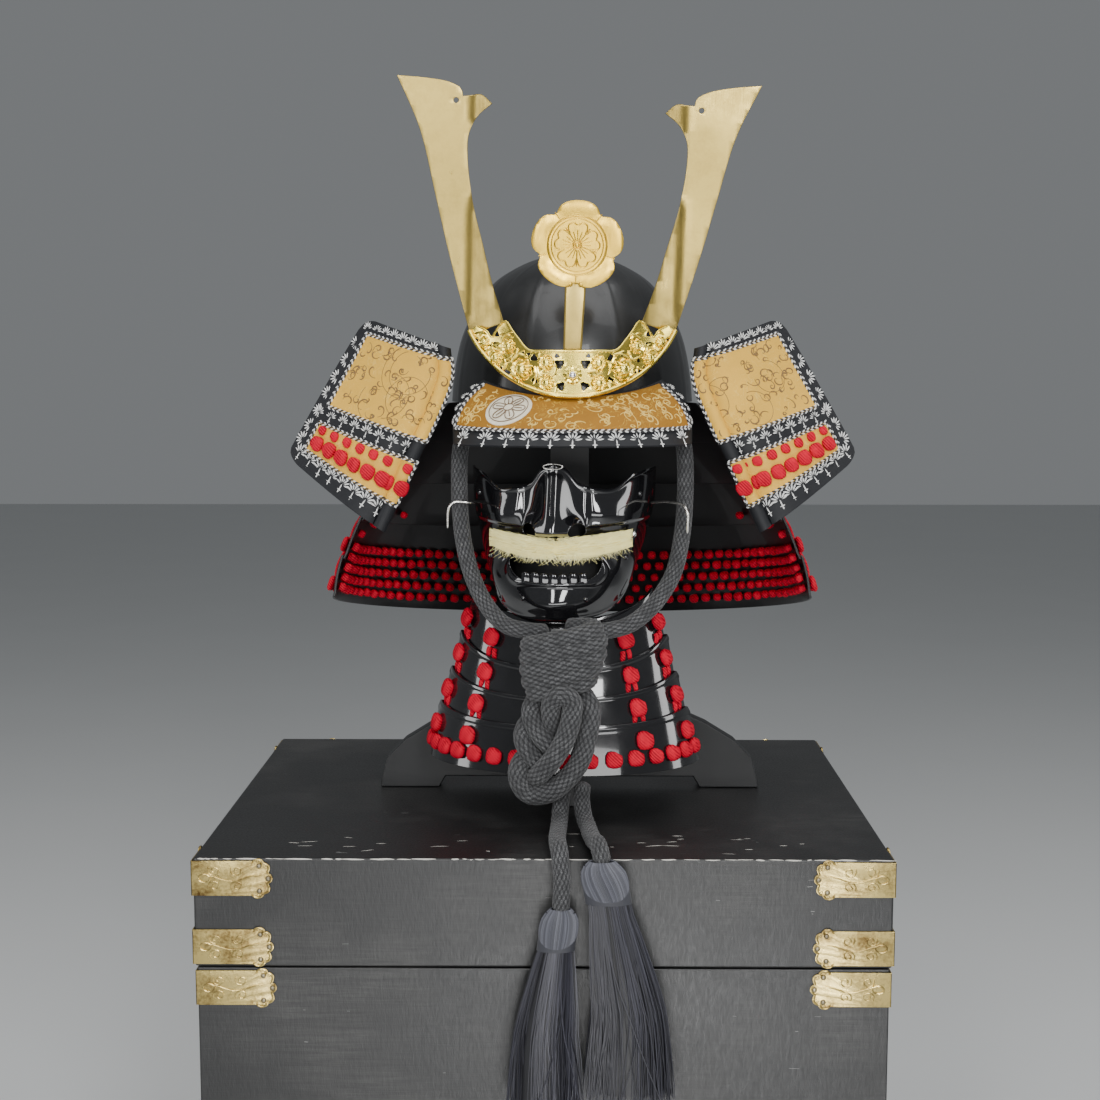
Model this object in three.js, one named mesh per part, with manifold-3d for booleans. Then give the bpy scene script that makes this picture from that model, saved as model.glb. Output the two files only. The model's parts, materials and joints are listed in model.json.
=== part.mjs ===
/**
 * A samurai helmet with its half mask and throat guard, on a plain stand on an armour chest.
 * Millimetres, +Z up, the wearer's face towards -Y. The origin is the middle of the chest's underside.
 */
import * as THREE from 'three';
import { mergeVertices } from 'three/addons/utils/BufferGeometryUtils.js';
import Module from 'manifold-3d';

const wasm = await Module();
wasm.setup();

const { degToRad, lerp, clamp } = THREE.MathUtils;
const vec = (x, y, z) => new THREE.Vector3(x, y, z);

// ---------------------------------------------------------------- driving dimensions

const GAP = 0.3;

const CHEST = { width: 550, depth: 420, height: 500, lid: 88, wall: 10, top: 12, inset: 1.5 };
const FITTING = { reach: 64, side: 46, tall: 29, thick: 1, lobe: 5.2, wrap: 18 };

const HELMET_AT = { x: 23, y: 21 };
const FACE_TURN = degToRad(-7);

const BOWL_WALL = 2.5;
const BOWL_DEPTH = 1.12;
const BOWL = [
  { z: 352, r: 107 },
  { z: 370, r: 105.4 },
  { z: 392, r: 102 },
  { z: 412, r: 96.4 },
  { z: 436, r: 84.5 },
  { z: 456, r: 69.3 },
  { z: 468, r: 52 },
  { z: 477, r: 31 },
  { z: 482, r: 0 },
];

const PEAK = { spread: 62, inner: 356, outer: 319, half: 98, corner: -112, reach: 56, wall: 2.4 };
const PEAK_PANEL = { wall: 1.2, side: 0.92, from: 0.1, to: 0.8 };

const HORN_BASE = { half: 88, tip: 412, low: 357, notch: 36, floor: 397, horn: 421, plate: 2.4, front: -131 };
const HORN_BASE_BEND = 0.0055;
const HORN_WALL = 1.4;
const HORN = [
  { x: 86, z: 409 },
  { x: 106.5, z: 480 },
  { x: 117, z: 521 },
  { x: 131, z: 574 },
  { x: 150.5, z: 616 },
  { x: 124.5, z: 613.8 },
  { x: 107, z: 610.5 },
  { x: 97.5, z: 605.5 },
  { x: 96, z: 599.5 },
  { x: 81, z: 600 },
  { x: 71, z: 591.5 },
  { x: 83.5, z: 583 },
  { x: 90.5, z: 570 },
  { x: 91, z: 549.5 },
  { x: 86, z: 516 },
  { x: 76, z: 480 },
  { x: 68.5, z: 453 },
  { x: 57, z: 419 },
];
const HORNS = [
  { name: 'horn_left', side: -1, lift: 5, lean: 1.6 },
  { name: 'horn_right', side: 1, lift: -4, lean: 1.4 },
];
const CREST = { z: 481, radius: 38, dip: 5.5, ring: 24, plate: 1.6, roll: 2.5, y: -123.5 };

const NECK = { top: 350, half: 112, back: 122, halfRim: 214, backRim: 181, rim: 172, slope: 0.21 };
const NECK_PLATES = 5;
const NECK_EDGE = degToRad(101);
const NECK_LIFT = 3.4;
const NECK_WALL = 2;
const NECK_COLUMNS = 26;

const WING_WALL = 2.2;
const WING = [
  { v: 0, flangeX: 113, flangeZ: 352, innerX: 101, innerZ: 398, outerX: 176, outerZ: 424 },
  { v: 0.2, flangeX: 138, flangeZ: 330, innerX: 99.5, innerZ: 373, outerX: 193, outerZ: 397 },
  { v: 0.4, flangeX: 155, flangeZ: 309, innerX: 110, innerZ: 344, outerX: 208, outerZ: 372 },
  { v: 0.7, flangeX: 173, flangeZ: 280, innerX: 132, innerZ: 298, outerX: 229, outerZ: 336 },
  { v: 1, flangeX: 184, flangeZ: 252, innerX: 157, innerZ: 244, outerX: 246, outerZ: 306 },
];
const WING_Y = { flange: -46, inner: -106, outer: -64, curl: 5.5, bulge: 7 };

const MASK_WALL = 2.4;
const MASK_BACK = -50;
const MASK = [
  { v: 0, half: 50, deep: 74 },
  { v: 0.15, half: 58, deep: 77 },
  { v: 0.35, half: 69, deep: 75 },
  { v: 0.6, half: 76.5, deep: 76 },
  { v: 0.8, half: 78, deep: 74 },
  { v: 1, half: 78, deep: 72 },
];
const MASK_TOP = [
  { x: 0, z: 305 },
  { x: 10, z: 299 },
  { x: 20, z: 287 },
  { x: 38, z: 283 },
  { x: 49, z: 285 },
  { x: 62, z: 298 },
  { x: 78, z: 307 },
];
const MASK_LOW = { chin: 172, side: 216 };
const MOUTH = { half: 39, low: 205, high: 223 };

const THROAT = [
  { z: 182, half: 78, deep: 47 },
  { z: 149, half: 88, deep: 57 },
  { z: 116, half: 97, deep: 65 },
  { z: 82, half: 107, deep: 72 },
  { z: 42, half: 119, deep: 80 },
];
const THROAT_BACK = -52;
const THROAT_EDGE = degToRad(83);
const THROAT_LIFT = 3.4;
const THROAT_WALL = 2;

const CORD = { diameter: 14, sides: 8 };
const CHIN_CORD = [
  { x: 37, y: -147, z: 168 },
  { x: 52, y: -142, z: 172 },
  { x: 69, y: -131, z: 186 },
  { x: 84, y: -118, z: 210 },
  { x: 92, y: -107, z: 241 },
  { x: 95, y: -100, z: 275 },
  { x: 95, y: -94, z: 306 },
  { x: 93, y: -80, z: 327 },
  { x: 90.5, y: -59, z: 341 },
  { x: 87, y: -34, z: 354 },
  { x: 87, y: -8, z: 361 },
  { x: 84, y: 32, z: 362 },
  { x: 64, y: 70, z: 362 },
  { x: 34, y: 92, z: 362 },
];
const CHIN_CORD_BACK = { y: 99, z: 362 };
const KNOT = { x: -6, y: -153, low: 113, high: 181, width: 35, deep: 22, turns: 5, tilt: degToRad(6) };

const STAND = { board: 18, half: 172.5, recess: 119, recessHigh: 10, crossFront: 78, crossBack: 150 };
const STAND_SHOULDER = [
  { x: 172.5, z: 0 },
  { x: 172, z: 6 },
  { x: 166.5, z: 27 },
  { x: 150, z: 44 },
  { x: 124, z: 60 },
  { x: 70, z: 84 },
  { x: 26, z: 92 },
];
const POST = { wide: 34, deep: 30, head: 458, headRadius: 46, rest: 262, restThick: 8, restRadius: 66 };

const LACQUER = { color: 0x111214, roughness: 0.25, metalness: 0 };
const SATIN_BLACK = { color: 0x17181a, roughness: 0.6, metalness: 0 };
const GOLD = { color: 0xc9a24a, roughness: 0.3, metalness: 1 };
const PALE_GOLD = { color: 0xa8935f, roughness: 0.35, metalness: 1 };
const BROCADE = { color: 0xb08a4c, roughness: 0.8, metalness: 0 };
const RED_SILK = { color: 0xc4142c, roughness: 0.7, metalness: 0 };
const CHARCOAL_CORD = { color: 0x34353a, roughness: 0.9, metalness: 0 };
const CREAM_HAIR = { color: 0xe0d9ac, roughness: 0.9, metalness: 0 };
const OLD_BRASS = { color: 0xa89a68, roughness: 0.4, metalness: 1 };
const CHEST_LACQUER = { color: 0x25221f, roughness: 0.4, metalness: 0 };

// ---------------------------------------------------------------- geometry helpers

/** Smooth value of a table's column at a key, by Hermite pieces between its rows. */
function readTable(rows, key, column, at) {
  const last = rows.length - 1;
  const place = clamp(at, rows[0][key], rows[last][key]);
  const i = Math.max(rows.findIndex((row) => row[key] >= place), 1);
  const slope = (k) => {
    const low = rows[Math.max(k - 1, 0)];
    const high = rows[Math.min(k + 1, last)];
    return (high[column] - low[column]) / (high[key] - low[key]);
  };
  const span = rows[i][key] - rows[i - 1][key];
  const t = (place - rows[i - 1][key]) / span;
  const smooth = t * t * (3 - 2 * t);
  const bendIn = slope(i - 1) * span * t * (1 - t) * (1 - t);
  const bendOut = slope(i) * span * t * t * (t - 1);
  return lerp(rows[i - 1][column], rows[i][column], smooth) + bendIn + bendOut;
}

/** An indexed geometry from points and triangles, with shared vertices merged and its faces turned out. */
function solid(points, triangles) {
  const raw = new THREE.BufferGeometry();
  raw.setAttribute('position', new THREE.Float32BufferAttribute(points.flatMap((p) => p.toArray()), 3));
  raw.setIndex(triangles.flat());
  return faceOut(raw);
}

/** The same closed mesh with merged vertices, without flat triangles, and with its faces pointing out. */
function faceOut(geometry) {
  const bare = geometry.clone();
  bare.deleteAttribute('normal');
  bare.deleteAttribute('uv');
  const merged = mergeVertices(bare, 1e-4);
  const index = merged.index.array;
  const at = (i) => new THREE.Vector3().fromBufferAttribute(merged.attributes.position, i);
  const kept = [];
  let volume = 0;
  for (let i = 0; i < index.length; i += 3) {
    const [a, b, c] = [index[i], index[i + 1], index[i + 2]];
    if (a === b || b === c || c === a) continue;
    kept.push([a, b, c]);
    volume += at(a).dot(at(b).cross(at(c)));
  }
  merged.setIndex((volume < 0 ? kept.map(([a, b, c]) => [a, c, b]) : kept).flat());
  merged.computeVertexNormals();
  return merged;
}

/** A closed wall between two surfaces, each a function of u and v from 0 to 1. */
function wallBetween(outer, inner, columns, rows) {
  const points = [];
  const triangles = [];
  const wide = columns + 1;
  const layer = wide * (rows + 1);
  for (const surface of [outer, inner]) {
    for (let row = 0; row <= rows; row += 1) {
      for (let column = 0; column <= columns; column += 1) points.push(surface(column / columns, row / rows));
    }
  }
  const quad = (a, b, c, d) => triangles.push([a, b, c], [a, c, d]);
  for (let row = 0; row < rows; row += 1) {
    for (let column = 0; column < columns; column += 1) {
      const k = row * wide + column;
      quad(k, k + 1, k + wide + 1, k + wide);
      quad(layer + k, layer + k + wide, layer + k + wide + 1, layer + k + 1);
    }
  }
  for (let column = 0; column < columns; column += 1) {
    const top = rows * wide + column;
    quad(column + 1, column, layer + column, layer + column + 1);
    quad(top, top + 1, layer + top + 1, layer + top);
  }
  for (let row = 0; row < rows; row += 1) {
    const left = row * wide;
    const right = left + columns;
    quad(left, left + wide, layer + left + wide, layer + left);
    quad(right + wide, right, layer + right, layer + right + wide);
  }
  return solid(points, triangles);
}

/** The unit normal of a surface function, from its own small steps. */
function normalOf(surface, u, v) {
  const step = 1e-3;
  const across = surface(u + step, v).sub(surface(u - step, v));
  const along = surface(u, v + step).sub(surface(u, v - step));
  return across.cross(along).normalize();
}

/** A surface moved along its normal. */
const offset = (surface, by) => (u, v) => surface(u, v).addScaledVector(normalOf(surface, u, v), by);

/** A sheet of even thickness about a middle surface. */
function sheet(surface, wall, columns, rows, lift = 0) {
  return wallBetween(offset(surface, lift + wall / 2), offset(surface, lift - wall / 2), columns, rows);
}

/** A closed solid through rings of equally many points, with flat ends. */
function throughRings(rings) {
  const count = rings[0].length;
  const triangles = [];
  for (let ring = 0; ring < rings.length - 1; ring += 1) {
    for (let k = 0; k < count; k += 1) {
      const a = ring * count + k;
      const b = ring * count + ((k + 1) % count);
      triangles.push([a, b, b + count], [a, b + count, a + count]);
    }
  }
  const end = (rings.length - 1) * count;
  for (let k = 1; k < count - 1; k += 1) {
    triangles.push([0, k + 1, k]);
    triangles.push([end, end + k, end + k + 1]);
  }
  return solid(rings.flat(), triangles);
}

/** A ring of points round a centre, in the plane of two directions. */
function ringAt(centre, first, second, count, radius) {
  return Array.from({ length: count }, (_, k) => {
    const angle = (k / count) * 2 * Math.PI;
    const r = radius(angle);
    return centre.clone().addScaledVector(first, r * Math.cos(angle)).addScaledVector(second, r * Math.sin(angle));
  });
}

/** A round tube along a smooth curve through points. */
function tube(points, diameter, sides, steps, closed = false) {
  const corners = Array.from({ length: sides }, (_, k) => {
    const angle = (k / sides) * 2 * Math.PI;
    return new THREE.Vector2(Math.cos(angle), Math.sin(angle)).multiplyScalar(diameter / 2);
  });
  const extrudePath = new THREE.CatmullRomCurve3(points, closed);
  return faceOut(new THREE.ExtrudeGeometry(new THREE.Shape(corners), { steps, extrudePath, bevelEnabled: false }));
}

/** A flat plate from an outline in x and z, standing across y from its front face backwards. */
function plate(outline, front, thick, holes = []) {
  const shape = new THREE.Shape(outline.map((p) => new THREE.Vector2(p.x, p.z)));
  shape.holes = holes.map((hole) => new THREE.Path(hole.map((p) => new THREE.Vector2(p.x, p.z))));
  const geometry = new THREE.ExtrudeGeometry(shape, { depth: thick, bevelEnabled: false, curveSegments: 6 });
  geometry.rotateX(Math.PI / 2);
  geometry.translate(0, front + thick, 0);
  return faceOut(geometry);
}

/** A box from its lowest corner to its highest corner. */
function block(low, high) {
  const size = high.clone().sub(low);
  const middle = high.clone().add(low).multiplyScalar(0.5);
  return new THREE.BoxGeometry(size.x, size.y, size.z).translate(middle.x, middle.y, middle.z);
}

/** A regular flat-topped round of few sides, in x and z. */
function roundOutline(x, z, radius, sides, turn = 0) {
  return Array.from({ length: sides }, (_, k) => {
    const angle = turn + (k / sides) * 2 * Math.PI;
    return { x: x + radius * Math.cos(angle), z: z + radius * Math.sin(angle) };
  });
}

const toManifold = (geometry) => {
  const closed = faceOut(geometry);
  return new wasm.Manifold(new wasm.Mesh({
    numProp: 3,
    vertProperties: new Float32Array(closed.attributes.position.array),
    triVerts: new Uint32Array(closed.index.array),
  }));
};

/** The mesh of a joined or cut solid as a geometry. */
function fromManifold(body) {
  const mesh = body.getMesh();
  const geometry = new THREE.BufferGeometry();
  geometry.setAttribute('position', new THREE.BufferAttribute(new Float32Array(mesh.vertProperties), 3));
  geometry.setIndex(new THREE.BufferAttribute(new Uint32Array(mesh.triVerts), 1));
  geometry.computeVertexNormals();
  return geometry;
}

/** Several geometries joined into one solid, less others. */
function joined(added, removed = []) {
  let body = toManifold(added[0]);
  for (const geometry of added.slice(1)) body = body.add(toManifold(geometry));
  for (const geometry of removed) body = body.subtract(toManifold(geometry));
  return fromManifold(body);
}

/** A geometry with every vertex moved by a function. */
function moved(geometry, shift) {
  const place = geometry.attributes.position;
  for (let i = 0; i < place.count; i += 1) {
    const point = shift(new THREE.Vector3().fromBufferAttribute(place, i));
    place.setXYZ(i, point.x, point.y, point.z);
  }
  geometry.computeVertexNormals();
  return geometry;
}

/** A lacing strip: a thin thread that swells into a knot at each marked station. */
function lacing(stations) {
  const rings = stations.map(({ at, out, wide, high }, i) => {
    const before = stations[Math.max(i - 1, 0)].at;
    const after = stations[Math.min(i + 1, stations.length - 1)].at;
    const along = after.clone().sub(before).normalize();
    const across = out.clone().cross(along).normalize();
    return [
      at.clone().addScaledVector(across, wide / 2),
      at.clone().addScaledVector(across, -wide / 2),
      at.clone().addScaledVector(out, high),
    ];
  });
  return throughRings(rings);
}

const THREAD = { wide: 1.6, high: 0.9 };

/** Rows of knots on a surface, joined end to end by their thread, there and back. */
function lacingRows(place, rows) {
  const stations = [];
  rows.forEach(({ knots, wide, high, ...row }, i) => {
    const count = 2 * knots + 1;
    const line = Array.from({ length: count }, (_, k) => {
      const u = i % 2 === 0 ? k / (count - 1) : 1 - k / (count - 1);
      const size = k % 2 === 1 ? { wide, high } : THREAD;
      return { ...place(u, row), ...size };
    });
    stations.push(...line);
  });
  return lacing(stations);
}

const root = new THREE.Group();
const helmet = new THREE.Group();
helmet.position.set(HELMET_AT.x, HELMET_AT.y, CHEST.height);
const face = new THREE.Group();
face.rotation.z = FACE_TURN;
helmet.add(face);
root.add(helmet);

/** Hangs a named mesh of one finish in a group. */
function add(group, name, geometry, finish) {
  const mesh = new THREE.Mesh(geometry, new THREE.MeshStandardMaterial(finish));
  mesh.name = name;
  group.add(mesh);
  return mesh;
}

// ---------------------------------------------------------------- bowl and peak

function makeBowl() {
  const outside = BOWL.map(({ z, r }) => new THREE.Vector2(r, z));
  const inside = BOWL.slice(0, -1).map(({ z, r }, i) => {
    const tuck = BOWL_WALL * (i / BOWL.length);
    return new THREE.Vector2(Math.max(r - BOWL_WALL - tuck, 0), z - tuck);
  });
  inside[0].y = BOWL[0].z;
  const crown = new THREE.Vector2(0, BOWL[BOWL.length - 1].z - BOWL_WALL);
  const profile = [...outside].reverse().concat(inside, [crown]);
  const geometry = new THREE.LatheGeometry(profile, 28);
  geometry.rotateX(Math.PI / 2);
  geometry.scale(1, BOWL_DEPTH, 1);
  add(helmet, 'bowl', faceOut(geometry), LACQUER);
}

/** The peak's middle surface: u runs from the wearer's right to left, v from the brim to the edge. */
function peakSurface(u, v) {
  const side = 2 * u - 1;
  const turn = degToRad(PEAK.spread) * side;
  const inner = vec((BOWL[0].r + 2.2) * Math.sin(turn), -(BOWL[0].r + 2.2) * BOWL_DEPTH * Math.cos(turn), PEAK.inner);
  const round = Math.cos((side * Math.PI) / 2);
  const outerY = PEAK.corner - PEAK.reach * Math.pow(Math.max(round, 0), 0.8);
  const outer = vec(PEAK.half * Math.sin((side * Math.PI) / 2), outerY, PEAK.outer);
  const crown = 5 * Math.sin(Math.PI * clamp(v, 0, 1));
  return inner.lerp(outer, v).add(vec(0, -0.4 * crown, crown));
}

function makePeak() {
  const safe = (u, v) => peakSurface(clamp(u, 0.002, 0.998), v);
  add(helmet, 'peak', sheet(safe, PEAK.wall, 24, 3), LACQUER);
  const covered = (u, v) => safe(0.5 + (u - 0.5) * PEAK_PANEL.side, lerp(PEAK_PANEL.from, PEAK_PANEL.to, v));
  const lift = PEAK.wall / 2 + PEAK_PANEL.wall / 2 + 3 * GAP;
  add(helmet, 'peak_panel', sheet(covered, PEAK_PANEL.wall, 22, 2, lift), BROCADE);
}

// ---------------------------------------------------------------- horns and crest

const ROSES = [
  { x: 0, z: 376, r: 4 },
  { x: 21.5, z: 386, r: 6.5 },
  { x: 21.5, z: 369.5, r: 6 },
  { x: 42, z: 381, r: 8.5 },
  { x: 64, z: 390, r: 6.5 },
  { x: 52, z: 399.5, r: 6 },
  { x: 74, z: 404, r: 5 },
];
const PIERCINGS = [
  { x: 10.5, z: 384, r: 3.4 },
  { x: 9.5, z: 367, r: 3 },
  { x: 31, z: 377, r: 2.8 },
  { x: 31.5, z: 390, r: 2.8 },
  { x: 53.5, z: 388.5, r: 2.6 },
  { x: 54, z: 378, r: 2.8 },
  { x: 63, z: 401, r: 2.6 },
  { x: 74, z: 394.5, r: 2.6 },
  { x: 41.5, z: 393.5, r: 2.4 },
  { x: 63, z: 409.5, r: 2.4 },
];

/** A small outline at its place and at its mirror image. */
const mirrored = ({ x, z, r }, sides) => (x === 0 ? [1] : [-1, 1]).map((side) => roundOutline(side * x, z, r, sides));

/** The lower edge of the horn base as an arc from tip to tip, kept a distance inside it. */
function baseArc(inside, count) {
  const { half, tip, low } = HORN_BASE;
  const sag = tip - low;
  const radius = (half * half + sag * sag) / (2 * sag);
  const spread = Math.asin(half / radius);
  return Array.from({ length: count }, (_, k) => {
    const angle = lerp(-spread, spread, k / (count - 1));
    const r = radius - inside;
    return { x: r * Math.sin(angle), z: low + radius - r * Math.cos(angle) };
  });
}

function makeHornBase() {
  const { notch, floor, horn, plate: thick, front } = HORN_BASE;
  const arc = baseArc(0, 19);
  const top = [
    { x: 56, z: horn },
    { x: 47, z: horn - 12 },
    { x: notch, z: floor },
    { x: notch / 3, z: floor },
    { x: -notch / 3, z: floor },
    { x: -notch, z: floor },
    { x: -47, z: horn - 12 },
    { x: -56, z: horn },
  ];
  const rim = arc.concat(baseArc(3, 19).reverse());
  const roses = ROSES.flatMap((rose) => mirrored(rose, 8)).map((outline) => plate(outline, front - 2, thick + 1));
  const pierced = PIERCINGS.flatMap((hole) => mirrored(hole, 5));
  const body = joined(
    [plate(arc.concat(top), front, thick), plate(rim, front - 1.5, thick + 1), ...roses],
    pierced.map((outline) => plate(outline, front - 6, thick + 12)),
  );
  const bent = moved(body, (p) => p.setY(p.y + HORN_BASE_BEND * p.x * p.x));
  add(helmet, 'horn_base', bent, GOLD);
}

function makeHorns() {
  for (const { name, side, lift, lean } of HORNS) {
    const outline = HORN.map(({ x, z }) => ({ x: side * x, z: z + lift * clamp((z - 420) / 190, 0, 1) }));
    const flat = plate(outline, 0, HORN_WALL);
    const behind = HORN_BASE.front + HORN_BASE.plate + GAP;
    const geometry = moved(flat, (p) => {
      const rise = Math.max(p.z - 409, 0);
      const roll = Math.tan(degToRad(lean)) * rise;
      const back = behind + HORN_BASE_BEND * Math.min(p.x * p.x, 88 * 88) + 1.2;
      return vec(p.x + roll, p.y + back - 0.06 * rise, p.z);
    });
    add(helmet, name, geometry, PALE_GOLD);
  }
}

/** The flower's outline: five broad lobes with narrow dips between them. */
function flowerOutline(radius, dip, count) {
  return Array.from({ length: count }, (_, k) => {
    const angle = (k / count) * 2 * Math.PI + Math.PI / 2;
    const lobe = Math.pow(Math.abs(Math.sin(2.5 * (angle - Math.PI / 2))), 6);
    const r = radius - dip * lobe;
    return { x: r * Math.cos(angle), z: 0.95 * r * Math.sin(angle) };
  });
}

function makeCrest() {
  const { z, radius, dip, ring, plate: thick, roll, y } = CREST;
  const round = (r, sides, turn) => roundOutline(0, 0, r, sides, turn);
  const petals = [0, 1, 2, 3, 4].map((k) => {
    const angle = Math.PI / 2 + (k * 2 * Math.PI) / 5;
    return plate(roundOutline(11 * Math.cos(angle), 11 * Math.sin(angle), 7.5, 8, angle), -thick - 1, 2);
  });
  const flower = joined([
    plate(flowerOutline(radius, dip, 50), -thick, thick),
    plate(round(ring, 24), -thick - 1.2, 2, [round(ring - 2.4, 24)]),
    plate(round(4, 8), -thick - 2, 3),
    ...petals,
  ]);
  const crest = new THREE.Group();
  crest.position.set(0, y, HORN_BASE.floor);
  crest.rotation.y = degToRad(roll);
  helmet.add(crest);
  flower.translate(0, -GAP, z - HORN_BASE.floor);
  add(crest, 'crest', flower, GOLD);
  const tall = z - HORN_BASE.floor - 16;
  const stem = [
    { x: -7.5, z: -8 },
    { x: 7.5, z: -8 },
    { x: 9, z: tall },
    { x: -9, z: tall },
  ];
  add(crest, 'crest_stem', plate(stem, GAP, 1.6), PALE_GOLD);
}

// ---------------------------------------------------------------- neck guard

/** A point of the neck guard: turn from the back's middle, t from brim to rim, lift along the outward normal. */
function neckPoint(turn, t, lift) {
  const flare = 1 - Math.pow(1 - clamp(t, 0, 1), 1.5);
  const half = lerp(NECK.half, NECK.halfRim, flare);
  const back = lerp(NECK.back, NECK.backRim, flare);
  const place = vec(half * Math.sin(turn), back * Math.cos(turn), 0);
  const rim = NECK.rim - NECK.slope * place.y;
  place.z = lerp(NECK.top, rim, t);
  const steep = 0.45 * Math.sqrt(1 - clamp(t, 0, 1)) + 0.25;
  const out = vec(Math.sin(turn) / half, Math.cos(turn) / back, 0).normalize();
  return { at: place.addScaledVector(out, lift), out: out.setZ(steep).normalize() };
}

function makeNeckGuard() {
  const tall = 1 / NECK_PLATES;
  for (let i = 0; i < NECK_PLATES; i += 1) {
    const top = i * tall - (i > 0 ? 0.022 : 0);
    const surface = (side) => (u, v) => {
      const turn = lerp(-NECK_EDGE, NECK_EDGE, u);
      const lift = NECK_LIFT * (i > 0 ? 1 - v : 0) + side;
      return neckPoint(turn, lerp(top, (i + 1) * tall, v), lift).at;
    };
    const wall = wallBetween(surface(NECK_WALL / 2), surface(-NECK_WALL / 2), NECK_COLUMNS, 1);
    add(helmet, `neck_plate_${i + 1}`, wall, LACQUER);
  }
  const inside = (u, { t, lift }) => {
    const spot = neckPoint(lerp(-NECK_EDGE, NECK_EDGE, 0.02 + 0.96 * u), t, lift);
    return { at: spot.at, out: spot.out.negate() };
  };
  const outside = (u, { t, lift }) => neckPoint(lerp(-NECK_EDGE, NECK_EDGE, 0.03 + 0.94 * u), t, lift);
  const innerRows = [0.735, 0.775, 0.845, 0.892, 0.94];
  const insideRows = innerRows.map((t) => ({ t, lift: -3, knots: 22, wide: 8.5, high: 4 }));
  add(helmet, 'neck_lacing_inside', lacingRows(inside, insideRows), RED_SILK);
  const outerRows = [0.32, 0.52, 0.72, 0.92];
  const outsideRows = outerRows.map((t) => ({ t, lift: 5.2, knots: 18, wide: 12, high: 3.5 }));
  add(helmet, 'neck_lacing_outside', lacingRows(outside, outsideRows), RED_SILK);
}

// ---------------------------------------------------------------- wings

/** A wing's middle surface: u from the neck guard round the fold to the free edge, v from top to bottom. */
function wingSurface(side) {
  const fold = 0.3;
  const curled = 0.45;
  return (u, v) => {
    const row = (column) => readTable(WING, 'v', column, v);
    const inner = vec(row('innerX'), WING_Y.inner, row('innerZ'));
    const flange = vec(row('flangeX'), WING_Y.flange, row('flangeZ'));
    const outer = vec(row('outerX'), WING_Y.outer, row('outerZ'));
    const root = inner.clone().add(vec(1.5, WING_Y.curl, 0));
    const point = vec(0, 0, 0);
    if (u <= fold) {
      point.lerpVectors(flange, root, u / fold);
    } else if (u <= curled) {
      const angle = Math.PI * ((u - fold) / (curled - fold));
      const away = outer.clone().sub(inner).setY(0).normalize();
      point.copy(root).addScaledVector(away, WING_Y.curl * (1 - Math.cos(angle)));
      point.y -= WING_Y.curl * Math.sin(angle);
    } else {
      const s = (u - curled) / (1 - curled);
      const away = outer.clone().sub(inner).setY(0).normalize();
      const start = root.clone().addScaledVector(away, 2 * WING_Y.curl);
      point.lerpVectors(start, outer, s);
      point.y -= WING_Y.bulge * Math.sin(Math.PI * clamp(s, 0, 1));
    }
    return vec(side * point.x, point.y, point.z);
  };
}

function makeWings() {
  for (const { word, side } of [{ word: 'left', side: -1 }, { word: 'right', side: 1 }]) {
    const surface = wingSurface(side);
    const safe = (u, v) => surface(u, clamp(v, 0, 1));
    add(helmet, `wing_${word}`, sheet(safe, WING_WALL, 14, 5), LACQUER);
    const covered = (u, v) => safe(lerp(0.53, 0.94, u), lerp(0.09, 0.91, v));
    const lift = side * (WING_WALL / 2 + 0.5 + 2 * GAP);
    add(helmet, `wing_panel_${word}`, sheet(covered, 1, 8, 5, lift), BROCADE);
    const rows = [
      { v: 0.76, knots: 9, wide: 8, high: 4 },
      { v: 0.87, knots: 9, wide: 11, high: 4.5 },
    ];
    const place = (u, { v }) => {
      const normal = normalOf(safe, lerp(0.56, 0.92, u), lerp(0.09, 0.91, v)).multiplyScalar(side);
      const at = safe(lerp(0.56, 0.92, u), lerp(0.09, 0.91, v)).addScaledVector(normal, WING_WALL / 2 + 2.4);
      return { at, out: normal };
    };
    add(helmet, `wing_lacing_${word}`, lacingRows(place, rows), RED_SILK);
  }
}

// ---------------------------------------------------------------- mask

const bump = (distance, width) => Math.exp(-(distance * distance) / (2 * width * width));

/** How far the mask's relief stands out at a place across x and up z. */
function maskRelief(x, z) {
  const ridge = clamp((305 - z) / 61, 0, 1);
  const under = clamp((z - 236) / 8, 0, 1);
  const nose = (7 + 19 * ridge) * under * bump(x, lerp(6, 10, ridge));
  const wings = 9 * bump(Math.abs(x) - 13, 5) * bump(z - 246, 6);
  const cheek = 6 * bump(Math.abs(x) - 44, 11) * bump(z - 262, 10);
  const fold = -4 * bump(Math.abs(x) - 36, 5) * bump(z - 236, 9);
  const lips = 4 * bump(z - 213, 13) * bump(x, 34);
  const chin = 7 * bump(z - 184, 9) * bump(x, 17);
  return nose + wings + cheek + fold + lips + chin;
}

/** The mask's outer surface: u across the face, v from the jaw to the upper edge. */
function maskSurface(u, v) {
  const side = 2 * u - 1;
  const turn = degToRad(84) * side;
  const half = readTable(MASK, 'v', 'half', v);
  const deep = readTable(MASK, 'v', 'deep', v);
  const x = half * Math.sin(turn);
  const low = lerp(MASK_LOW.chin, MASK_LOW.side, side * side);
  const z = lerp(low, readTable(MASK_TOP, 'x', 'z', Math.abs(x)), v);
  const out = maskRelief(x, z);
  return vec(x + out * 0.3 * Math.sin(turn), MASK_BACK - deep * Math.cos(turn) - out * Math.cos(turn), z);
}

/** How far forward the mask's outer surface lies at a place across x and up z. */
function maskFront(x, z) {
  const u = 0.5 + Math.asin(clamp(x / 77, -1, 1)) / degToRad(84) / 2;
  const side = 2 * u - 1;
  const low = lerp(MASK_LOW.chin, MASK_LOW.side, side * side);
  const v = clamp((z - low) / (readTable(MASK_TOP, 'x', 'z', Math.abs(x)) - low), 0, 1);
  return maskSurface(u, v).y;
}

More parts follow.
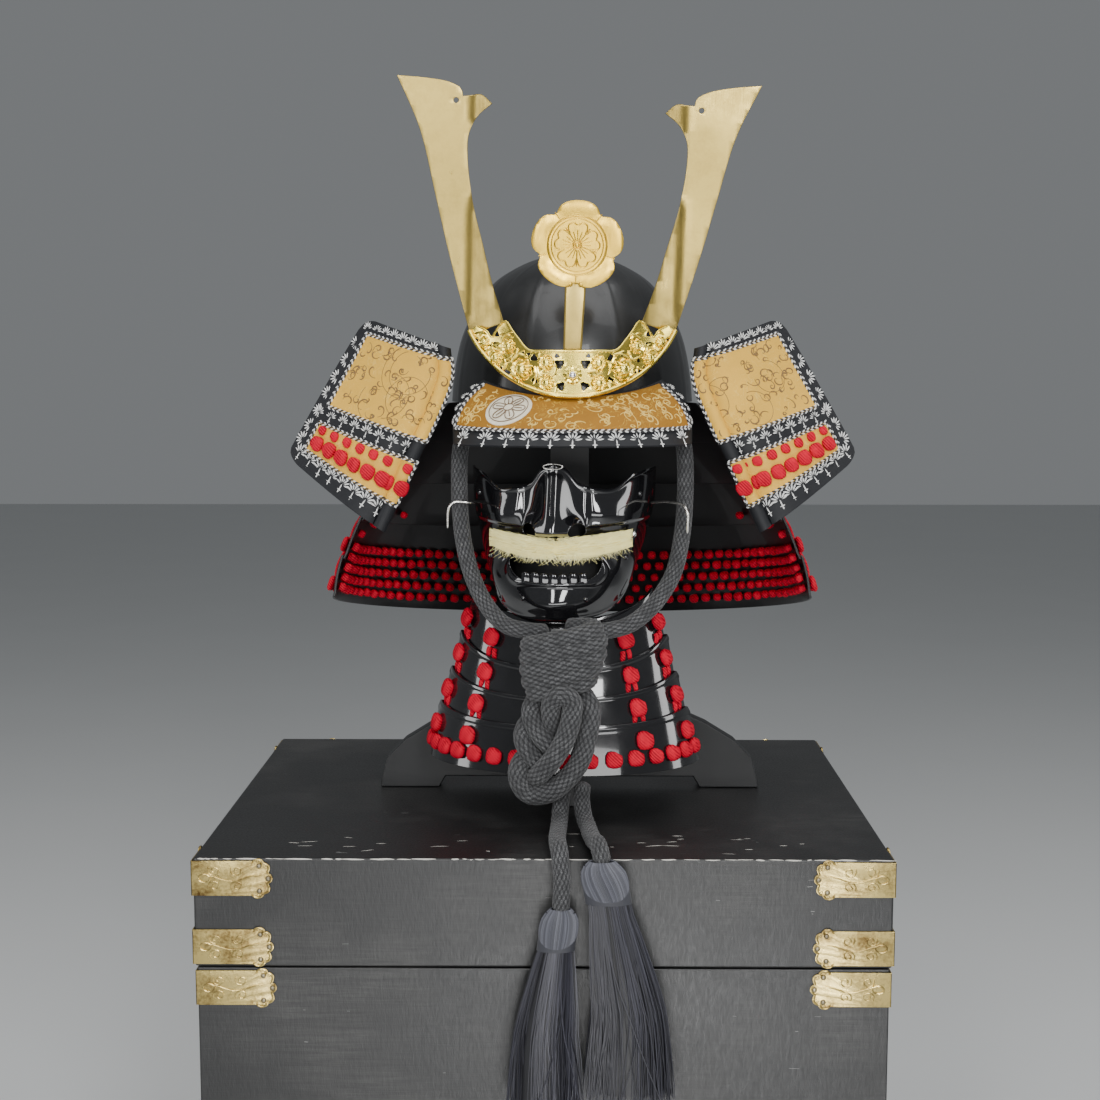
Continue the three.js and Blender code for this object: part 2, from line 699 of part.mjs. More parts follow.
function makeMask() {
  const safe = (u, v) => maskSurface(clamp(u, 0, 1), clamp(v, 0, 1));
  const shell = wallBetween(safe, offset(safe, -MASK_WALL), 26, 14);
  const { half, low, high } = MOUTH;
  const lips = [
    { x: -half, z: high },
    { x: -half + 4, z: low + 6 },
    { x: -half + 10, z: low },
    { x: half - 10, z: low },
    { x: half - 4, z: low + 6 },
    { x: half, z: high },
  ];
  const nostrils = [-1, 1].map((side) => [
    { x: side * 14, z: 239 },
    { x: side * 28, z: 239 },
    { x: side * 26, z: 247 },
    { x: side * 18, z: 249 },
  ]);
  const mask = joined([shell], [lips, ...nostrils].map((outline) => plate(outline, -175, 85)));
  add(face, 'mask', mask, LACQUER);
}

function makeMoustache() {
  const count = 15;
  const rings = Array.from({ length: count }, (_, k) => {
    const s = lerp(-1, 1, k / (count - 1));
    const x = 59 * s;
    const turn = Math.asin(clamp(x / 77, -1, 1));
    const tall = 5.5 + 4 * Math.pow(1 - s * s, 0.6);
    const deep = 2.5 + 2.5 * Math.pow(1 - s * s, 0.5);
    const level = 232 + 11 * s * s;
    const front = Math.min(...[-1, -0.5, 0, 0.5, 1].map((share) => maskFront(x, level + share * tall)));
    const centre = vec(x, front - deep - 1.6, level);
    return ringAt(centre, vec(Math.sin(-turn), Math.cos(turn), 0), vec(0, 0, 1), 6, (angle) => (
      (deep * tall) / Math.hypot(tall * Math.cos(angle), deep * Math.sin(angle))
    ));
  });
  add(face, 'moustache', throughRings(rings), CREAM_HAIR);
}

/** The bent pins on the cheeks that keep the cord on the jaw. */
function makePins() {
  for (const { word, side } of [{ word: 'left', side: -1 }, { word: 'right', side: 1 }]) {
    const route = [
      vec(side * 77.5, -76, 268),
      vec(side * 92, -92, 270),
      vec(side * 108, -112, 268),
      vec(side * 110, -114, 260),
      vec(side * 110, -114, 246),
    ];
    add(face, `pin_${word}`, tube(route, 2.4, 6, 10), PALE_GOLD);
  }
}

// ---------------------------------------------------------------- throat guard

/** A point of the throat guard: side from -1 to 1 across, z down its front, lift outwards. */
function throatPoint(side, z, lift) {
  const key = THROAT[0].z - z;
  const rows = THROAT.map((row) => ({ ...row, down: THROAT[0].z - row.z }));
  const half = readTable(rows, 'down', 'half', key);
  const deep = readTable(rows, 'down', 'deep', key);
  const turn = THROAT_EDGE * side;
  const out = vec(Math.sin(turn) / half, -Math.cos(turn) / deep, 0).normalize();
  const at = vec(half * Math.sin(turn), THROAT_BACK - deep * Math.cos(turn), z).addScaledVector(out, lift);
  return { at, out };
}

function makeThroatGuard() {
  const lames = THROAT.length - 1;
  const levels = THROAT.map((row) => row.z);
  for (let i = 0; i < lames; i += 1) {
    const top = levels[i] + (i > 0 ? 5 : 0);
    const surface = (lift) => (u, v) => {
      const low = levels[i + 1];
      const stand = THROAT_LIFT * (i > 0 ? 1 - v : 0);
      return throatPoint(2 * u - 1, lerp(top, low, v), stand + lift).at;
    };
    const wall = wallBetween(surface(THROAT_WALL / 2), surface(-THROAT_WALL / 2), 16, 1);
    add(face, `throat_plate_${i + 1}`, wall, LACQUER);
  }
  [-0.86, -0.5, 0.5, 0.86].forEach((side, column) => {
    const stations = [];
    for (let i = 0; i < lames; i += 1) {
      const high = levels[i] + (i > 0 ? 5 : -2);
      const low = i === lames - 1 ? levels[i] - 26 : levels[i + 1];
      const spot = (share, lift, size) => ({ ...throatPoint(side, lerp(high, low, share), lift), ...size });
      stations.push(spot(0, 5.2, THREAD));
      stations.push(spot(0.22, 4.8, THREAD));
      stations.push(spot(0.5, 3.9, { wide: 13, high: 4 }));
      stations.push(spot(0.78, 2.8, THREAD));
    }
    add(face, `throat_lacing_${column + 1}`, lacing(stations), RED_SILK);
  });
  const hem = (u) => throatPoint(lerp(-0.95, 0.95, u), 56, 3.6);
  add(face, 'throat_lacing_hem', lacingRows(hem, [{ knots: 15, wide: 13, high: 4 }]), RED_SILK);
}

// ---------------------------------------------------------------- cord, knot and tassels

function makeChinCord() {
  const side = (sign, rows) => rows.map(({ x, y, z }) => vec(KNOT.x * clamp((200 - z) / 40, 0, 1) + sign * x, y, z));
  const route = [
    ...side(-1, CHIN_CORD),
    vec(0, CHIN_CORD_BACK.y, CHIN_CORD_BACK.z),
    ...side(1, [...CHIN_CORD].reverse()),
  ];
  add(helmet, 'chin_cord', tube(route, CORD.diameter, CORD.sides, 40), CHARCOAL_CORD);
  for (const { word, sign } of [{ word: 'left', sign: -1 }, { word: 'right', sign: 1 }]) {
    const ring = new THREE.TorusGeometry(10.4, 1.6, 6, 14).rotateX(Math.PI / 2);
    ring.translate(sign * 87, -8, 361);
    add(helmet, `cord_ring_${word}`, faceOut(ring), PALE_GOLD);
  }
}

function makeKnot() {
  const { x, y, low, high, width, deep, turns, tilt } = KNOT;
  const count = 2 * turns + 1;
  const rings = Array.from({ length: count }, (_, k) => {
    const share = k / (count - 1);
    const full = (k % 2 === 1 ? 1 : 0.82) * (0.82 + 0.18 * Math.sin(Math.PI * share));
    const centre = vec(x, y, lerp(low, high, share));
    const first = vec(Math.cos(tilt), 0, -Math.sin(tilt));
    return ringAt(centre, first, vec(0, 1, 0), 14, (angle) => (
      (full * width * deep) / Math.hypot(deep * Math.cos(angle), width * Math.sin(angle))
    ));
  });
  add(helmet, 'knot_wrap', throughRings(rings), CHARCOAL_CORD);
}

function makeKnotLoops() {
  const strand = (rows) => tube(rows.map(([x, y, z]) => vec(x, y, z)), 16, 7, 12);
  const leftLoop = strand([
    [-14, -150, 103], [-28, -152, 90], [-30, -158, 72], [-16, -164, 58], [2, -168, 48], [17, -164, 54],
    [22, -158, 68], [12, -154, 83], [-2, -152, 94],
  ]);
  const rightLoop = strand([
    [6, -150, 103], [21, -152, 92], [20, -158, 78], [4, -164, 68], [-12, -166, 58], [-22, -164, 46],
    [-12, -162, 36], [6, -160, 34], [20, -160, 42], [24, -160, 52],
  ]);
  const core = throughRings([101, 84, 60, 40].map((z, i) => {
    const size = [14, 19, 19, 15][i];
    return ringAt(vec(-2, -157, z), vec(1, 0, 0), vec(0, 1, 0), 8, () => size * 0.8);
  }));
  add(helmet, 'knot_loops', joined([leftLoop, rightLoop, core]), CHARCOAL_CORD);
}

const TAILS = [
  {
    word: 'left',
    route: [
      { x: 9, y: -133, z: 15 },
      { x: 10, y: -150, z: 8.5 },
      { x: 11, y: -180, z: 8 },
      { x: 12, y: -203, z: 8.4 },
      { x: 13, y: -214, z: 7.4 },
      { x: 14, y: -220.5, z: -1 },
      { x: 15, y: -223, z: -14 },
      { x: 14, y: -223.5, z: -38 },
    ],
    tassel: { x: 2, y: -229, low: -192, half: 29, deep: 15 },
  },
  {
    word: 'right',
    route: [
      { x: 30, y: -133, z: 15 },
      { x: 34, y: -148, z: 8.5 },
      { x: 38, y: -170, z: 8 },
      { x: 41, y: -194, z: 9 },
      { x: 43, y: -210, z: 12 },
      { x: 45, y: -221, z: 8 },
      { x: 46, y: -225, z: 2 },
      { x: 46, y: -225, z: 0 },
    ],
    tassel: { x: 66, y: -232, low: -186, half: 35, deep: 16 },
  },
];

/** A tassel: a bound head and a skirt whose locks show as ribs that spread towards the end. */
function tasselSolid(start, { x, y, low, half, deep }) {
  const levels = [0, 0.05, 0.12, 0.18, 0.3, 0.5, 0.75, 1];
  const sizes = [0.3, 0.52, 0.52, 0.4, 0.58, 0.78, 0.92, 1];
  const ribs = 16;
  const rings = levels.map((share, i) => {
    const slide = clamp(share * 1.6, 0, 1);
    const centre = vec(lerp(start.x, x, slide), lerp(start.y, y, slide), lerp(start.z, low, share));
    const rib = share > 0.2 ? 0.1 * share : 0;
    return Array.from({ length: ribs }, (_, k) => {
      const angle = (k / ribs) * 2 * Math.PI;
      const r = sizes[i] * (1 - (k % 2) * rib);
      return centre.clone().add(vec(half * r * Math.cos(angle), deep * r * Math.sin(angle), 0));
    });
  });
  return throughRings(rings);
}

function makeTails() {
  for (const { word, route, tassel } of TAILS) {
    const points = route.map(({ x, y, z }) => vec(x, y, z + CHEST.height));
    add(root, `tail_${word}`, tube(points, CORD.diameter, CORD.sides, 8), CHARCOAL_CORD);
    const end = points[points.length - 1];
    const start = end.clone().add(vec(0, 0, -2.5));
    const skirt = { ...tassel, low: tassel.low + CHEST.height };
    add(root, `tassel_${word}`, tasselSolid(start, skirt), CHARCOAL_CORD);
  }
}

// ---------------------------------------------------------------- stand and chest

function makeStand() {
  const stand = new THREE.Group();
  stand.position.set(HELMET_AT.x - 2, HELMET_AT.y, CHEST.height + GAP);
  root.add(stand);
  const { board, recess, recessHigh, crossFront, crossBack } = STAND;
  const shoulder = STAND_SHOULDER;
  const flip = [...shoulder].reverse().map(({ x, z }) => ({ x: -x, z }));
  const foot = [
    { x: -recess, z: 0 },
    { x: -recess + 6, z: recessHigh },
    { x: recess - 6, z: recessHigh },
    { x: recess, z: 0 },
  ];
  const half = board / 2 + GAP;
  const slot = [
    { x: half, z: 92 },
    { x: half, z: 50 },
    { x: -half, z: 50 },
    { x: -half, z: 92 },
  ];
  const front = [...shoulder, ...slot, ...flip, ...foot];
  add(stand, 'stand_front_board', plate(front, -board / 2, board), SATIN_BLACK);
  const cross = [
    { x: crossBack, z: 0 },
    { x: crossBack - 4, z: 30 },
    { x: crossBack - 60, z: 64 },
    { x: 26, z: 92 },
    { x: -26, z: 92 },
    { x: -crossFront + 26, z: 64 },
    { x: -crossFront + 3, z: 30 },
    { x: -crossFront, z: 0 },
    { x: -half, z: 0 },
    { x: -half, z: 50 + GAP },
    { x: half, z: 50 + GAP },
    { x: half, z: 0 },
  ];
  const turned = plate(cross, -board / 2, board).rotateZ(Math.PI / 2);
  add(stand, 'stand_cross_board', turned, SATIN_BLACK);
  const { wide, deep, head, headRadius, rest, restThick, restRadius } = POST;
  const column = block(vec(-wide / 2, -deep / 2, 92 + GAP), vec(wide / 2, deep / 2, head - 8));
  const cap = new THREE.CylinderGeometry(headRadius - 14, headRadius, 10, 16);
  cap.rotateX(Math.PI / 2).translate(0, 0, head - 8);
  const shelf = new THREE.CylinderGeometry(restRadius, restRadius, restThick, 20, 1);
  shelf.rotateX(Math.PI / 2).translate(0, MASK_BACK + 2, rest);
  const behind = block(vec(-90, -45, rest - 10), vec(90, 60, rest + 10));
  const arm = block(vec(-14, MASK_BACK - 30, rest - restThick / 2), vec(14, 0, rest + restThick / 2));
  const half_shelf = joined([shelf], [behind]);
  add(stand, 'stand_post', joined([column, cap, half_shelf, arm]), SATIN_BLACK);
}

function makeChest() {
  const { width, depth, height, lid, wall, top, inset } = CHEST;
  const seam = height - lid;
  const bodyX = width / 2 - inset;
  const bodyY = depth / 2 - inset;
  const body = joined(
    [block(vec(-bodyX, -bodyY, 0), vec(bodyX, bodyY, seam - 1))],
    [block(vec(wall - bodyX, wall - bodyY, top), vec(bodyX - wall, bodyY - wall, seam + 10))],
  );
  add(root, 'chest_body', body, CHEST_LACQUER);
  const cover = joined(
    [block(vec(-width / 2, -depth / 2, seam), vec(width / 2, depth / 2, height))],
    [block(vec(wall - width / 2, wall - depth / 2, seam - 10), vec(width / 2 - wall, depth / 2 - wall, height - top))],
  );
  add(root, 'chest_lid', cover, CHEST_LACQUER);
}

/** One leaf of a corner fitting: a strip whose end is cut in five lobes, from x = 0 outwards. */
function leafOutline(reach, tall, lobe) {
  const arm = reach - 2.2 * lobe;
  const lobes = [
    { x: arm + 0.6 * lobe, z: -tall / 2 - 0.6 },
    { x: arm + 1.4 * lobe, z: -tall / 2 + 3 },
    { x: arm + 1.9 * lobe, z: -tall / 4 - 1.4 },
    { x: reach, z: -3.4 },
    { x: reach, z: 3.4 },
    { x: arm + 1.9 * lobe, z: tall / 4 + 1.4 },
    { x: arm + 1.4 * lobe, z: tall / 2 - 3 },
    { x: arm + 0.6 * lobe, z: tall / 2 + 0.6 },
    { x: arm - 0.2 * lobe, z: tall / 2 - 2.4 },
  ];
  const start = [
    { x: -FITTING.thick, z: tall / 2 - 2 },
    { x: -FITTING.thick, z: -tall / 2 + 2 },
    { x: arm - 0.2 * lobe, z: -tall / 2 + 2.4 },
  ];
  return start.concat(lobes);
}

function makeFittings() {
  const { width, depth, height, lid, inset } = CHEST;
  const { reach, side, tall, thick, lobe } = FITTING;
  const seam = height - lid;
  const levels = [
    { word: 'lid_top', z: height - tall / 2 - 1.5, inward: 0 },
    { word: 'lid_low', z: seam + tall / 2 + 2, inward: 0 },
    { word: 'body', z: seam - tall / 2 - 3, inward: inset },
  ];
  const corners = [
    { word: 'front_left', x: -1, y: -1 },
    { word: 'front_right', x: 1, y: -1 },
    { word: 'back_left', x: -1, y: 1 },
    { word: 'back_right', x: 1, y: 1 },
  ];
  for (const level of levels) {
    for (const corner of corners) {
      const front = plate(leafOutline(reach, tall, lobe), -thick, thick);
      const flank = plate(leafOutline(side, tall, lobe), 0, thick).rotateZ(Math.PI / 2);
      const leaf = joined([front, flank]);
      leaf.translate(-GAP, -GAP, 0);
      const placed = moved(leaf, (p) => vec(
        corner.x * (width / 2 - level.inward - p.x),
        corner.y * (depth / 2 - level.inward - p.y),
        level.z + p.z,
      ));
      add(root, `fitting_${level.word}_${corner.word}`, faceOut(placed), OLD_BRASS);
    }
  }
}

makeBowl();
makePeak();
makeHornBase();
makeHorns();
makeCrest();
makeNeckGuard();
makeWings();
makeMask();
makeMoustache();
makePins();
makeThroatGuard();
makeChinCord();
makeKnot();
makeKnotLoops();
makeTails();
makeStand();
makeChest();
makeFittings();

export default root;
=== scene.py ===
"""The looks of a samurai helmet with its half mask and throat guard, on a stand on an armour chest.

Pieces are drawn in millimetres in the helmet's own place and put into the row frame in metres.
"""

from __future__ import annotations

import json
import logging
import math
from dataclasses import dataclass, field
from enum import Enum
from functools import partial
from typing import Callable, Iterable, Sequence

import bmesh
import bpy
import numpy as np
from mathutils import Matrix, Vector

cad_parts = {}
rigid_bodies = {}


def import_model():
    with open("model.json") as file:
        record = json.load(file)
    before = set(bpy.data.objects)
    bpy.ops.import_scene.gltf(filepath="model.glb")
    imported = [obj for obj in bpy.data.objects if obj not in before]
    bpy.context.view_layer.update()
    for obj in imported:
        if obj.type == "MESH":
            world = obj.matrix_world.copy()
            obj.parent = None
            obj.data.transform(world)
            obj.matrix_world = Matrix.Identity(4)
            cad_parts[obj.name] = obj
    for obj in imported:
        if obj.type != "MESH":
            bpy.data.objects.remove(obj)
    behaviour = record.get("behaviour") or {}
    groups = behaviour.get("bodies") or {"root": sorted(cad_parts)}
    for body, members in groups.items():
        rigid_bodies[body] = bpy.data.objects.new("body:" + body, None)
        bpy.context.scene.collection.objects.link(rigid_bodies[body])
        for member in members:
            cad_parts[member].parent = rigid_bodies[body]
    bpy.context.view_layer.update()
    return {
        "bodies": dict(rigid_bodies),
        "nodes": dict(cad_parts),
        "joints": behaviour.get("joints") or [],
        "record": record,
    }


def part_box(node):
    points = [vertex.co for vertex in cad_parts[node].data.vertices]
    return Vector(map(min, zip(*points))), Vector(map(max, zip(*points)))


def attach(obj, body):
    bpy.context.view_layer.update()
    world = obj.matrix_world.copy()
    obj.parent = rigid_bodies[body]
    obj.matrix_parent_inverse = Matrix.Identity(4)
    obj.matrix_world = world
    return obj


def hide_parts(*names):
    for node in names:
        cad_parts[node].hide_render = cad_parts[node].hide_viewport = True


LOG = logging.getLogger("helmet")
MM = 0.001
BODY = "root"
SEED = 11
FULL_TURN = 2 * math.pi
CHEST_WIDE = 550.0
CHEST_DEEP = 420.0

Array = np.ndarray
Socket = bpy.types.NodeSocket
Pair = tuple[float, float]
Triple = tuple[float, float, float]
Surface = Callable[[Array, Array], Array]


# ---------------------------------------------------------------- numbers and places


def vec(x: float, y: float, z: float) -> Array:
    """A point or direction."""
    return np.array([x, y, z], float)


def unit(v: Array) -> Array:
    """Directions of length one, along the last axis."""
    return v / np.maximum(np.linalg.norm(v, axis=-1, keepdims=True), 1e-12)


def mix(a: Array | float, b: Array | float, share: Array | float) -> Array:
    """The value a share of the way from a to b."""
    return a + (b - a) * share


def spread_round(count: int) -> Array:
    """Angles at even steps round a circle."""
    return np.arange(count) / count * FULL_TURN


def hill(distance: Array | float, width: float) -> Array:
    """A smooth bump of height one, this wide."""
    return np.exp(-np.square(distance) / (2 * width * width))


def step_up(value: Array | float, start: float, end: float) -> Array:
    """A smooth rise from 0 at start to 1 at end."""
    t = np.clip((value - start) / (end - start), 0, 1)
    return t * t * (3 - 2 * t)


@dataclass(frozen=True)
class Course:
    """Smooth values between stations.

    Args:
        stations: where the values stand, rising.
        values: the value at each station.
    """

    stations: tuple[float, ...]
    values: tuple[float, ...]

    def at(self, place: Array | float) -> Array:
        """The value at each place, by Hermite pieces.

        Args:
            place: where the values are asked for.

        Returns:
            The values.
        """
        x = np.array(self.stations, float)
        y = np.array(self.values, float)
        last = len(x) - 1
        where = np.clip(np.asarray(place, float), x[0], x[-1])
        i = np.clip(np.searchsorted(x, where, side="left"), 1, last)
        before = np.maximum(np.arange(last + 1) - 1, 0)
        after = np.minimum(np.arange(last + 1) + 1, last)
        slope = (y[after] - y[before]) / (x[after] - x[before])
        span = x[i] - x[i - 1]
        t = (where - x[i - 1]) / span
        bend_in = slope[i - 1] * span * t * (1 - t) * (1 - t)
        bend_out = slope[i] * span * t * t * (t - 1)
        return mix(y[i - 1], y[i], t * t * (3 - 2 * t)) + bend_in + bend_out


@dataclass(frozen=True)
class Seat:
    """A place that pieces are drawn in, in millimetres.

    Args:
        origin: its origin in the row frame.
        turn: how far it is turned about Z, in radians.
    """

    origin: Triple = (0.0, 0.0, 0.0)
    turn: float = 0.0

    def put(self, points: Array) -> Array:
        """Points of this place in the row frame, still in millimetres.

        Args:
            points: the points, in millimetres.

        Returns:
            The points in the row frame.
        """
        c, s = math.cos(self.turn), math.sin(self.turn)
        p = np.asarray(points, float)
        turned = np.stack([c * p[..., 0] - s * p[..., 1], s * p[..., 0] + c * p[..., 1], p[..., 2]], -1)
        return turned + np.array(self.origin)

    def swing(self, directions: Array) -> Array:
        """Directions of this place in the row frame."""
        return Seat((0.0, 0.0, 0.0), self.turn).put(directions)


def smooth_path(points: Sequence[Sequence[float]], pitch: float, closed: bool = False) -> Array:
    """A centripetal curve through points, with a point every pitch.

    Args:
        points: what it goes through.
        pitch: the distance between the points returned.
        closed: whether it comes back to its start.

    Returns:
        The points along it.
    """
    p = np.array(points, float)
    ahead = np.concatenate([p[-1:], p, p[:2]]) if closed else np.concatenate(
        [[2 * p[0] - p[1]], p, [2 * p[-1] - p[-2]]]
    )
    runs = []
    for a, b, c, d in zip(ahead, ahead[1:], ahead[2:], ahead[3:]):
        k1 = max(np.linalg.norm(b - a), 1e-6) ** 0.5
        k2 = max(np.linalg.norm(c - b), 1e-6) ** 0.5
        k3 = max(np.linalg.norm(d - c), 1e-6) ** 0.5
        m1 = ((b - a) / k1 - (c - a) / (k1 + k2) + (c - b) / k2) * k2
        m2 = ((c - b) / k2 - (d - b) / (k2 + k3) + (d - c) / k3) * k2
        t = np.linspace(0, 1, 24, endpoint=False)[:, None]
        runs.append(
            (2 * t**3 - 3 * t**2 + 1) * b + (t**3 - 2 * t**2 + t) * m1
            + (3 * t**2 - 2 * t**3) * c + (t**3 - t**2) * m2
        )
    dense = np.concatenate([*runs, p[:1] if closed else p[-1:]])
    return even_steps(dense, pitch)


def even_steps(points: Array, pitch: float) -> Array:
    """The same line with a point every pitch.

    Args:
        points: its points.
        pitch: the distance between points.

    Returns:
        The points.
    """
    gone = np.concatenate([[0], np.cumsum(np.linalg.norm(np.diff(points, axis=0), axis=1))])
    count = max(int(round(gone[-1] / pitch)), 2)
    marks = np.linspace(0, gone[-1], count + 1)
    return np.stack([np.interp(marks, gone, points[:, k]) for k in range(3)], -1)


def length_of(points: Array) -> float:
    """The length of a line through points."""
    return float(np.linalg.norm(np.diff(points, axis=0), axis=1).sum())


def frames_along(path: Array) -> tuple[Array, Array, Array]:
    """Directions along a line and two across it that turn as little as they can.

    Args:
        path: the line's points.

    Returns:
        The direction along it and the two across it, at each point.
    """
    along = unit(np.gradient(path, axis=0))
    first = np.zeros_like(path)
    start = np.cross(along[0], (0, 0, 1) if abs(along[0][2]) < 0.9 else (1, 0, 0))
    first[0] = unit(start)
    for i in range(1, len(path)):
        kept = first[i - 1] - along[i] * float(first[i - 1] @ along[i])
        first[i] = unit(kept)
    return along, first, np.cross(along, first)


# ---------------------------------------------------------------- shapes


@dataclass
class Shape:
    """A mesh while it is drawn.

    Args:
        points: its points, in millimetres.
        faces: each face's point numbers.
        corners: a place on the surface for each corner of each face, in millimetres.
        marks: a number for each point, by name, which a finish can read.
    """

    points: Array
    faces: list[Sequence[int]]
    corners: Array | None = None
    marks: dict[str, Array] = field(default_factory=dict)

    def corner_count(self) -> int:
        """How many face corners it has."""
        return sum(len(face) for face in self.faces)

    def outward(self) -> Shape:
        """The same closed shape with its faces turned out.

        Returns:
            The shape.
        """
        volume = 0.0
        for size in {len(face) for face in self.faces}:
            f = np.array([face for face in self.faces if len(face) == size])
            p = self.points
            for k in range(1, size - 1):
                volume += np.einsum("ij,ij->", p[f[:, 0]], np.cross(p[f[:, k]], p[f[:, k + 1]]))
        if volume >= 0:
            return self
        corners = self.corners
        if corners is not None:
            starts = np.cumsum([0] + [len(face) for face in self.faces])
            order = np.concatenate([np.arange(b - 1, a - 1, -1) for a, b in zip(starts, starts[1:])])
            corners = corners[order]
        return Shape(self.points, [list(reversed(face)) for face in self.faces], corners, self.marks)

    def moved(self, shift: Callable[[Array], Array]) -> Shape:
        """The same shape with every point moved by a function."""
        return Shape(shift(self.points), self.faces, self.corners, self.marks)


def together(shapes: Iterable[Shape]) -> Shape:
    """Several shapes as one.

    Args:
        shapes: the shapes.

    Returns:
        The one shape.
    """
    parts = list(shapes)
    names = {name for part in parts for name in part.marks}
    start = np.cumsum([0] + [len(part.points) for part in parts])
    faces = [[k + int(base) for k in face] for part, base in zip(parts, start) for face in part.faces]
    corners = None
    if any(part.corners is not None for part in parts):
        blank = [np.zeros((part.corner_count(), 2)) if part.corners is None else part.corners
                 for part in parts]
        corners = np.concatenate(blank)
    marks = {
        name: np.concatenate([part.marks.get(name, np.zeros(len(part.points))) for part in parts])
        for name in names
    }
    return Shape(np.concatenate([part.points for part in parts]), faces, corners, marks)


def grid_faces(columns: int, rows: int, round_across: bool = False) -> Array:
    """Quads of a grid of points, row after row.

    Args:
        columns: how many faces it has across.
        rows: how many faces it has along.
        round_across: whether it closes on itself across.

    Returns:
        Each face's point numbers.
    """
    wide = columns if round_across else columns + 1
    column, row = np.meshgrid(np.arange(columns), np.arange(rows))
    right = (column + 1) % wide
    quads = [row * wide + column, row * wide + right, (row + 1) * wide + right, (row + 1) * wide + column]
    return np.stack(quads, -1).reshape(-1, 4)


def grid_corners(columns: int, rows: int, width: float, height: float) -> Array:
    """Where each corner of a grid's quads lies on the flat, in millimetres.

    Args:
        columns: how many faces it has across.
        rows: how many faces it has along.
        width: its width.
        height: its height.

    Returns:
        The corners.
    """
    column, row = np.meshgrid(np.arange(columns), np.arange(rows))
    across = np.stack([column, column + 1, column + 1, column], -1) * (width / columns)
    along = np.stack([row, row, row + 1, row + 1], -1) * (height / rows)
    return np.stack([across, along], -1).reshape(-1, 2)


def uv_grid(columns: int, rows: int) -> tuple[Array, Array]:
    """The u and v of every point of a grid."""
    return np.meshgrid(np.linspace(0, 1, columns + 1), np.linspace(0, 1, rows + 1))


def normals_of(surface: Surface, u: Array, v: Array) -> Array:
    """Unit normals of a surface.

    Args:
        surface: the surface.
        u: shares across, from 0 to 1.
        v: shares along, from 0 to 1.

    Returns:
        The normals.
    """
    step = 1e-3
    across = surface(u + step, v) - surface(u - step, v)
    along = surface(u, v + step) - surface(u, v - step)
    return unit(np.cross(across, along))


def lifted(surface: Surface, by: float) -> Surface:
    """The surface moved along its normal."""
    return lambda u, v: surface(u, v) + normals_of(surface, u, v) * by


def wall(outer: Surface, inner: Surface, columns: int, rows: int, size: Pair) -> Shape:
    """A closed wall between two surfaces.

    Args:
        outer: the outer surface, of u and v from 0 to 1.
        inner: the inner surface.
        columns: how many faces across.
        rows: how many faces along.
        size: the surface's width and height in millimetres, for what is drawn on it.

    Returns:
        The wall, with its faces turned out.
    """
    u, v = uv_grid(columns, rows)
    points = np.concatenate([outer(u, v).reshape(-1, 3), inner(u, v).reshape(-1, 3)])
    layer = (columns + 1) * (rows + 1)
    front = grid_faces(columns, rows)
    back = front[:, ::-1] + layer
    i = np.arange(columns)
    top = rows * (columns + 1) + i
    low_edge = np.stack([i + 1, i, layer + i, layer + i + 1], -1)
    high_edge = np.stack([top, top + 1, layer + top + 1, layer + top], -1)
    left = np.arange(rows) * (columns + 1)
    right = left + columns
    left_edge = np.stack([left, left + columns + 1, layer + left + columns + 1, layer + left], -1)
    right_edge = np.stack([right + columns + 1, right, layer + right, layer + right + columns + 1], -1)
    faces = np.concatenate([front, back, low_edge, high_edge, left_edge, right_edge]).tolist()
    flat = grid_corners(columns, rows, *size)
    edges = np.zeros((4 * (2 * columns + 2 * rows), 2))
    return Shape(points, faces, np.concatenate([flat, flat, edges])).outward()


def sheet(surface: Surface, thick: float, columns: int, rows: int, size: Pair, lift: float = 0) -> Shape:
    """A sheet of even thickness about a surface."""
    return wall(lifted(surface, lift + thick / 2), lifted(surface, lift - thick / 2), columns, rows, size)


def loft(rings: Array, round_corners: Pair | None = None) -> Shape:
    """A closed solid through rings of equally many points, with flat ends.

    Args:
        rings: the rings, each an array of points.
        round_corners: the size of the layout round it and along it.

    Returns:
        The solid.
    """
    count, sides = rings.shape[:2]
    faces = grid_faces(sides, count - 1, True).tolist()
    size = round_corners or (1.0, 1.0)
    corners = grid_corners(sides, count - 1, *size)
    ends = [list(range(sides))[::-1], [(count - 1) * sides + k for k in range(sides)]]
    caps = np.zeros((2 * sides, 2))
    return Shape(rings.reshape(-1, 3), faces + ends, np.concatenate([corners, caps])).outward()


def tube(path: Array, radius: Array | float, sides: int = 10) -> Shape:
    """A round tube along a line, with round-over ends.

    Args:
        path: the points of its middle line.
        radius: its radius, or one for each point.
        sides: how many sides it has.

    Returns:
        The tube.
    """
    along, first, second = frames_along(path)
    angles = spread_round(sides)
    r = np.broadcast_to(np.asarray(radius, float), (len(path),))
    round_part = np.cos(angles)[None, :, None] * first[:, None]
    round_part = round_part + np.sin(angles)[None, :, None] * second[:, None]
    rings = path[:, None] + r[:, None, None] * round_part
    start = path[0] - along[0] * r[0] * 0.6 + r[0] * 0.55 * round_part[0]
    end = path[-1] + along[-1] * r[-1] * 0.6 + r[-1] * 0.55 * round_part[-1]
    rings = np.concatenate([start[None], rings, end[None]])
    return loft(rings, (float(FULL_TURN * r.mean()), length_of(path)))


def outline_round(x: float, z: float, radius: float, count: int) -> Array:
    """A round outline in x and z."""
    angle = spread_round(count)
    return np.stack([x + radius * np.cos(angle), z + radius * np.sin(angle)], -1)


# ---------------------------------------------------------------- Blender objects


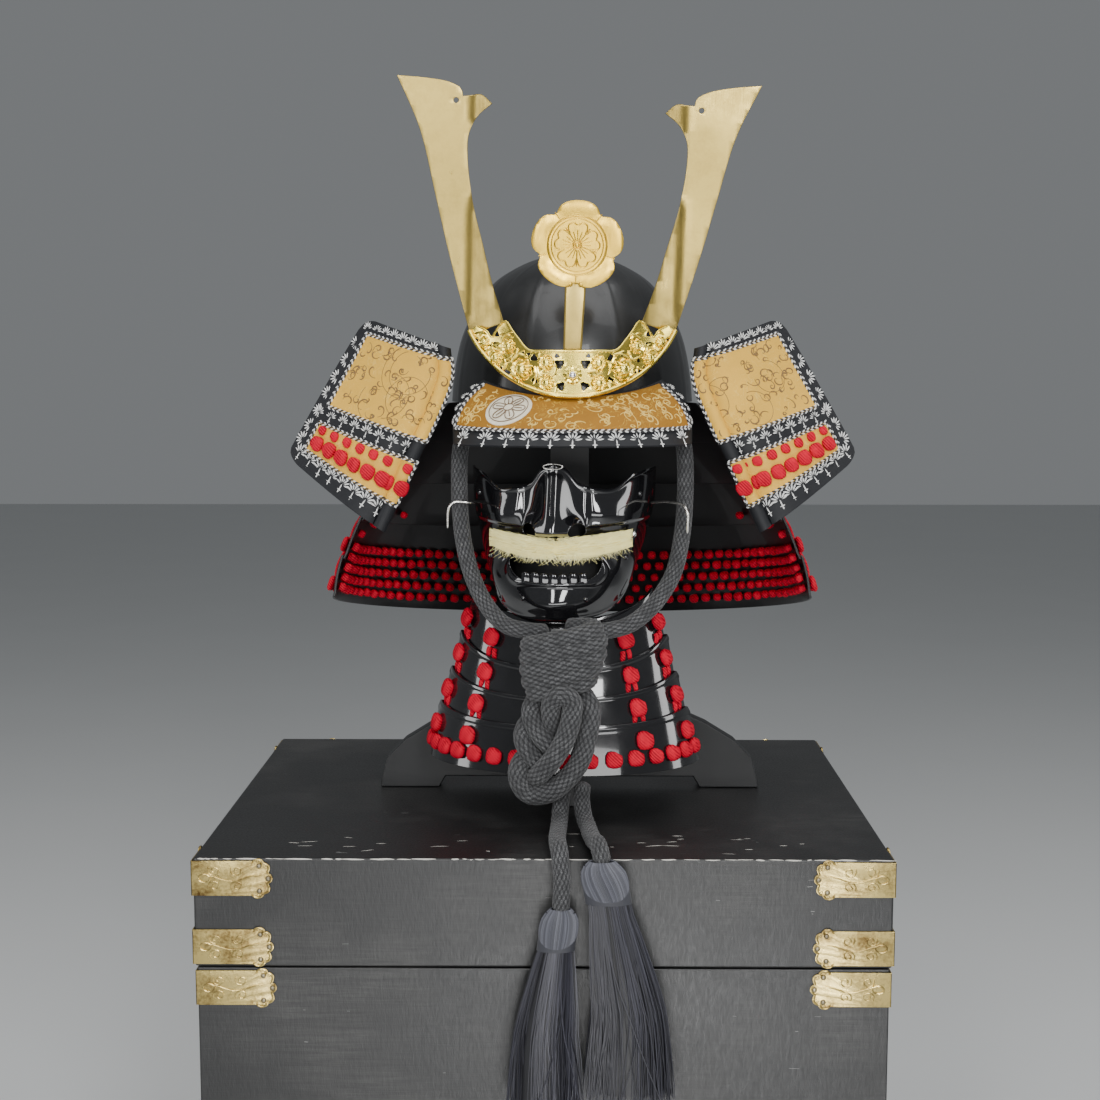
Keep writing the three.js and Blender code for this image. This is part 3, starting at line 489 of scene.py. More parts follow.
def mesh_of(name: str, shape: Shape, seat: Seat) -> bpy.types.Mesh:
    """A Blender mesh of a shape, in metres in the row frame.

    Args:
        name: the mesh's name.
        shape: the shape, in millimetres.
        seat: the place that it is drawn in.

    Returns:
        The mesh.
    """
    mesh = bpy.data.meshes.new(name)
    mesh.from_pydata((seat.put(shape.points) * MM).tolist(), [], shape.faces)
    if shape.corners is not None:
        layer = mesh.uv_layers.new(name="flat")
        layer.data.foreach_set("uv", (shape.corners * MM).astype(np.float32).ravel())
    for mark, values in shape.marks.items():
        attribute = mesh.attributes.new(mark, "FLOAT", "POINT")
        attribute.data.foreach_set("value", values.astype(np.float32))
    mesh.polygons.foreach_set("use_smooth", [True] * len(mesh.polygons))
    mesh.update()
    return mesh


def show(name: str, mesh: bpy.types.Mesh, finish: Finish, crease: float = 38) -> bpy.types.Object:
    """Puts a mesh in the scene with its finish, riding on the body.

    Args:
        name: the piece's name.
        mesh: its mesh, already in place.
        finish: what it is finished in.
        crease: edges sharper than this many degrees stay sharp.

    Returns:
        The piece's object.
    """
    piece = bpy.data.objects.new(name, mesh)
    bpy.context.scene.collection.objects.link(piece)
    mesh.set_sharp_from_angle(angle=math.radians(crease))
    mesh.materials.clear()
    mesh.materials.append(finish.material())
    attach(piece, BODY)
    LOG.info("%s: %d faces", name, len(mesh.polygons))
    return piece


def build(name: str, shape: Shape, seat: Seat, finish: Finish, bevel: float = 0,
          crease: float = 38) -> bpy.types.Object:
    """A shape as a finished piece, with an optional bevel in millimetres.

    Args:
        name: the piece's name.
        shape: the shape, in millimetres.
        seat: the place that it is drawn in.
        finish: what it is finished in.
        bevel: how far its edges are rounded, in millimetres.
        crease: edges sharper than this many degrees stay sharp.

    Returns:
        The piece's object.
    """
    piece = show(name, mesh_of(name, shape, seat), finish, crease)
    if bevel:
        soften(piece, bevel)
    return piece


def soften(piece: bpy.types.Object, width: float, segments: int = 2) -> None:
    """Bevels a piece's sharp edges, width in millimetres.

    Args:
        piece: the piece.
        width: the bevel's width.
        segments: how many faces the bevel has.
    """
    modifier = piece.modifiers.new("bevel", "BEVEL")
    modifier.width = width * MM
    modifier.segments = segments
    modifier.limit_method = "ANGLE"
    modifier.angle_limit = math.radians(38)
    modifier.harden_normals = True


def plain_mesh(source: bpy.types.Object) -> bpy.types.Mesh:
    """The evaluated mesh of an object, which is then removed.

    Args:
        source: the object.

    Returns:
        Its mesh.
    """
    graph = bpy.context.evaluated_depsgraph_get()
    mesh = bpy.data.meshes.new_from_object(source.evaluated_get(graph))
    data = source.data
    bpy.data.objects.remove(source)
    if isinstance(data, bpy.types.Mesh) and data.users == 0:
        bpy.data.meshes.remove(data)
    return mesh


def redress(node: str, frame: dict, finish: Finish, bevel: float) -> bpy.types.Object:
    """A merged and bevelled copy of a solid stands for its node.

    Args:
        node: the solid's node.
        frame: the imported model's bodies, nodes and record.
        finish: what it is finished in.
        bevel: how far its edges are rounded, in millimetres.

    Returns:
        The piece's object.
    """
    mesh = frame["nodes"][node].data.copy()
    work = bmesh.new()
    work.from_mesh(mesh)
    bmesh.ops.remove_doubles(work, verts=work.verts, dist=1e-6)
    bmesh.ops.dissolve_limit(work, angle_limit=math.radians(1), verts=work.verts, edges=work.edges)
    work.to_mesh(mesh)
    work.free()
    mesh.polygons.foreach_set("use_smooth", [True] * len(mesh.polygons))
    piece = show(f"{node}_finished", mesh, finish, 30)
    if bevel:
        soften(piece, bevel)
    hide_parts(node)
    return piece


def cut_plate(outer: Array, holes: Sequence[Array], thick: float, bevel: float, slices: float = 0) -> Shape:
    """A flat plate with holes and softened edges, drawn in x and z with y from 0 forwards to -thick.

    Args:
        outer: its outline.
        holes: outlines cut through it.
        thick: its thickness.
        bevel: how far its edges are rounded.
        slices: where set, the plate is cut into strips this wide, so that it can be bent.

    Returns:
        The plate.
    """
    curve = bpy.data.curves.new("plate", "CURVE")
    curve.dimensions = "2D"
    curve.fill_mode = "BOTH"
    curve.extrude = thick / 2 - bevel
    curve.bevel_depth = bevel
    curve.bevel_resolution = 1
    curve.offset = -bevel
    for outline in [outer, *holes]:
        spline = curve.splines.new("POLY")
        spline.points.add(len(outline) - 1)
        for point, (x, z) in zip(spline.points, outline):
            point.co = (x, z, 0, 1)
        spline.use_cyclic_u = True
    source = bpy.data.objects.new("plate", curve)
    bpy.context.scene.collection.objects.link(source)
    mesh = plain_mesh(source)
    work = bmesh.new()
    work.from_mesh(mesh)
    bmesh.ops.remove_doubles(work, verts=work.verts, dist=1e-4)
    if slices:
        low, high = outer[:, 0].min(), outer[:, 0].max()
        for x in np.arange(low + slices, high, slices):
            geometry = [*work.verts, *work.edges, *work.faces]
            bmesh.ops.bisect_plane(work, geom=geometry, plane_co=(x, 0, 0), plane_no=(1, 0, 0), dist=1e-5)
    work.verts.index_update()
    points = np.array([v.co[:] for v in work.verts])
    faces = [[v.index for v in face.verts] for face in work.faces]
    work.free()
    bpy.data.meshes.remove(mesh)
    placed = np.stack([points[:, 0], -points[:, 2] - thick / 2, points[:, 1]], -1)
    return Shape(placed, faces).outward()


# ---------------------------------------------------------------- what repeats


class NodeTree:
    """A Geometry Nodes tree with named inputs, built once and shared."""

    def __init__(self, name: str, inputs: dict[str, str]) -> None:
        """Makes the tree with its sockets.

        Args:
            name: the tree's name.
            inputs: the socket type of each input, by name.
        """
        self.group = bpy.data.node_groups.new(name, "GeometryNodeTree")
        self.group.interface.new_socket("Points", in_out="INPUT", socket_type="NodeSocketGeometry")
        for label, kind in inputs.items():
            self.group.interface.new_socket(label, in_out="INPUT", socket_type=f"NodeSocket{kind}")
        self.group.interface.new_socket("Result", in_out="OUTPUT", socket_type="NodeSocketGeometry")
        self.given = self.group.nodes.new("NodeGroupInput").outputs
        self.result = self.group.nodes.new("NodeGroupOutput").inputs["Result"]

    def node(self, kind: str, inputs: dict | None = None, **settings: object) -> bpy.types.Node:
        """Adds a node, sets it and joins its inputs.

        Args:
            kind: the node's type.
            inputs: what is set or joined, by input.
            settings: the node's own settings.

        Returns:
            The node.
        """
        made = self.group.nodes.new(kind)
        for key, value in settings.items():
            setattr(made, key, value)
        for key, value in (inputs or {}).items():
            socket = made.inputs[key]
            if isinstance(value, Socket):
                self.group.links.new(value, socket)
            else:
                socket.default_value = value
        return made

    def named(self, mark: str, data_type: str = "FLOAT") -> Socket:
        """The value that the points carry under a name."""
        return self.node("GeometryNodeInputNamedAttribute", {"Name": mark},
                         data_type=data_type).outputs["Attribute"]

    def end(self, geometry: Socket) -> None:
        """Ends the tree: real geometry, smooth, in its finish.

        Args:
            geometry: the tree's geometry.
        """
        real = self.node("GeometryNodeRealizeInstances", {"Geometry": geometry}).outputs[0]
        smooth = self.node("GeometryNodeSetShadeSmooth", {"Geometry": real}).outputs[0]
        dressed = self.node("GeometryNodeSetMaterial", {"Geometry": smooth, "Material": self.given["Finish"]})
        self.group.links.new(dressed.outputs[0], self.result)

    def run(self, source: bpy.types.Object, values: dict[str, object]) -> bpy.types.Mesh:
        """The tree's result on an object as a plain mesh; the object is removed.

        Args:
            source: the object that carries the points or edges.
            values: what the inputs are set to, by name.

        Returns:
            The mesh.
        """
        modifier = source.modifiers.new("tree", "NODES")
        modifier.node_group = self.group
        for item in self.group.interface.items_tree:
            if item.item_type == "SOCKET" and item.in_out == "INPUT" and item.name in values:
                modifier[item.identifier] = values[item.name]
        return plain_mesh(source)


class Repeats:
    """The trees that set small items along surfaces and draw strands."""

    def __init__(self) -> None:
        """Builds both trees."""
        self.items = self._item_tree()
        self.strands = self._strand_tree()

    @staticmethod
    def _item_tree() -> NodeTree:
        """Small items on points, turned to the points' own directions.

        Returns:
            The tree.
        """
        tree = NodeTree(
            "set_items",
            {"Item": "Object", "Wobble": "Float", "Spread": "Float", "Seed": "Int", "Finish": "Material"},
        )
        facing = tree.node(
            "FunctionNodeAlignRotationToVector", {"Vector": tree.named("out", "FLOAT_VECTOR")}, axis="Z"
        )
        aligned = tree.node(
            "FunctionNodeAlignRotationToVector",
            {"Rotation": facing.outputs[0], "Vector": tree.named("along", "FLOAT_VECTOR")},
            axis="X",
            pivot_axis="Z",
        )
        low = tree.node("ShaderNodeMath", {0: tree.given["Wobble"], 1: -1.0}, operation="MULTIPLY")
        turn = tree.node(
            "FunctionNodeRandomValue",
            {"Min": low.outputs[0], "Max": tree.given["Wobble"], "Seed": tree.given["Seed"]},
            data_type="FLOAT_VECTOR",
        )
        turned = tree.node(
            "FunctionNodeRotateRotation",
            {"Rotation": aligned.outputs[0], "Rotate By": turn.outputs["Value"]},
            rotation_space="LOCAL",
        )
        smallest = tree.node("ShaderNodeMath", {0: 1.0, 1: tree.given["Spread"]}, operation="SUBTRACT")
        largest = tree.node("ShaderNodeMath", {0: 1.0, 1: tree.given["Spread"]}, operation="ADD")
        chance = tree.node(
            "FunctionNodeRandomValue",
            {2: smallest.outputs[0], 3: largest.outputs[0], "Seed": tree.given["Seed"]},
            data_type="FLOAT",
        )
        size = tree.node("ShaderNodeMath", {0: tree.named("size"), 1: chance.outputs[1]},
                         operation="MULTIPLY")
        item = tree.node("GeometryNodeObjectInfo", {"Object": tree.given["Item"]})
        placed = tree.node(
            "GeometryNodeInstanceOnPoints",
            {
                "Points": tree.given["Points"],
                "Instance": item.outputs["Geometry"],
                "Rotation": turned.outputs[0],
                "Scale": size.outputs[0],
            },
        )
        tree.end(placed.outputs[0])
        return tree

    @staticmethod
    def _strand_tree() -> NodeTree:
        """Round strands along the input's edges, as thick as their points say.

        Returns:
            The tree.
        """
        tree = NodeTree("draw_strands", {"Sides": "Int", "Finish": "Material"})
        line = tree.node("GeometryNodeMeshToCurve", {"Mesh": tree.given["Points"]})
        ring = tree.node("GeometryNodeCurvePrimitiveCircle",
                         {"Resolution": tree.given["Sides"], "Radius": 1.0})
        body = tree.node(
            "GeometryNodeCurveToMesh",
            {
                "Curve": line.outputs[0],
                "Profile Curve": ring.outputs[0],
                "Scale": tree.named("thick"),
                "Fill Caps": True,
            },
        )
        tree.end(body.outputs[0])
        return tree

    def set_out(
        self, name: str, item: Shape, spots: Spots, seat: Seat, finish: Finish, wobble: float = 0,
        spread: float = 0
    ) -> bpy.types.Mesh:
        """Items on spots as one plain mesh in place.

        Args:
            name: the mesh's name.
            item: one item, drawn about the origin with Z outwards, in millimetres.
            spots: where the items go.
            seat: the place that the spots are drawn in.
            finish: what the items are finished in.
            wobble: the most that an item is turned by chance, in radians.
            spread: the share that an item's size varies by.

        Returns:
            The mesh.
        """
        pattern = bpy.data.objects.new(f"{name}_item", mesh_of(f"{name}_item", item, Seat()))
        source = spots.source(name, seat)
        values = {"Item": pattern, "Wobble": wobble, "Spread": spread, "Seed": SEED,
                  "Finish": finish.material()}
        mesh = self.items.run(source, values)
        bpy.data.objects.remove(pattern)
        return mesh

    def draw(self, name: str, lines: Sequence[Array], thick: Sequence[Array], seat: Seat, finish: Finish,
             sides: int = 3, tones: Array | None = None) -> bpy.types.Mesh:
        """Strands along lines as one plain mesh in place.

        Args:
            name: the mesh's name.
            lines: each strand's points, in millimetres.
            thick: each strand's radius at its points.
            seat: the place that the lines are drawn in.
            finish: what the strands are finished in.
            sides: how many sides a strand has.
            tones: a number for each strand that the finish can read as tone.

        Returns:
            The mesh.
        """
        points = np.concatenate(lines)
        start = np.cumsum([0] + [len(line) for line in lines])
        edges = np.concatenate([np.stack([np.arange(a, b - 1), np.arange(a + 1, b)], -1)
                                for a, b in zip(start, start[1:])])
        mesh = bpy.data.meshes.new(name)
        mesh.from_pydata((seat.put(points) * MM).tolist(), edges.tolist(), [])
        radius = mesh.attributes.new("thick", "FLOAT", "POINT")
        radius.data.foreach_set("value", (np.concatenate(thick) * MM).astype(np.float32))
        if tones is not None:
            tone = mesh.attributes.new("tone", "FLOAT", "POINT")
            tone.data.foreach_set("value", np.repeat(tones, [len(line) for line in lines]).astype(np.float32))
        source = bpy.data.objects.new(name, mesh)
        bpy.context.scene.collection.objects.link(source)
        return self.strands.run(source, {"Sides": sides, "Finish": finish.material()})


@dataclass
class Spots:
    """Where repeated items go.

    Args:
        at: their points, in millimetres.
        out: the direction each item faces.
        along: the direction of each item's X.
        size: each item's size, in units of the item's own.
    """

    at: Array
    out: Array
    along: Array
    size: Array

    def source(self, name: str, seat: Seat) -> bpy.types.Object:
        """An object of bare points that carry the directions and sizes.

        Args:
            name: the object's name.
            seat: the place that the spots are drawn in.

        Returns:
            The object.
        """
        mesh = bpy.data.meshes.new(name)
        mesh.from_pydata((seat.put(self.at) * MM).tolist(), [], [])
        for mark, values in (("out", self.out), ("along", self.along)):
            attribute = mesh.attributes.new(mark, "FLOAT_VECTOR", "POINT")
            attribute.data.foreach_set("vector", seat.swing(values).astype(np.float32).ravel())
        attribute = mesh.attributes.new("size", "FLOAT", "POINT")
        attribute.data.foreach_set("value", np.asarray(self.size, np.float32))
        source = bpy.data.objects.new(name, mesh)
        bpy.context.scene.collection.objects.link(source)
        return source

    @staticmethod
    def joined(parts: Sequence[Spots]) -> Spots:
        """Several sets of spots as one."""
        return Spots(*(np.concatenate([getattr(part, key) for part in parts])
                       for key in ("at", "out", "along", "size")))


def fuse(name: str, meshes: Sequence[bpy.types.Mesh], finish: Finish, crease: float = 50) -> bpy.types.Object:
    """Several meshes in place as one piece of one finish.

    Args:
        name: the piece's name.
        meshes: the meshes, which are removed.
        finish: what it is finished in.
        crease: edges sharper than this many degrees stay sharp.

    Returns:
        The piece's object.
    """
    work = bmesh.new()
    for mesh in meshes:
        work.from_mesh(mesh)
        bpy.data.meshes.remove(mesh)
    joined = bpy.data.meshes.new(name)
    work.to_mesh(joined)
    work.free()
    return show(name, joined, finish, crease)


# ---------------------------------------------------------------- finishes


class Recipe:
    """A material's nodes while they are joined up."""

    def __init__(self, name: str) -> None:
        """Starts a material with its shader.

        Args:
            name: the mesh's name.
        """
        self.material = bpy.data.materials.new(name)
        self.material.use_nodes = True
        self.tree = self.material.node_tree
        self.shader = next(n for n in self.tree.nodes if n.type == "BSDF_PRINCIPLED")
        self.places = self.tree.nodes.new("ShaderNodeTexCoord")

    def node(self, kind: str, inputs: dict | None = None, **settings: object) -> bpy.types.Node:
        """Adds a node, sets it and joins its inputs.

        Args:
            kind: the node's type.
            inputs: what is set or joined, by input.
            settings: the node's own settings.

        Returns:
            The node.
        """
        made = self.tree.nodes.new(kind)
        for key, value in settings.items():
            setattr(made, key, value)
        self.fill(made, inputs or {})
        return made

    def fill(self, node: bpy.types.Node, inputs: dict) -> None:
        """Joins or sets a node's inputs.

        Args:
            node: the node.
            inputs: what is set or joined, by input.
        """
        for key, value in inputs.items():
            socket = node.inputs[key]
            if isinstance(value, Socket):
                self.tree.links.new(value, socket)
            else:
                socket.default_value = value

    def place(self, scale: Triple = (1, 1, 1), turn: Triple = (0, 0, 0), on: str = "Object") -> Socket:
        """Object or UV coordinates, turned and stretched."""
        inputs = {"Vector": self.places.outputs[on], "Scale": scale, "Rotation": turn}
        return self.node("ShaderNodeMapping", inputs).outputs[0]

    def noise(self, place: Socket, scale: float, detail: float = 3, rough: float = 0.5,
              warp: float = 0) -> Socket:
        """Cloudy values from 0 to 1."""
        inputs = {"Vector": place, "Scale": scale, "Detail": detail, "Roughness": rough, "Distortion": warp}
        return self.node("ShaderNodeTexNoise", inputs).outputs[0]

    def cells(self, place: Socket, scale: float) -> Socket:
        """Distances to the edges between scattered cells."""
        inputs = {"Vector": place, "Scale": scale}
        return self.node("ShaderNodeTexVoronoi", inputs, feature="DISTANCE_TO_EDGE").outputs["Distance"]

    def bands(self, place: Socket, scale: float, direction: str = "X", warp: float = 0) -> Socket:
        """Even waves in one direction."""
        inputs = {"Vector": place, "Scale": scale, "Distortion": warp, "Detail": 1.0}
        return self.node("ShaderNodeTexWave", inputs, bands_direction=direction).outputs["Fac"]

    def mark(self, name: str) -> Socket:
        """A number that the mesh carries."""
        return self.node("ShaderNodeAttribute", attribute_name=name).outputs["Fac"]

    def ranged(self, value: Socket, low: float, high: float, start: float = 0, end: float = 1) -> Socket:
        """A value from start to end taken to low to high, clamped."""
        inputs = {"Value": value, "From Min": start, "From Max": end, "To Min": low, "To Max": high}
        return self.node("ShaderNodeMapRange", inputs).outputs[0]

    def maths(self, operation: str, a: Socket | float, b: Socket | float = 0.5) -> Socket:
        """Two values joined by an operation."""
        return self.node("ShaderNodeMath", {0: a, 1: b}, operation=operation).outputs[0]

    def mixed(self, share: Socket, a: Socket | Triple, b: Socket | Triple) -> Socket:
        """A colour between two.

        Args:
            share: the share of b.
            a: the first colour.
            b: the second colour.

        Returns:
            The colour.
        """
        made = self.node("ShaderNodeMix", data_type="RGBA")
        full = [(*c, 1) if isinstance(c, tuple) else c for c in (a, b)]
        for index, value in zip((0, 6, 7), (share, *full)):
            self.fill(made, {index: value})
        return made.outputs[2]

    def bumped(self, height: Socket, distance: float, strength: float, over: Socket | None = None) -> Socket:
        """A bump of this many millimetres, over another where given.

        Args:
            height: the heights.
            distance: how far they rise, in millimetres.
            strength: how strongly they show.
            over: the bump below it, where there is one.

        Returns:
            The normals.
        """
        inputs = {"Height": height, "Distance": distance * MM, "Strength": strength}
        if over is not None:
            inputs["Normal"] = over
        return self.node("ShaderNodeBump", inputs).outputs[0]

    def shade(self, **inputs: object) -> None:
        """Sets or joins the shader's own inputs.

        Args:
            inputs: what is set or joined, by input.
        """
        names = {
            "colour": "Base Color", "rough": "Roughness", "metal": "Metallic", "normal": "Normal",
            "coat": "Coat Weight", "coat_rough": "Coat Roughness", "sheen": "Sheen Weight",
            "sheen_rough": "Sheen Roughness", "specular": "Specular IOR Level", "anisotropic": "Anisotropic",
        }
        ready = {names[k]: (*v, 1) if isinstance(v, tuple) else v for k, v in inputs.items()}
        self.fill(self.shader, ready)


@dataclass(frozen=True)
class Finish:
    """What a piece is finished in.

    Args:
        name: the finish's own name.
        slot: the record's material slot; not used.
    """

    name: str
    slot: str

    def dress(self, recipe: Recipe) -> None:
        """Joins up the material's nodes."""
        raise NotImplementedError

    def material(self) -> bpy.types.Material:
        """The material, made once."""
        ready = bpy.data.materials.get(self.name)
        if ready is None:
            recipe = Recipe(self.name)
            self.dress(recipe)
            ready = recipe.material
        return ready


@dataclass(frozen=True)
class Lacquer(Finish):
    """Lacquer over metal, with faint waves, dust and wipe marks."""

    colour: Triple = (0.006, 0.006, 0.007)
    rough: float = 0.09
    wiped: float = 0.1
    coat: float = 1.0
    wave: float = 0.05

    def dress(self, recipe: Recipe) -> None:
        """Joins up the material's nodes.

        Args:
            recipe: the material's nodes.
        """
        here = recipe.place()
        smudge = recipe.noise(here, 34, 5, 0.6)
        dust = recipe.noise(here, 900, 2, 0.7)
        veil = recipe.maths("MULTIPLY", recipe.ranged(smudge, 0, 1, 0.45, 0.75),
                            recipe.ranged(dust, 0, 1, 0.5, 0.8))
        faded = tuple(min(c * 2.2 + 0.012, 1) for c in self.colour)
        rough = recipe.ranged(smudge, self.rough, self.rough + self.wiped, 0.35, 0.75)
        skin = recipe.bumped(recipe.noise(here, 90, 3, 0.5), self.wave, 0.4)
        recipe.shade(colour=recipe.mixed(veil, self.colour, faded), rough=rough, coat=self.coat,
                     coat_rough=0.04, normal=skin)


@dataclass(frozen=True)
class PrintedLeather(Finish):
    """Black leather with a fine grain."""

    colour: Triple = (0.02, 0.021, 0.023)

    def dress(self, recipe: Recipe) -> None:
        """Joins up the material's nodes.

        Args:
            recipe: the material's nodes.
        """
        here = recipe.place()
        grain = recipe.cells(here, 1300)
        cloud = recipe.noise(here, 60, 4)
        rough = recipe.ranged(cloud, 0.5, 0.66, 0.3, 0.7)
        colour = recipe.mixed(cloud, self.colour, tuple(c * 1.9 for c in self.colour))
        recipe.shade(colour=colour, rough=rough, specular=0.3, normal=recipe.bumped(grain, 0.12, 0.5))


@dataclass(frozen=True)
class Plate(Finish):
    """A metal surface: cast, brushed or chased, with tarnish in its hollows."""

    colour: Triple = (0.9, 0.62, 0.2)
    dull: Triple = (0.5, 0.27, 0.06)
    rough: float = 0.2
    tarnish: float = 0.3
    brushed: float = 0.0
    pitted: float = 0.0
    across: bool = False

    def dress(self, recipe: Recipe) -> None:
        """Joins up the material's nodes.

        Args:
            recipe: the material's nodes.
        """
        here = recipe.place()
        cloud = recipe.noise(here, 45, 5, 0.6)
        fine = recipe.noise(here, 420, 3, 0.6)
        lines = recipe.noise(recipe.place((1, 1, 0.03) if not self.across else (0.03, 1, 1)), 900, 3, 0.7)
        stained = recipe.ranged(recipe.maths("ADD", cloud, recipe.maths("MULTIPLY", fine, 0.4)), 0,
                                self.tarnish, 0.62, 0.95)
        rough = recipe.maths("ADD", recipe.ranged(cloud, self.rough, self.rough + 0.14, 0.3, 0.75),
                             recipe.ranged(lines, 0, 0.22 * self.brushed, 0.3, 0.7))
        height = recipe.maths("ADD", recipe.maths("MULTIPLY", lines, 0.05 * self.brushed),
                              recipe.maths("MULTIPLY", fine, self.pitted))
        recipe.shade(colour=recipe.mixed(stained, self.colour, self.dull), metal=1.0, rough=rough,
                     normal=recipe.bumped(height, 0.5, 0.6))


@dataclass(frozen=True)
class Brocade(Finish):
    """Woven gold ground with a finer woven figure, and painted shade in the gaps of the weave."""

    ground: Triple = (0.33, 0.15, 0.012)
    figure: Triple = (0.7, 0.44, 0.06)

    def dress(self, recipe: Recipe) -> None:
        """Joins up the material's nodes.

        Args:
            recipe: the material's nodes.
        """
        flat = recipe.place((1, 1, 1), on="UV")
        cloud = recipe.noise(flat, 80, 2, 0.5, 1.2)
        rings = recipe.maths("FRACT", recipe.maths("MULTIPLY", cloud, 6.0))
        thread = recipe.maths("LESS_THAN", recipe.maths("ABSOLUTE", recipe.maths("SUBTRACT", rings, 0.5)),
                              0.08)
        patchy = recipe.ranged(recipe.noise(flat, 40, 2), 0, 1, 0.45, 0.6)
        figure = recipe.maths("MULTIPLY", thread, patchy)
        warp = recipe.bands(flat, 420, "X")
        weft = recipe.bands(flat, 520, "Y")
        weave = recipe.maths("MULTIPLY", warp, weft)
        worn = recipe.noise(flat, 22, 4, 0.6)
        ground = recipe.mixed(worn, tuple(c * 0.8 for c in self.ground), tuple(c * 1.3 for c in self.ground))
        figured = recipe.mixed(recipe.maths("MULTIPLY", figure, 0.75), ground, self.figure)
        # painted shade: up to a quarter of the way to dark brown in the gaps between warp and weft
        colour = recipe.mixed(recipe.ranged(weave, 0.25, 0), figured, (0.16, 0.08, 0.03))
        under = recipe.bumped(weave, 0.18, 0.55)
        height = recipe.bumped(figure, 0.3, 0.5, under)
        recipe.shade(colour=colour, rough=recipe.ranged(figure, 0.6, 0.38), metal=0.25, specular=0.25,
                     normal=height)


@dataclass(frozen=True)
class Thread(Finish):
    """Twisted sewing or embroidery thread."""

    colour: Triple = (0.82, 0.82, 0.8)
    rough: float = 0.6
    sheen: float = 0.3

    def dress(self, recipe: Recipe) -> None:
        """Joins up the material's nodes.

        Args:
            recipe: the material's nodes.
        """
        here = recipe.place()
        twist = recipe.bands(recipe.place((1, 1, 1), (0.4, 0.7, 0.5)), 700, "X", 1.5)
        cloud = recipe.noise(here, 300, 2)
        colour = recipe.mixed(cloud, tuple(c * 0.72 for c in self.colour), self.colour)
        recipe.shade(colour=colour, rough=self.rough, sheen=self.sheen,
                     normal=recipe.bumped(twist, 0.15, 0.5))


@dataclass(frozen=True)
class Silk(Finish):
    """Braided silk, with its diagonal plaits."""

    colour: Triple = (0.66, 0.004, 0.03)
    shadow: Triple = (0.22, 0.0, 0.006)
    pitch: float = 1.7

    def dress(self, recipe: Recipe) -> None:
        """Joins up the material's nodes.

        Args:
            recipe: the material's nodes.
        """
        here = recipe.place()
        scale = 1 / (self.pitch * MM) / 6.3
        one = recipe.bands(recipe.place((1, 1, 1), (0.3, 0.75, 0.4)), scale * 1.7, "X", 0.4)
        two = recipe.bands(recipe.place((1, 1, 1), (0.2, -0.75, 0.3)), scale * 1.7, "Z", 0.4)
        plait = recipe.maths("MAXIMUM", one, recipe.maths("MULTIPLY", two, 0.8))
        cloud = recipe.noise(here, 160, 3, 0.6)
        base = recipe.mixed(recipe.ranged(cloud, 0, 1, 0.3, 0.7), tuple(c * 0.75 for c in self.colour),
                            self.colour)
        colour = recipe.mixed(recipe.ranged(plait, 0.85, 0, 0.1, 0.75), base, self.shadow)
        recipe.shade(colour=colour, rough=0.6, specular=0.14, normal=recipe.bumped(plait, 0.6, 0.8))


@dataclass(frozen=True)
class Braid(Finish):
    """Cord braided from dull fibres, with paler flecks and painted shade in the gaps between strands."""

    colour: Triple = (0.02, 0.0205, 0.022)
    fleck: Triple = (0.17, 0.172, 0.176)
    # painted shade: the colour put in the gaps between strands
    gap: Triple = (0.006, 0.006, 0.007)

    def dress(self, recipe: Recipe) -> None:
        """Joins up the material's nodes.

        Args:
            recipe: the material's nodes.
        """
        here = recipe.place()
        fibre = recipe.noise(here, 1500, 3, 0.7)
        cloud = recipe.noise(here, 120, 2)
        worn = recipe.maths("MULTIPLY", recipe.ranged(fibre, 0, 1, 0.42, 0.66),
                            recipe.ranged(cloud, 0.35, 1, 0.35, 0.65))
        base = recipe.mixed(worn, self.colour, self.fleck)
        # painted shade: the colour goes to the gap colour where the relief mark is low
        colour = recipe.mixed(recipe.ranged(recipe.mark("relief"), 1, 0, 0.42, 0.84), base, self.gap)
        recipe.shade(colour=colour, rough=0.85, sheen=0.12, normal=recipe.bumped(fibre, 0.35, 0.8))


@dataclass(frozen=True)
class Hair(Finish):
    """Straight fibres, each a little lighter or darker."""

    dark: Triple = (0.01, 0.01, 0.014)
    light: Triple = (0.075, 0.075, 0.092)
    rough: float = 0.42
    sheen: float = 0.0

    def dress(self, recipe: Recipe) -> None:
        """Joins up the material's nodes.

        Args:
            recipe: the material's nodes.
        """
        colour = recipe.mixed(recipe.mark("tone"), self.dark, self.light)
        rub = recipe.noise(recipe.place(), 600, 2)
        recipe.shade(colour=colour, rough=recipe.ranged(rub, self.rough, self.rough + 0.15), sheen=self.sheen)


@dataclass(frozen=True)
class PaintedBoard(Finish):
    """Satin black paint over wood, a little rubbed."""

    colour: Triple = (0.006, 0.0065, 0.007)

    def dress(self, recipe: Recipe) -> None:
        """Joins up the material's nodes.

        Args:
            recipe: the material's nodes.
        """
        grain = recipe.noise(recipe.place((0.08, 1, 1)), 350, 4, 0.6)
        cloud = recipe.noise(recipe.place(), 30, 4)
        colour = recipe.mixed(recipe.ranged(cloud, 0, 1, 0.4, 0.7), self.colour,
                              tuple(c * 1.7 for c in self.colour))
        recipe.shade(colour=colour, rough=recipe.ranged(cloud, 0.36, 0.5),
                     normal=recipe.bumped(grain, 0.12, 0.5))


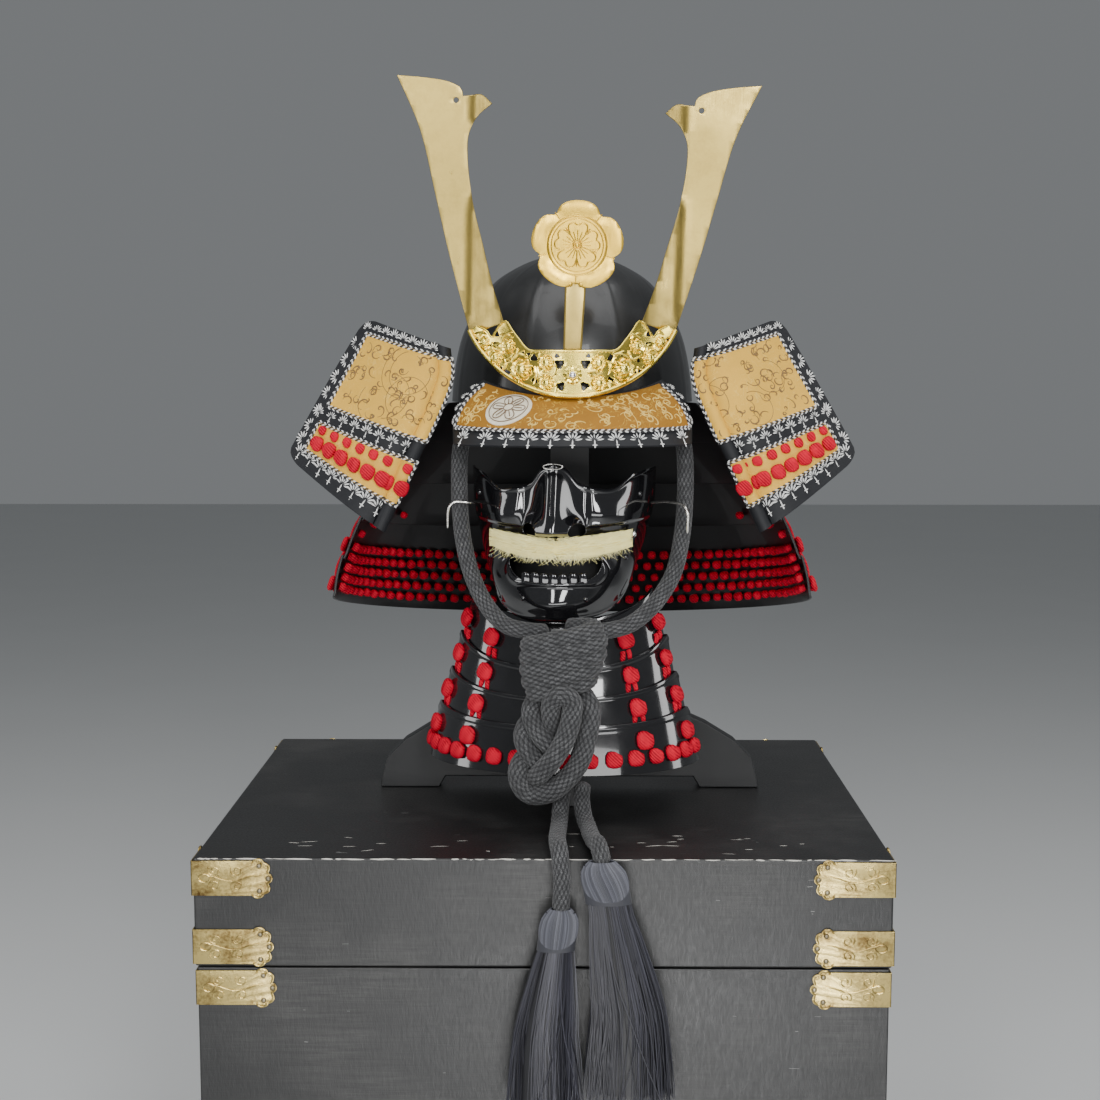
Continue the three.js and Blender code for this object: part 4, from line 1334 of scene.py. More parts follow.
@dataclass(frozen=True)
class ChestLacquer(Finish):
    """Old brushed lacquer on the chest: streaks, scratches, dents and rubbed patches."""

    colour: Triple = (0.006, 0.0061, 0.0062)
    rubbed: Triple = (0.045, 0.044, 0.042)
    rough: float = 0.34

    def dress(self, recipe: Recipe) -> None:
        """Joins up the material's nodes.

        Args:
            recipe: the material's nodes.
        """
        here = recipe.place()
        cloud = recipe.noise(here, 9, 5, 0.6)
        brushed = recipe.noise(recipe.place((0.05, 1, 1)), 420, 4, 0.7)
        stipple = recipe.noise(recipe.place((1, 1, 0.25)), 520, 3, 0.65)
        scratch = recipe.cells(recipe.place((0.045, 1, 1), (0.0, 0.05, 0.02)), 70)
        scored = recipe.maths("MULTIPLY", recipe.maths("LESS_THAN", scratch, 0.006),
                              recipe.maths("GREATER_THAN", recipe.noise(here, 60, 2), 0.71))
        worn = recipe.maths("MULTIPLY", recipe.ranged(cloud, 0, 1, 0.45, 0.75),
                            recipe.ranged(brushed, 0.2, 1, 0.35, 0.7))
        base = recipe.mixed(worn, self.colour, self.rubbed)
        colour = recipe.mixed(scored, base, (0.17, 0.17, 0.165))
        rough = recipe.maths("ADD", recipe.ranged(cloud, self.rough, self.rough + 0.12, 0.3, 0.7),
                             recipe.ranged(stipple, 0, 0.16, 0.35, 0.7))
        fine = recipe.bumped(stipple, 0.3, 0.8)
        recipe.shade(colour=colour, rough=rough, coat=0.2, coat_rough=0.36,
                     normal=recipe.bumped(brushed, 0.25, 0.6, fine))


@dataclass(frozen=True)
class Floor(Finish):
    """A plain pale floor."""

    colour: Triple = (0.62, 0.63, 0.63)

    def dress(self, recipe: Recipe) -> None:
        """Joins up the material's nodes."""
        cloud = recipe.noise(recipe.place(), 3, 4)
        recipe.shade(colour=recipe.mixed(cloud, tuple(c * 0.96 for c in self.colour), self.colour), rough=0.6)


GLOSS = Lacquer("gloss_lacquer", "black_lacquer")
MASK_GLOSS = Lacquer("mask_lacquer", "black_lacquer", rough=0.07, wiped=0.05)
NECK_BLACK = Lacquer("neck_lacquer", "black_lacquer", (0.003, 0.003, 0.0035), 0.38, 0.1, 0.15)
SATIN = Lacquer("satin_lacquer", "black_lacquer", (0.012, 0.0125, 0.013), 0.3, 0.16, 0.15, 0.12)
LEATHER = PrintedLeather("printed_leather", "black_lacquer", (0.007, 0.0075, 0.009))
# painted shade: the near-black cloth behind the mask's mouth and nostrils
SHADE_BACKING = PrintedLeather("lining_cloth", "black_lacquer", (0.004, 0.004, 0.004))
GOLD = Plate("gilt", "gold_plate", (1.0, 0.79, 0.15), (0.6, 0.3, 0.02), 0.15, 0.25, 0.0, 0.12)
CREST_GOLD = Plate("crest_gilt", "gold_plate", (0.84, 0.55, 0.07), (0.5, 0.3, 0.04), 0.24, 0.35, 0.5, 0.05)
SILVER = Plate("silver", "gold_plate", (0.85, 0.83, 0.8), (0.4, 0.38, 0.36), 0.15, 0.2)
HORN_GOLD = Plate("horn_gilt", "pale_gold", (0.48, 0.355, 0.1), (0.3, 0.215, 0.06), 0.24, 0.5, 0.5)
WIRE = Plate("wire", "pale_gold", (0.75, 0.73, 0.68), (0.4, 0.38, 0.33), 0.2, 0.3)
BRASS = Plate("chased_brass", "old_brass", (0.62, 0.48, 0.18), (0.1, 0.05, 0.015), 0.24, 1.0, 0.3, 0.5)
NAIL = Plate("nail", "old_brass", (0.3, 0.26, 0.17), (0.1, 0.07, 0.04), 0.35, 0.6)
PANEL = Brocade("brocade_panel", "brocade")
WING_PANEL = Brocade("wing_brocade", "brocade", (0.8, 0.47, 0.06), (0.9, 0.6, 0.13))
DARK_SCROLL = Thread("outline_thread", "brocade", (0.2, 0.11, 0.03), 0.5, 0.1)
SCROLL = Thread("figure_thread", "brocade", (0.78, 0.52, 0.1), 0.35, 0.2)
CREAM_THREAD = Thread("cream_thread", "brocade", (0.8, 0.74, 0.58), 0.5)
BROWN_THREAD = Thread("brown_thread", "brocade", (0.16, 0.09, 0.04), 0.7)
WHITE_THREAD = Thread("white_thread", "black_lacquer")
BLACK_THREAD = Thread("black_thread", "black_lacquer", (0.012, 0.012, 0.013), 0.6, 0.2)
RED_SILK = Silk("plaited_silk", "red_silk")
CORD_BRAID = Braid("cord_braid", "charcoal_cord")
BINDING = Hair("binding_thread", "charcoal_cord", (0.02, 0.021, 0.028), (0.1, 0.103, 0.125), 0.55, 0.1)
TASSEL_HAIR = Hair("tassel_fibre", "tassel_hair", (0.004, 0.004, 0.006), (0.045, 0.045, 0.06))
CREAM_HAIR = Hair("moustache_hair", "cream_hair", (0.92, 0.8, 0.28), (1.0, 0.95, 0.5), 0.6, 0.1)
STAND_PAINT = PaintedBoard("stand_paint", "stand_black")
CHEST = ChestLacquer("brushed_lacquer", "chest_lacquer")
RUBBED = Thread("rubbed_wood", "chest_lacquer", (0.62, 0.6, 0.55), 0.7, 0.0)
FLOOR = Floor("floor", "")


# ---------------------------------------------------------------- shared places and small items


@dataclass
class Workshop:
    """What every sub-assembly is built with.

    Args:
        frame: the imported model's bodies, nodes and record.
        repeats: the trees that set out small items and strands.
    """

    frame: dict
    repeats: Repeats
    face_turn: float = math.radians(-7)

    def __post_init__(self) -> None:
        """Works out the places of the helmet, the face and the chest's top from the frame."""
        low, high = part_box("bowl")
        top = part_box("chest_lid")[1].z / MM
        origin = ((low.x + high.x) / 2 / MM, (low.y + high.y) / 2 / MM, top)
        self.helmet = Seat(origin)
        self.face = Seat(origin, self.face_turn)
        self.chest_top = Seat((0.0, 0.0, top))


@dataclass(frozen=True)
class Patch:
    """Part of a surface that something is drawn on.

    Args:
        surface: the surface, of u and v.
        face: 1 where the surface's own normal points at the viewer, -1 where it points away.
        lift: how far above it things lie.
        left, right, low, high: the part of u and v that it takes.
    """

    surface: Surface
    face: int = 1
    lift: float = 0.0
    left: float = 0.0
    right: float = 1.0
    low: float = 0.0
    high: float = 1.0

    def uv(self, x: Array, y: Array) -> tuple[Array, Array]:
        """The surface's own u and v for shares across and along the patch."""
        u = mix(self.left, self.right, np.asarray(x, float))
        return u, mix(self.low, self.high, np.asarray(y, float))

    def out(self, x: Array, y: Array) -> Array:
        """The direction away from the surface at shares across and along the patch."""
        return normals_of(self.surface, *self.uv(x, y)) * self.face

    def at(self, x: Array, y: Array, lift: float = 0) -> Array:
        """Points at shares across and along the patch."""
        return self.surface(*self.uv(x, y)) + self.out(x, y) * (self.lift + lift)

    def size(self) -> Pair:
        """Its width and height through the middle."""
        line = np.linspace(0, 1, 33)
        half = np.full_like(line, 0.5)
        return length_of(self.at(line, half)), length_of(self.at(half, line))

    def sheet(self, thick: float, columns: int, rows: int) -> Shape:
        """A sheet that covers the patch."""
        def side(by: float) -> Surface:
            """The patch, moved out."""
            return lambda u, v: self.at(u, v, by)
        return wall(side(thick / 2), side(-thick / 2), columns, rows, self.size())

    def border(self, lift: float = 0, count: int = 80) -> tuple[Array, Array]:
        """The line round it, and the outward directions there.

        Args:
            lift: how far above the surface they lie.
            count: how many points each side has.

        Returns:
            The points and the directions.
        """
        t = np.linspace(0, 1, count)
        zero, one = np.zeros(count), np.ones(count)
        x = np.concatenate([t, one, t[::-1], zero])
        y = np.concatenate([zero, t, one, t[::-1]])
        return self.at(x, y, lift), self.out(x, y)

    def spots(self, x: Array, y: Array, heading: Array | float, size: Array | float = 1,
              lift: float = 0) -> Spots:
        """Spots whose Y points along a heading, in radians from the patch's x towards its y.

        Args:
            x: shares across the patch.
            y: shares along the patch.
            heading: where each Y points.
            size: each item's size.
            lift: how far above the patch they lie.

        Returns:
            The spots.
        """
        x, y = np.broadcast_arrays(np.atleast_1d(np.asarray(x, float)), np.atleast_1d(np.asarray(y, float)))
        out = self.out(x, y)
        across = unit(self.at(x + 2e-3, y) - self.at(x, y))
        away = self.at(x, y + 2e-3) - self.at(x, y)
        along = unit(away - across * np.sum(away * across, -1, keepdims=True))
        angle = np.broadcast_to(np.asarray(heading, float), x.shape)[:, None]
        up = across * np.cos(angle) + along * np.sin(angle)
        sizes = np.broadcast_to(np.asarray(size, float), x.shape).copy()
        return Spots(self.at(x, y, lift), out, np.cross(up, out), sizes)


def petal(length: float, width: float, rise: float, turn: float, start: Pair = (0, 0)) -> Shape:
    """One raised stitch: a leaf that lies in x and y from a start, turned from +Y.

    Args:
        length: its length.
        width: its width.
        rise: how far it stands out.
        turn: how far it is turned from +Y, in radians.
        start: where it starts, in x and y.

    Returns:
        The stitch.
    """
    outline = [(0, 0), (0.5, 0.35), (0.5, 0.72), (0, 1), (-0.5, 0.72), (-0.5, 0.35)]
    c, s = math.cos(turn), math.sin(turn)
    x0, y0 = start
    low = [(x0 + c * x * width + s * y * length, y0 - s * x * width + c * y * length, 0.0) for x,
           y in outline]
    peak = (x0 + s * 0.55 * length, y0 + c * 0.55 * length, rise)
    faces = [(k, (k + 1) % 6, 6) for k in range(6)] + [(5, 4, 3, 2, 1, 0)]
    return Shape(np.array([*low, peak]), faces).outward()


def palmette(stem: bool) -> Shape:
    """An embroidered fan of stitches with Y up, about 13 mm wide, on a stem that ends in a small cross.

    Args:
        stem: whether it has a stem.

    Returns:
        The fan.
    """
    parts = []
    for k in range(-3, 4):
        turn = math.radians(26 * k)
        reach = 6.4 - 0.35 * abs(k)
        parts.append(petal(reach, 1.2, 0.6, turn, (1.9 * math.sin(turn), 1.9 * math.cos(turn))))
    if stem:
        parts.append(petal(6.6, 0.95, 0.45, math.pi, (0, 1.2)))
        parts.append(petal(4.4, 1.0, 0.5, math.pi / 2, (-2.2, -4.2)))
        parts.append(petal(2.6, 1.1, 0.45, math.pi, (0, -4.4)))
    return together(parts)


def capsule(length: float, width: float, rise: float, sides: int = 6) -> Shape:
    """A small rounded stitch along x.

    Args:
        length: its length.
        width: its width.
        rise: how far it stands out.
        sides: how many sides it has.

    Returns:
        The stitch.
    """
    rings = []
    for share, full in ((-0.5, 0.3), (-0.3, 0.9), (0.3, 0.9), (0.5, 0.3)):
        angle = spread_round(sides)
        x = np.full(sides, share * length)
        rings.append(np.stack([x, width / 2 * full * np.cos(angle), rise * full * np.sin(angle)], -1))
    return loft(np.array(rings))


def silk_knot(width: float, tall: float, rise: float) -> Shape:
    """A knot of braid: a squarish pillow with a fold tucked in at one corner, Z outwards.

    Args:
        width: its width.
        tall: its height.
        rise: how far it stands out.

    Returns:
        The knot.
    """
    around = 14
    angle = spread_round(around)
    square = (np.abs(np.cos(angle)) ** 3.2 + np.abs(np.sin(angle)) ** 3.2) ** (-1 / 3.2)
    rings = []
    for share, level in ((0.82, -0.15), (1.0, 0.22), (1.0, 0.5), (0.86, 0.82), (0.6, 0.98), (0.12, 1.04)):
        tuck = 1 - 0.2 * hill(np.abs(angle - 0.95), 0.3) * (share > 0.8)
        x = width / 2 * share * square * tuck * np.cos(angle)
        y = tall / 2 * share * square * tuck * np.sin(angle)
        groove = 0.2 * hill(x * 0.75 - y * 0.66, width * 0.055) * step_up(y, -0.1 * tall, 0.3 * tall)
        rings.append(np.stack([x, y, rise * (level - groove)], -1))
    lobe = capsule(width * 0.3, width * 0.24, rise * 0.3, 8)
    c, n = math.cos(0.95), math.sin(0.95)
    fold = lobe.moved(lambda p: np.stack([c * p[:, 0] - n * p[:, 1] + 0.16 * width,
                                          n * p[:, 0] + c * p[:, 1] + 0.2 * tall, p[:, 2] + 0.62 * rise], -1))
    return together([loft(np.array(rings)), fold])


def rosette(radius: float, rise: float, petals: int) -> Shape:
    """A chrysanthemum seen from the front: two rows of petals round a domed heart, Z outwards.

    Args:
        radius: its radius.
        rise: how far it stands out.
        petals: how many petals each row has.

    Returns:
        The flower.
    """
    around = petals * 4
    angle = spread_round(around)
    rows = [(1.0, -0.3, 0.12), (1.0, 0.3, 0.14), (0.82, 0.8, 0.1), (0.6, 0.5, 0.04), (0.54, 0.85, 0.06),
            (0.36, 1.2, 0.0), (0.1, 1.35, 0.0)]
    rings = []
    for i, (share, level, scallop) in enumerate(rows):
        wave = np.abs(np.cos(petals / 2 * angle + (math.pi / 2 if i > 2 else 0)))
        r = radius * share * (1 - scallop * (1 - wave))
        z = rise * level * (1 - 0.35 * (scallop > 0) * (1 - wave))
        rings.append(np.stack([r * np.cos(angle), r * np.sin(angle), z], -1))
    return loft(np.array(rings))


def dome(radius: float, rise: float, sides: int = 14) -> Shape:
    """A round-headed stud, Z outwards.

    Args:
        radius: its radius.
        rise: how far it stands out.
        sides: how many sides it has.

    Returns:
        The stud.
    """
    angle = spread_round(sides)
    rings = [np.stack([radius * s * np.cos(angle), radius * s * np.sin(angle), np.full(sides, rise * h)], -1)
             for s, h in ((1, -0.3), (1, 0), (0.86, 0.5), (0.55, 0.85), (0.12, 1))]
    return loft(np.array(rings))


@dataclass(frozen=True)
class BraidTrim:
    """The black and white braid that edges a panel.

    Args:
        pitch: the distance between stitches of a row.
        width: the braid's width.
    """

    pitch: float = 5.2
    width: float = 4.0

    def along(self, line: Array, out: Array) -> tuple[Spots, Spots]:
        """White and black stitches along a line on a surface.

        Args:
            line: the line's points, closely spaced.
            out: the surface's normal at each.

        Returns:
            The spots of the white stitches and of the black ones.
        """
        gone = np.concatenate([[0], np.cumsum(np.linalg.norm(np.diff(line, axis=0), axis=1))])
        sets = []
        for shift in (0.0, 0.5):
            rows = []
            for side in (-1, 1):
                marks = np.arange((shift + (0.25 if side > 0 else 0)) * self.pitch, gone[-1], self.pitch)
                at = np.stack([np.interp(marks, gone, line[:, k]) for k in range(3)], -1)
                normal = unit(np.stack([np.interp(marks, gone, out[:, k]) for k in range(3)], -1))
                ahead = np.stack([np.interp(marks + 0.5, gone, line[:, k]) for k in range(3)], -1)
                behind = np.stack([np.interp(marks - 0.5, gone, line[:, k]) for k in range(3)], -1)
                along = unit(ahead - behind)
                across = np.cross(normal, along)
                slant = math.radians(24 * side)
                rows.append(Spots(at + across * side * self.width * 0.25, normal,
                                  along * math.cos(slant) + across * math.sin(slant), np.ones(len(marks))))
            sets.append(Spots.joined(rows))
        return sets[0], sets[1]


@dataclass
class Figure:
    """Scrolls woven into a panel.

    Args:
        patch: the panel.
        lift: how far above its middle they lie.
        seed: what the chance starts from.
        clear: a round place, as shares and a radius, that they keep away from.
    """

    patch: Patch
    lift: float
    seed: int
    clear: Triple = (0.0, 0.0, 0.0)

    def scrolls(self, count: int, arcs: int = 0) -> tuple[list[Array], list[Array]]:
        """Curling stems with leaves, and large arcs where asked.

        Args:
            count: how many stems there are.
            arcs: how many large arcs there are.

        Returns:
            The stems' points and their radii.
        """
        rng = np.random.default_rng(self.seed)
        wide, tall = self.patch.size()
        lines, radii = [], []
        for k in range(count + arcs):
            big = k >= count
            x, y = rng.uniform(4, wide - 4), rng.uniform(4, tall - 4)
            angle, hand = rng.uniform(0, FULL_TURN), rng.choice((-1, 1))
            steps = 40 if big else 18
            t = np.linspace(0, 1, steps)
            if big:
                r = np.full(steps, rng.uniform(14, 24))
                swing = angle + hand * t * rng.uniform(2, 5)
            else:
                r = rng.uniform(2.2, 5.6) * (1 - 0.8 * t)
                swing = angle + hand * t * rng.uniform(3.5, 7.5)
            px, py = x + r * np.cos(swing), y + r * np.sin(swing)
            if not big:
                px = px + (1 - t) ** 2 * rng.uniform(-4, 4)
                py = py + (1 - t) ** 2 * rng.uniform(-4, 4)
            near = np.hypot(px - self.clear[0] * wide, py - self.clear[1] * tall) < self.clear[2] * 0.68
            inside = (px > 2) & (px < wide - 2) & (py > 2) & (py < tall - 2) & ~near
            last = len(t) if inside.all() else int(np.argmin(inside))
            if last < 5:
                continue
            lines.append(self.patch.at(px[:last] / wide, py[:last] / tall, self.lift - 0.6))
            thick = np.full(steps, 0.34) if big else 0.3 + 0.42 * np.sin(math.pi * t) ** 2
            radii.append(thick[:last])
        return lines, radii


# ---------------------------------------------------------------- bowl and peak


@dataclass
class Bowl:
    """The helmet's bowl of riveted plates, whose edges show as faint ridges."""

    shop: Workshop
    wall: float = 2.5
    depth: float = 1.12
    plates: int = 16
    ridge: float = 0.55
    side: tuple[Pair, ...] = (
        (107, 352), (105.4, 370), (102, 392), (96.4, 412), (84.5, 436), (69.3, 456), (52, 468), (31, 477),
        (0.6, 482),
    )

    def radius(self) -> float:
        """The radius of the bowl's lower edge."""
        return self.side[0][0]

    def build(self) -> None:
        """Turns the bowl."""
        line = smooth_path([(r, 0, z) for r, z in self.side], 4.5)
        around = self.plates * 12
        angle = spread_round(around)
        from_ridge = np.abs((angle / FULL_TURN * self.plates + 0.5) % 1 - 0.5) * FULL_TURN / self.plates
        raised = self.ridge * hill(from_ridge, math.radians(0.9))
        outer, inner = [], []
        for r, _, z in line:
            full = r + raised * min(r / 30, 1)
            outer.append(np.stack([full * np.cos(angle), full * np.sin(angle), np.full(around, z)], -1))
            tuck = self.wall * (z - line[0][2]) / (line[-1][2] - line[0][2])
            thin = np.full(around, max(r - self.wall, 0.4))
            inner.append(np.stack([thin * np.cos(angle), thin * np.sin(angle), np.full(around, z - tuck)],
                                  -1))
        rings = np.array(inner[::-1] + outer) * np.array([1, self.depth, 1])
        piece = build("bowl_plates", loft(rings), self.shop.helmet, SATIN)
        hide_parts("bowl")


@dataclass
class Peak:
    """The peak: lacquered plate, brocade panel, braid and embroidered fans."""

    shop: Workshop
    rim: float = 107.6
    depth: float = 1.12
    spread: float = 45.0
    inner: float = 357.0
    lift: float = 15.0
    outer: float = 319.0
    bulge: float = 9.0
    half: float = 98.0
    corner: float = -112.0
    reach: float = 56.0
    wall: float = 2.4
    fans: int = 11

    def surface(self, u: Array, v: Array) -> Array:
        """Its middle surface: u across, v from the brim to the edge.

        Args:
            u: shares across, from 0 to 1.
            v: shares from the brim to the edge.

        Returns:
            The points.
        """
        side = 2 * np.clip(u, 0.002, 0.998) - 1
        turn = np.radians(self.spread) * side
        bend = side * math.pi / 2
        far = self.corner - self.reach * np.maximum(np.cos(bend), 0) ** 0.8
        crown = 5 * np.sin(math.pi * np.clip(v, 0, 1))
        x = mix(self.rim * np.sin(turn), self.half * np.sin(bend), v)
        x = x + self.bulge * side**3 * np.sin(math.pi * np.clip(v, 0, 1))
        y = mix(-self.rim * self.depth * np.cos(turn), far, v) - 0.4 * crown
        return np.stack([x, y, mix(self.inner + self.lift * side * side, self.outer, v) + crown], -1)

    def build(self) -> None:
        """Makes the plate and everything sewn to it."""
        whole = Patch(self.surface, -1)
        plate = build("peak_plate", whole.sheet(self.wall, 96, 12), self.shop.helmet, LEATHER, 0.5)
        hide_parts("peak")
        panel = Patch(self.surface, -1, self.wall / 2 + 0.9, 0.055, 0.945, 0.06, 0.8)
        cloth = build("peak_brocade", panel.sheet(1.0, 90, 10), self.shop.helmet, PANEL, 0.3)
        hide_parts("peak_panel")
        self.edge_with_braid(panel)
        self.embroider()
        self.roundel(panel)
        figure = Figure(panel, 1.1, SEED + 1, clear=(0.235, 0.5, 30))
        mesh = self.shop.repeats.draw("figure", *figure.scrolls(150, 3), self.shop.helmet, SCROLL, 5)
        show("peak_figure", mesh, SCROLL)

    def edge_with_braid(self, panel: Patch) -> None:
        """Braid round the panel's two ends and front.

        Args:
            panel: the panel.
        """
        steps = np.linspace(0, 1, 160)
        ends = np.linspace(0.05, 1, 30)
        x = np.concatenate([np.zeros(30), steps[1:-1], np.ones(30)])
        y = np.concatenate([ends, np.ones(158), ends[::-1]])
        trim(self.shop, "peak_braid", [(panel.at(x, y, 0.7), panel.out(x, y))], self.shop.helmet)

    def roundel(self, panel: Patch) -> None:
        """A cream roundel with a plain flower drawn in brown thread.

        Args:
            panel: the panel that it is sewn to.
        """
        wide, tall = panel.size()
        def place(r: Array, angle: Array, lift: float) -> Array:
            """A point of the roundel."""
            return panel.at(0.235 + r * np.cos(angle) / wide, 0.5 + r * np.sin(angle) / tall, lift)
        rings = [place(np.full(48, r), spread_round(48), h)
                 for r, h in ((19, 0.2), (18.6, 1.0), (17.6, 1.3), (0.5, 1.35))]
        build("peak_roundel", loft(np.array(rings)), self.shop.helmet, CREAM_THREAD)
        lines = [place(np.full(60, r), np.linspace(0, FULL_TURN, 60), 1.45) for r in (15.6, 4.0)]
        t = np.linspace(-1, 1, 15)
        for k in range(6):
            lines.append(place(14.0 - 9.4 * np.abs(t) ** 2.4, FULL_TURN * k / 6 + 0.5 * t, 1.45))
            lines.append(place(np.linspace(5, 11.5, 6), np.full(6, FULL_TURN * k / 6), 1.45))
        thick = [np.full(len(line), 0.42) for line in lines]
        mesh = self.shop.repeats.draw("flower", lines, thick, self.shop.helmet, BROWN_THREAD, 5)
        show("peak_roundel_flower", mesh, BROWN_THREAD)

    def embroider(self) -> None:
        """Fans along the black edge and up both ends."""
        x = 0.5 + np.arcsin(np.linspace(-0.93, 0.93, self.fans)) / math.pi
        edge = Patch(self.surface, -1, self.wall / 2)
        front = edge.spots(x, np.full_like(x, 0.92), -math.pi / 2, 1.08, 0.1)
        sides = [edge.spots([end] * 4, [0.16, 0.34, 0.52, 0.7], heading, 0.62, 0.1)
                 for end, heading in ((0.022, math.pi), (0.978, 0.0))]
        meshes = [
            self.shop.repeats.set_out("peak_fans", palmette(True), front, self.shop.helmet, WHITE_THREAD,
                                      0.08, 0.06),
            self.shop.repeats.set_out("peak_sprigs", palmette(False), Spots.joined(sides), self.shop.helmet,
                                      WHITE_THREAD, 0.08, 0.06),
        ]
        fuse("peak_embroidery", meshes, WHITE_THREAD)


def trim(shop: Workshop, name: str, lines: Sequence[tuple[Array, Array]], seat: Seat) -> None:
    """The black and white braid along several lines, as two pieces.

    Args:
        shop: the workshop.
        name: the pieces' first word.
        lines: each line's points and the surface's normals there.
        seat: the place that they are drawn in.
    """
    braid = BraidTrim()
    pairs = [braid.along(line, out) for line, out in lines]
    for word, index, finish, stitch in (("white", 0, WHITE_THREAD, capsule(3.2, 1.4, 0.85)),
                                        ("black", 1, BLACK_THREAD, capsule(3.4, 1.7, 1.0))):
        spots = Spots.joined([pair[index] for pair in pairs])
        mesh = shop.repeats.set_out(f"{name}_{word}", stitch, spots, seat, finish, 0.06, 0.08)
        show(f"{name}_{word}", mesh, finish)


# ---------------------------------------------------------------- horns and crest


@dataclass
class HornBase:
    """The gilt openwork holder of the horns: pierced plate, chrysanthemums, leaves and a rolled rim."""

    shop: Workshop
    half: float = 88.0
    tip: float = 412.0
    low: float = 357.0
    notch: float = 36.0
    floor: float = 397.0
    horn: float = 421.0
    plate: float = 2.4
    front: float = -131.0
    bend: float = 0.0055
    roses: tuple[Triple, ...] = (
        (21.5, 386, 7.0), (21.5, 369.5, 6.8), (42, 380.5, 9.6), (64, 390, 7.0), (53, 399.5, 6.4),
        (73.5, 403, 5.4),
    )
    piercings: tuple[Triple, ...] = (
        (10.8, 385, 3.6), (10, 367, 3.4), (31, 372, 2.5), (31.5, 390, 2.8), (53.5, 388.5, 2.2),
        (54, 378, 2.6),
        (63, 401, 2.3), (74, 394.5, 2.2), (41.5, 393.5, 2.2), (63, 409.5, 2.2), (13, 391.5, 1.7),
        (15, 377, 1.5),
        (33, 381.5, 1.4), (36, 393, 1.4), (45, 370, 1.6), (30, 364.5, 1.6), (59, 381.5, 1.4), (80, 405, 1.3),
    )

    def arc(self, inside: float, count: int) -> Array:
        """Its lower edge as an arc from tip to tip, a distance inside it.

        Args:
            inside: how far inside the edge it runs.
            count: how many points it has.

        Returns:
            The arc's points, in x and z.
        """
        sag = self.tip - self.low
        radius = (self.half**2 + sag**2) / (2 * sag)
        spread = math.asin(self.half / radius)
        angle = np.linspace(-spread, spread, count)
        r = radius - inside
        return np.stack([r * np.sin(angle), self.low + radius - r * np.cos(angle)], -1)

    def bent(self, points: Array) -> Array:
        """Points of the flat plate, bent to lie round the bowl.

        Args:
            points: its points.

        Returns:
            The bent points.
        """
        moved = points.copy()
        moved[..., 1] += self.bend * np.square(points[..., 0])
        return moved

    def top_edge(self) -> Array:
        """Its upper edge, from right to left: horn, floor and horn again."""
        right = np.array([(80, 417), (72, 413), (67.5, 407.5), (62, 416), (56, self.horn), (50, 413),
                          (45, 406.5),
                          (self.notch, self.floor), (self.notch * 0.6, self.floor - 0.6)])
        left = right[::-1] * np.array([-1, 1])
        return np.concatenate([right, left])

    def build(self) -> None:
        """Cuts, bends and dresses the holder."""
        outer = np.concatenate([self.arc(0, 60), self.top_edge()])
        holes = []
        for i, (x, z, r) in enumerate(self.piercings):
            for side in (-1, 1):
                angle = spread_round(10)
                lobes = r * (1 + 0.28 * np.sin(3 * angle + i))
                holes.append(np.stack([side * (x + lobes * np.cos(angle)), z + lobes * np.sin(angle)], -1))
        plate = cut_plate(outer, holes, self.plate, 0.4, 5)
        plate = plate.moved(lambda p: self.bent(p + vec(0, self.front + self.plate, 0)))
        meshes = [mesh_of("holder", plate, self.shop.helmet), *self.flowers(), self.rim(), *self.leaves()]
        piece = fuse("horn_base_openwork", meshes, GOLD, 35)
        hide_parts("horn_base")
        stud = Spots(vec(0, self.front - 1.6, 376)[None], vec(0, -1, 0)[None], vec(1, 0, 0)[None], np.ones(1))
        mesh = self.shop.repeats.set_out("stud", dome(3.6, 3.2, 18), stud, self.shop.helmet, SILVER)
        show("horn_base_stud", mesh, SILVER)

    def _spots(self, places: Sequence[Triple], proud: float) -> Spots:
        """Spots on the front of the bent plate and at their mirror images.

        Args:
            places: each place's x, z and size.
            proud: how far off the plate they stand.

        Returns:
            The spots.
        """
        rows = np.array([(side * x, z, r) for x, z, r in places for side in ((1,) if x == 0 else (-1, 1))])
        at = self.bent(np.stack([rows[:, 0], np.full(len(rows), self.front - proud), rows[:, 1]], -1))
        out = unit(np.stack([2 * self.bend * rows[:, 0], -np.ones(len(rows)), np.zeros(len(rows))], -1))
        along = unit(np.cross(out, vec(0, 0, 1)))
        return Spots(at, out, along, rows[:, 2])

    def flowers(self) -> list[bpy.types.Mesh]:
        """The chrysanthemums, the middle boss and the beads along the floor."""
        roses = self.shop.repeats.set_out("roses", rosette(1.0, 0.42, 9), self._spots(self.roses, 0.3),
                                          self.shop.helmet, GOLD, 0.1, 0.04)
        boss = self.shop.repeats.set_out("boss", rosette(1.0, 0.24, 12), self._spots([(0, 376, 8.0)], 0.2),
                                         self.shop.helmet, GOLD)
        beads = [(x, self.floor - 2.2, 0.9) for x in np.arange(2.5, 34, 3.1)]
        pearls = self.shop.repeats.set_out("pearls", dome(1.0, 0.9, 8), self._spots(beads, 0.0),
                                           self.shop.helmet, GOLD)
        return [roses, boss, pearls]

    def rim(self) -> bpy.types.Mesh:
        """The rolled lower rim and the narrow upper one."""
        low = self.arc(1.6, 90)
        high = smooth_path(np.insert(self.top_edge(), 1, 0, axis=1), 2.5)
        lines = [
            self.bent(np.stack([low[:, 0], np.full(len(low), self.front - 1.2), low[:, 1]], -1)),
            self.bent(np.stack([high[:, 0] * 0.99, np.full(len(high), self.front - 0.2), high[:, 2] - 0.7],
                               -1)),
        ]
        radii = [np.full(len(lines[0]), 1.9), np.full(len(lines[1]), 0.8)]
        return self.shop.repeats.draw("rim", lines, radii, self.shop.helmet, GOLD, 10)

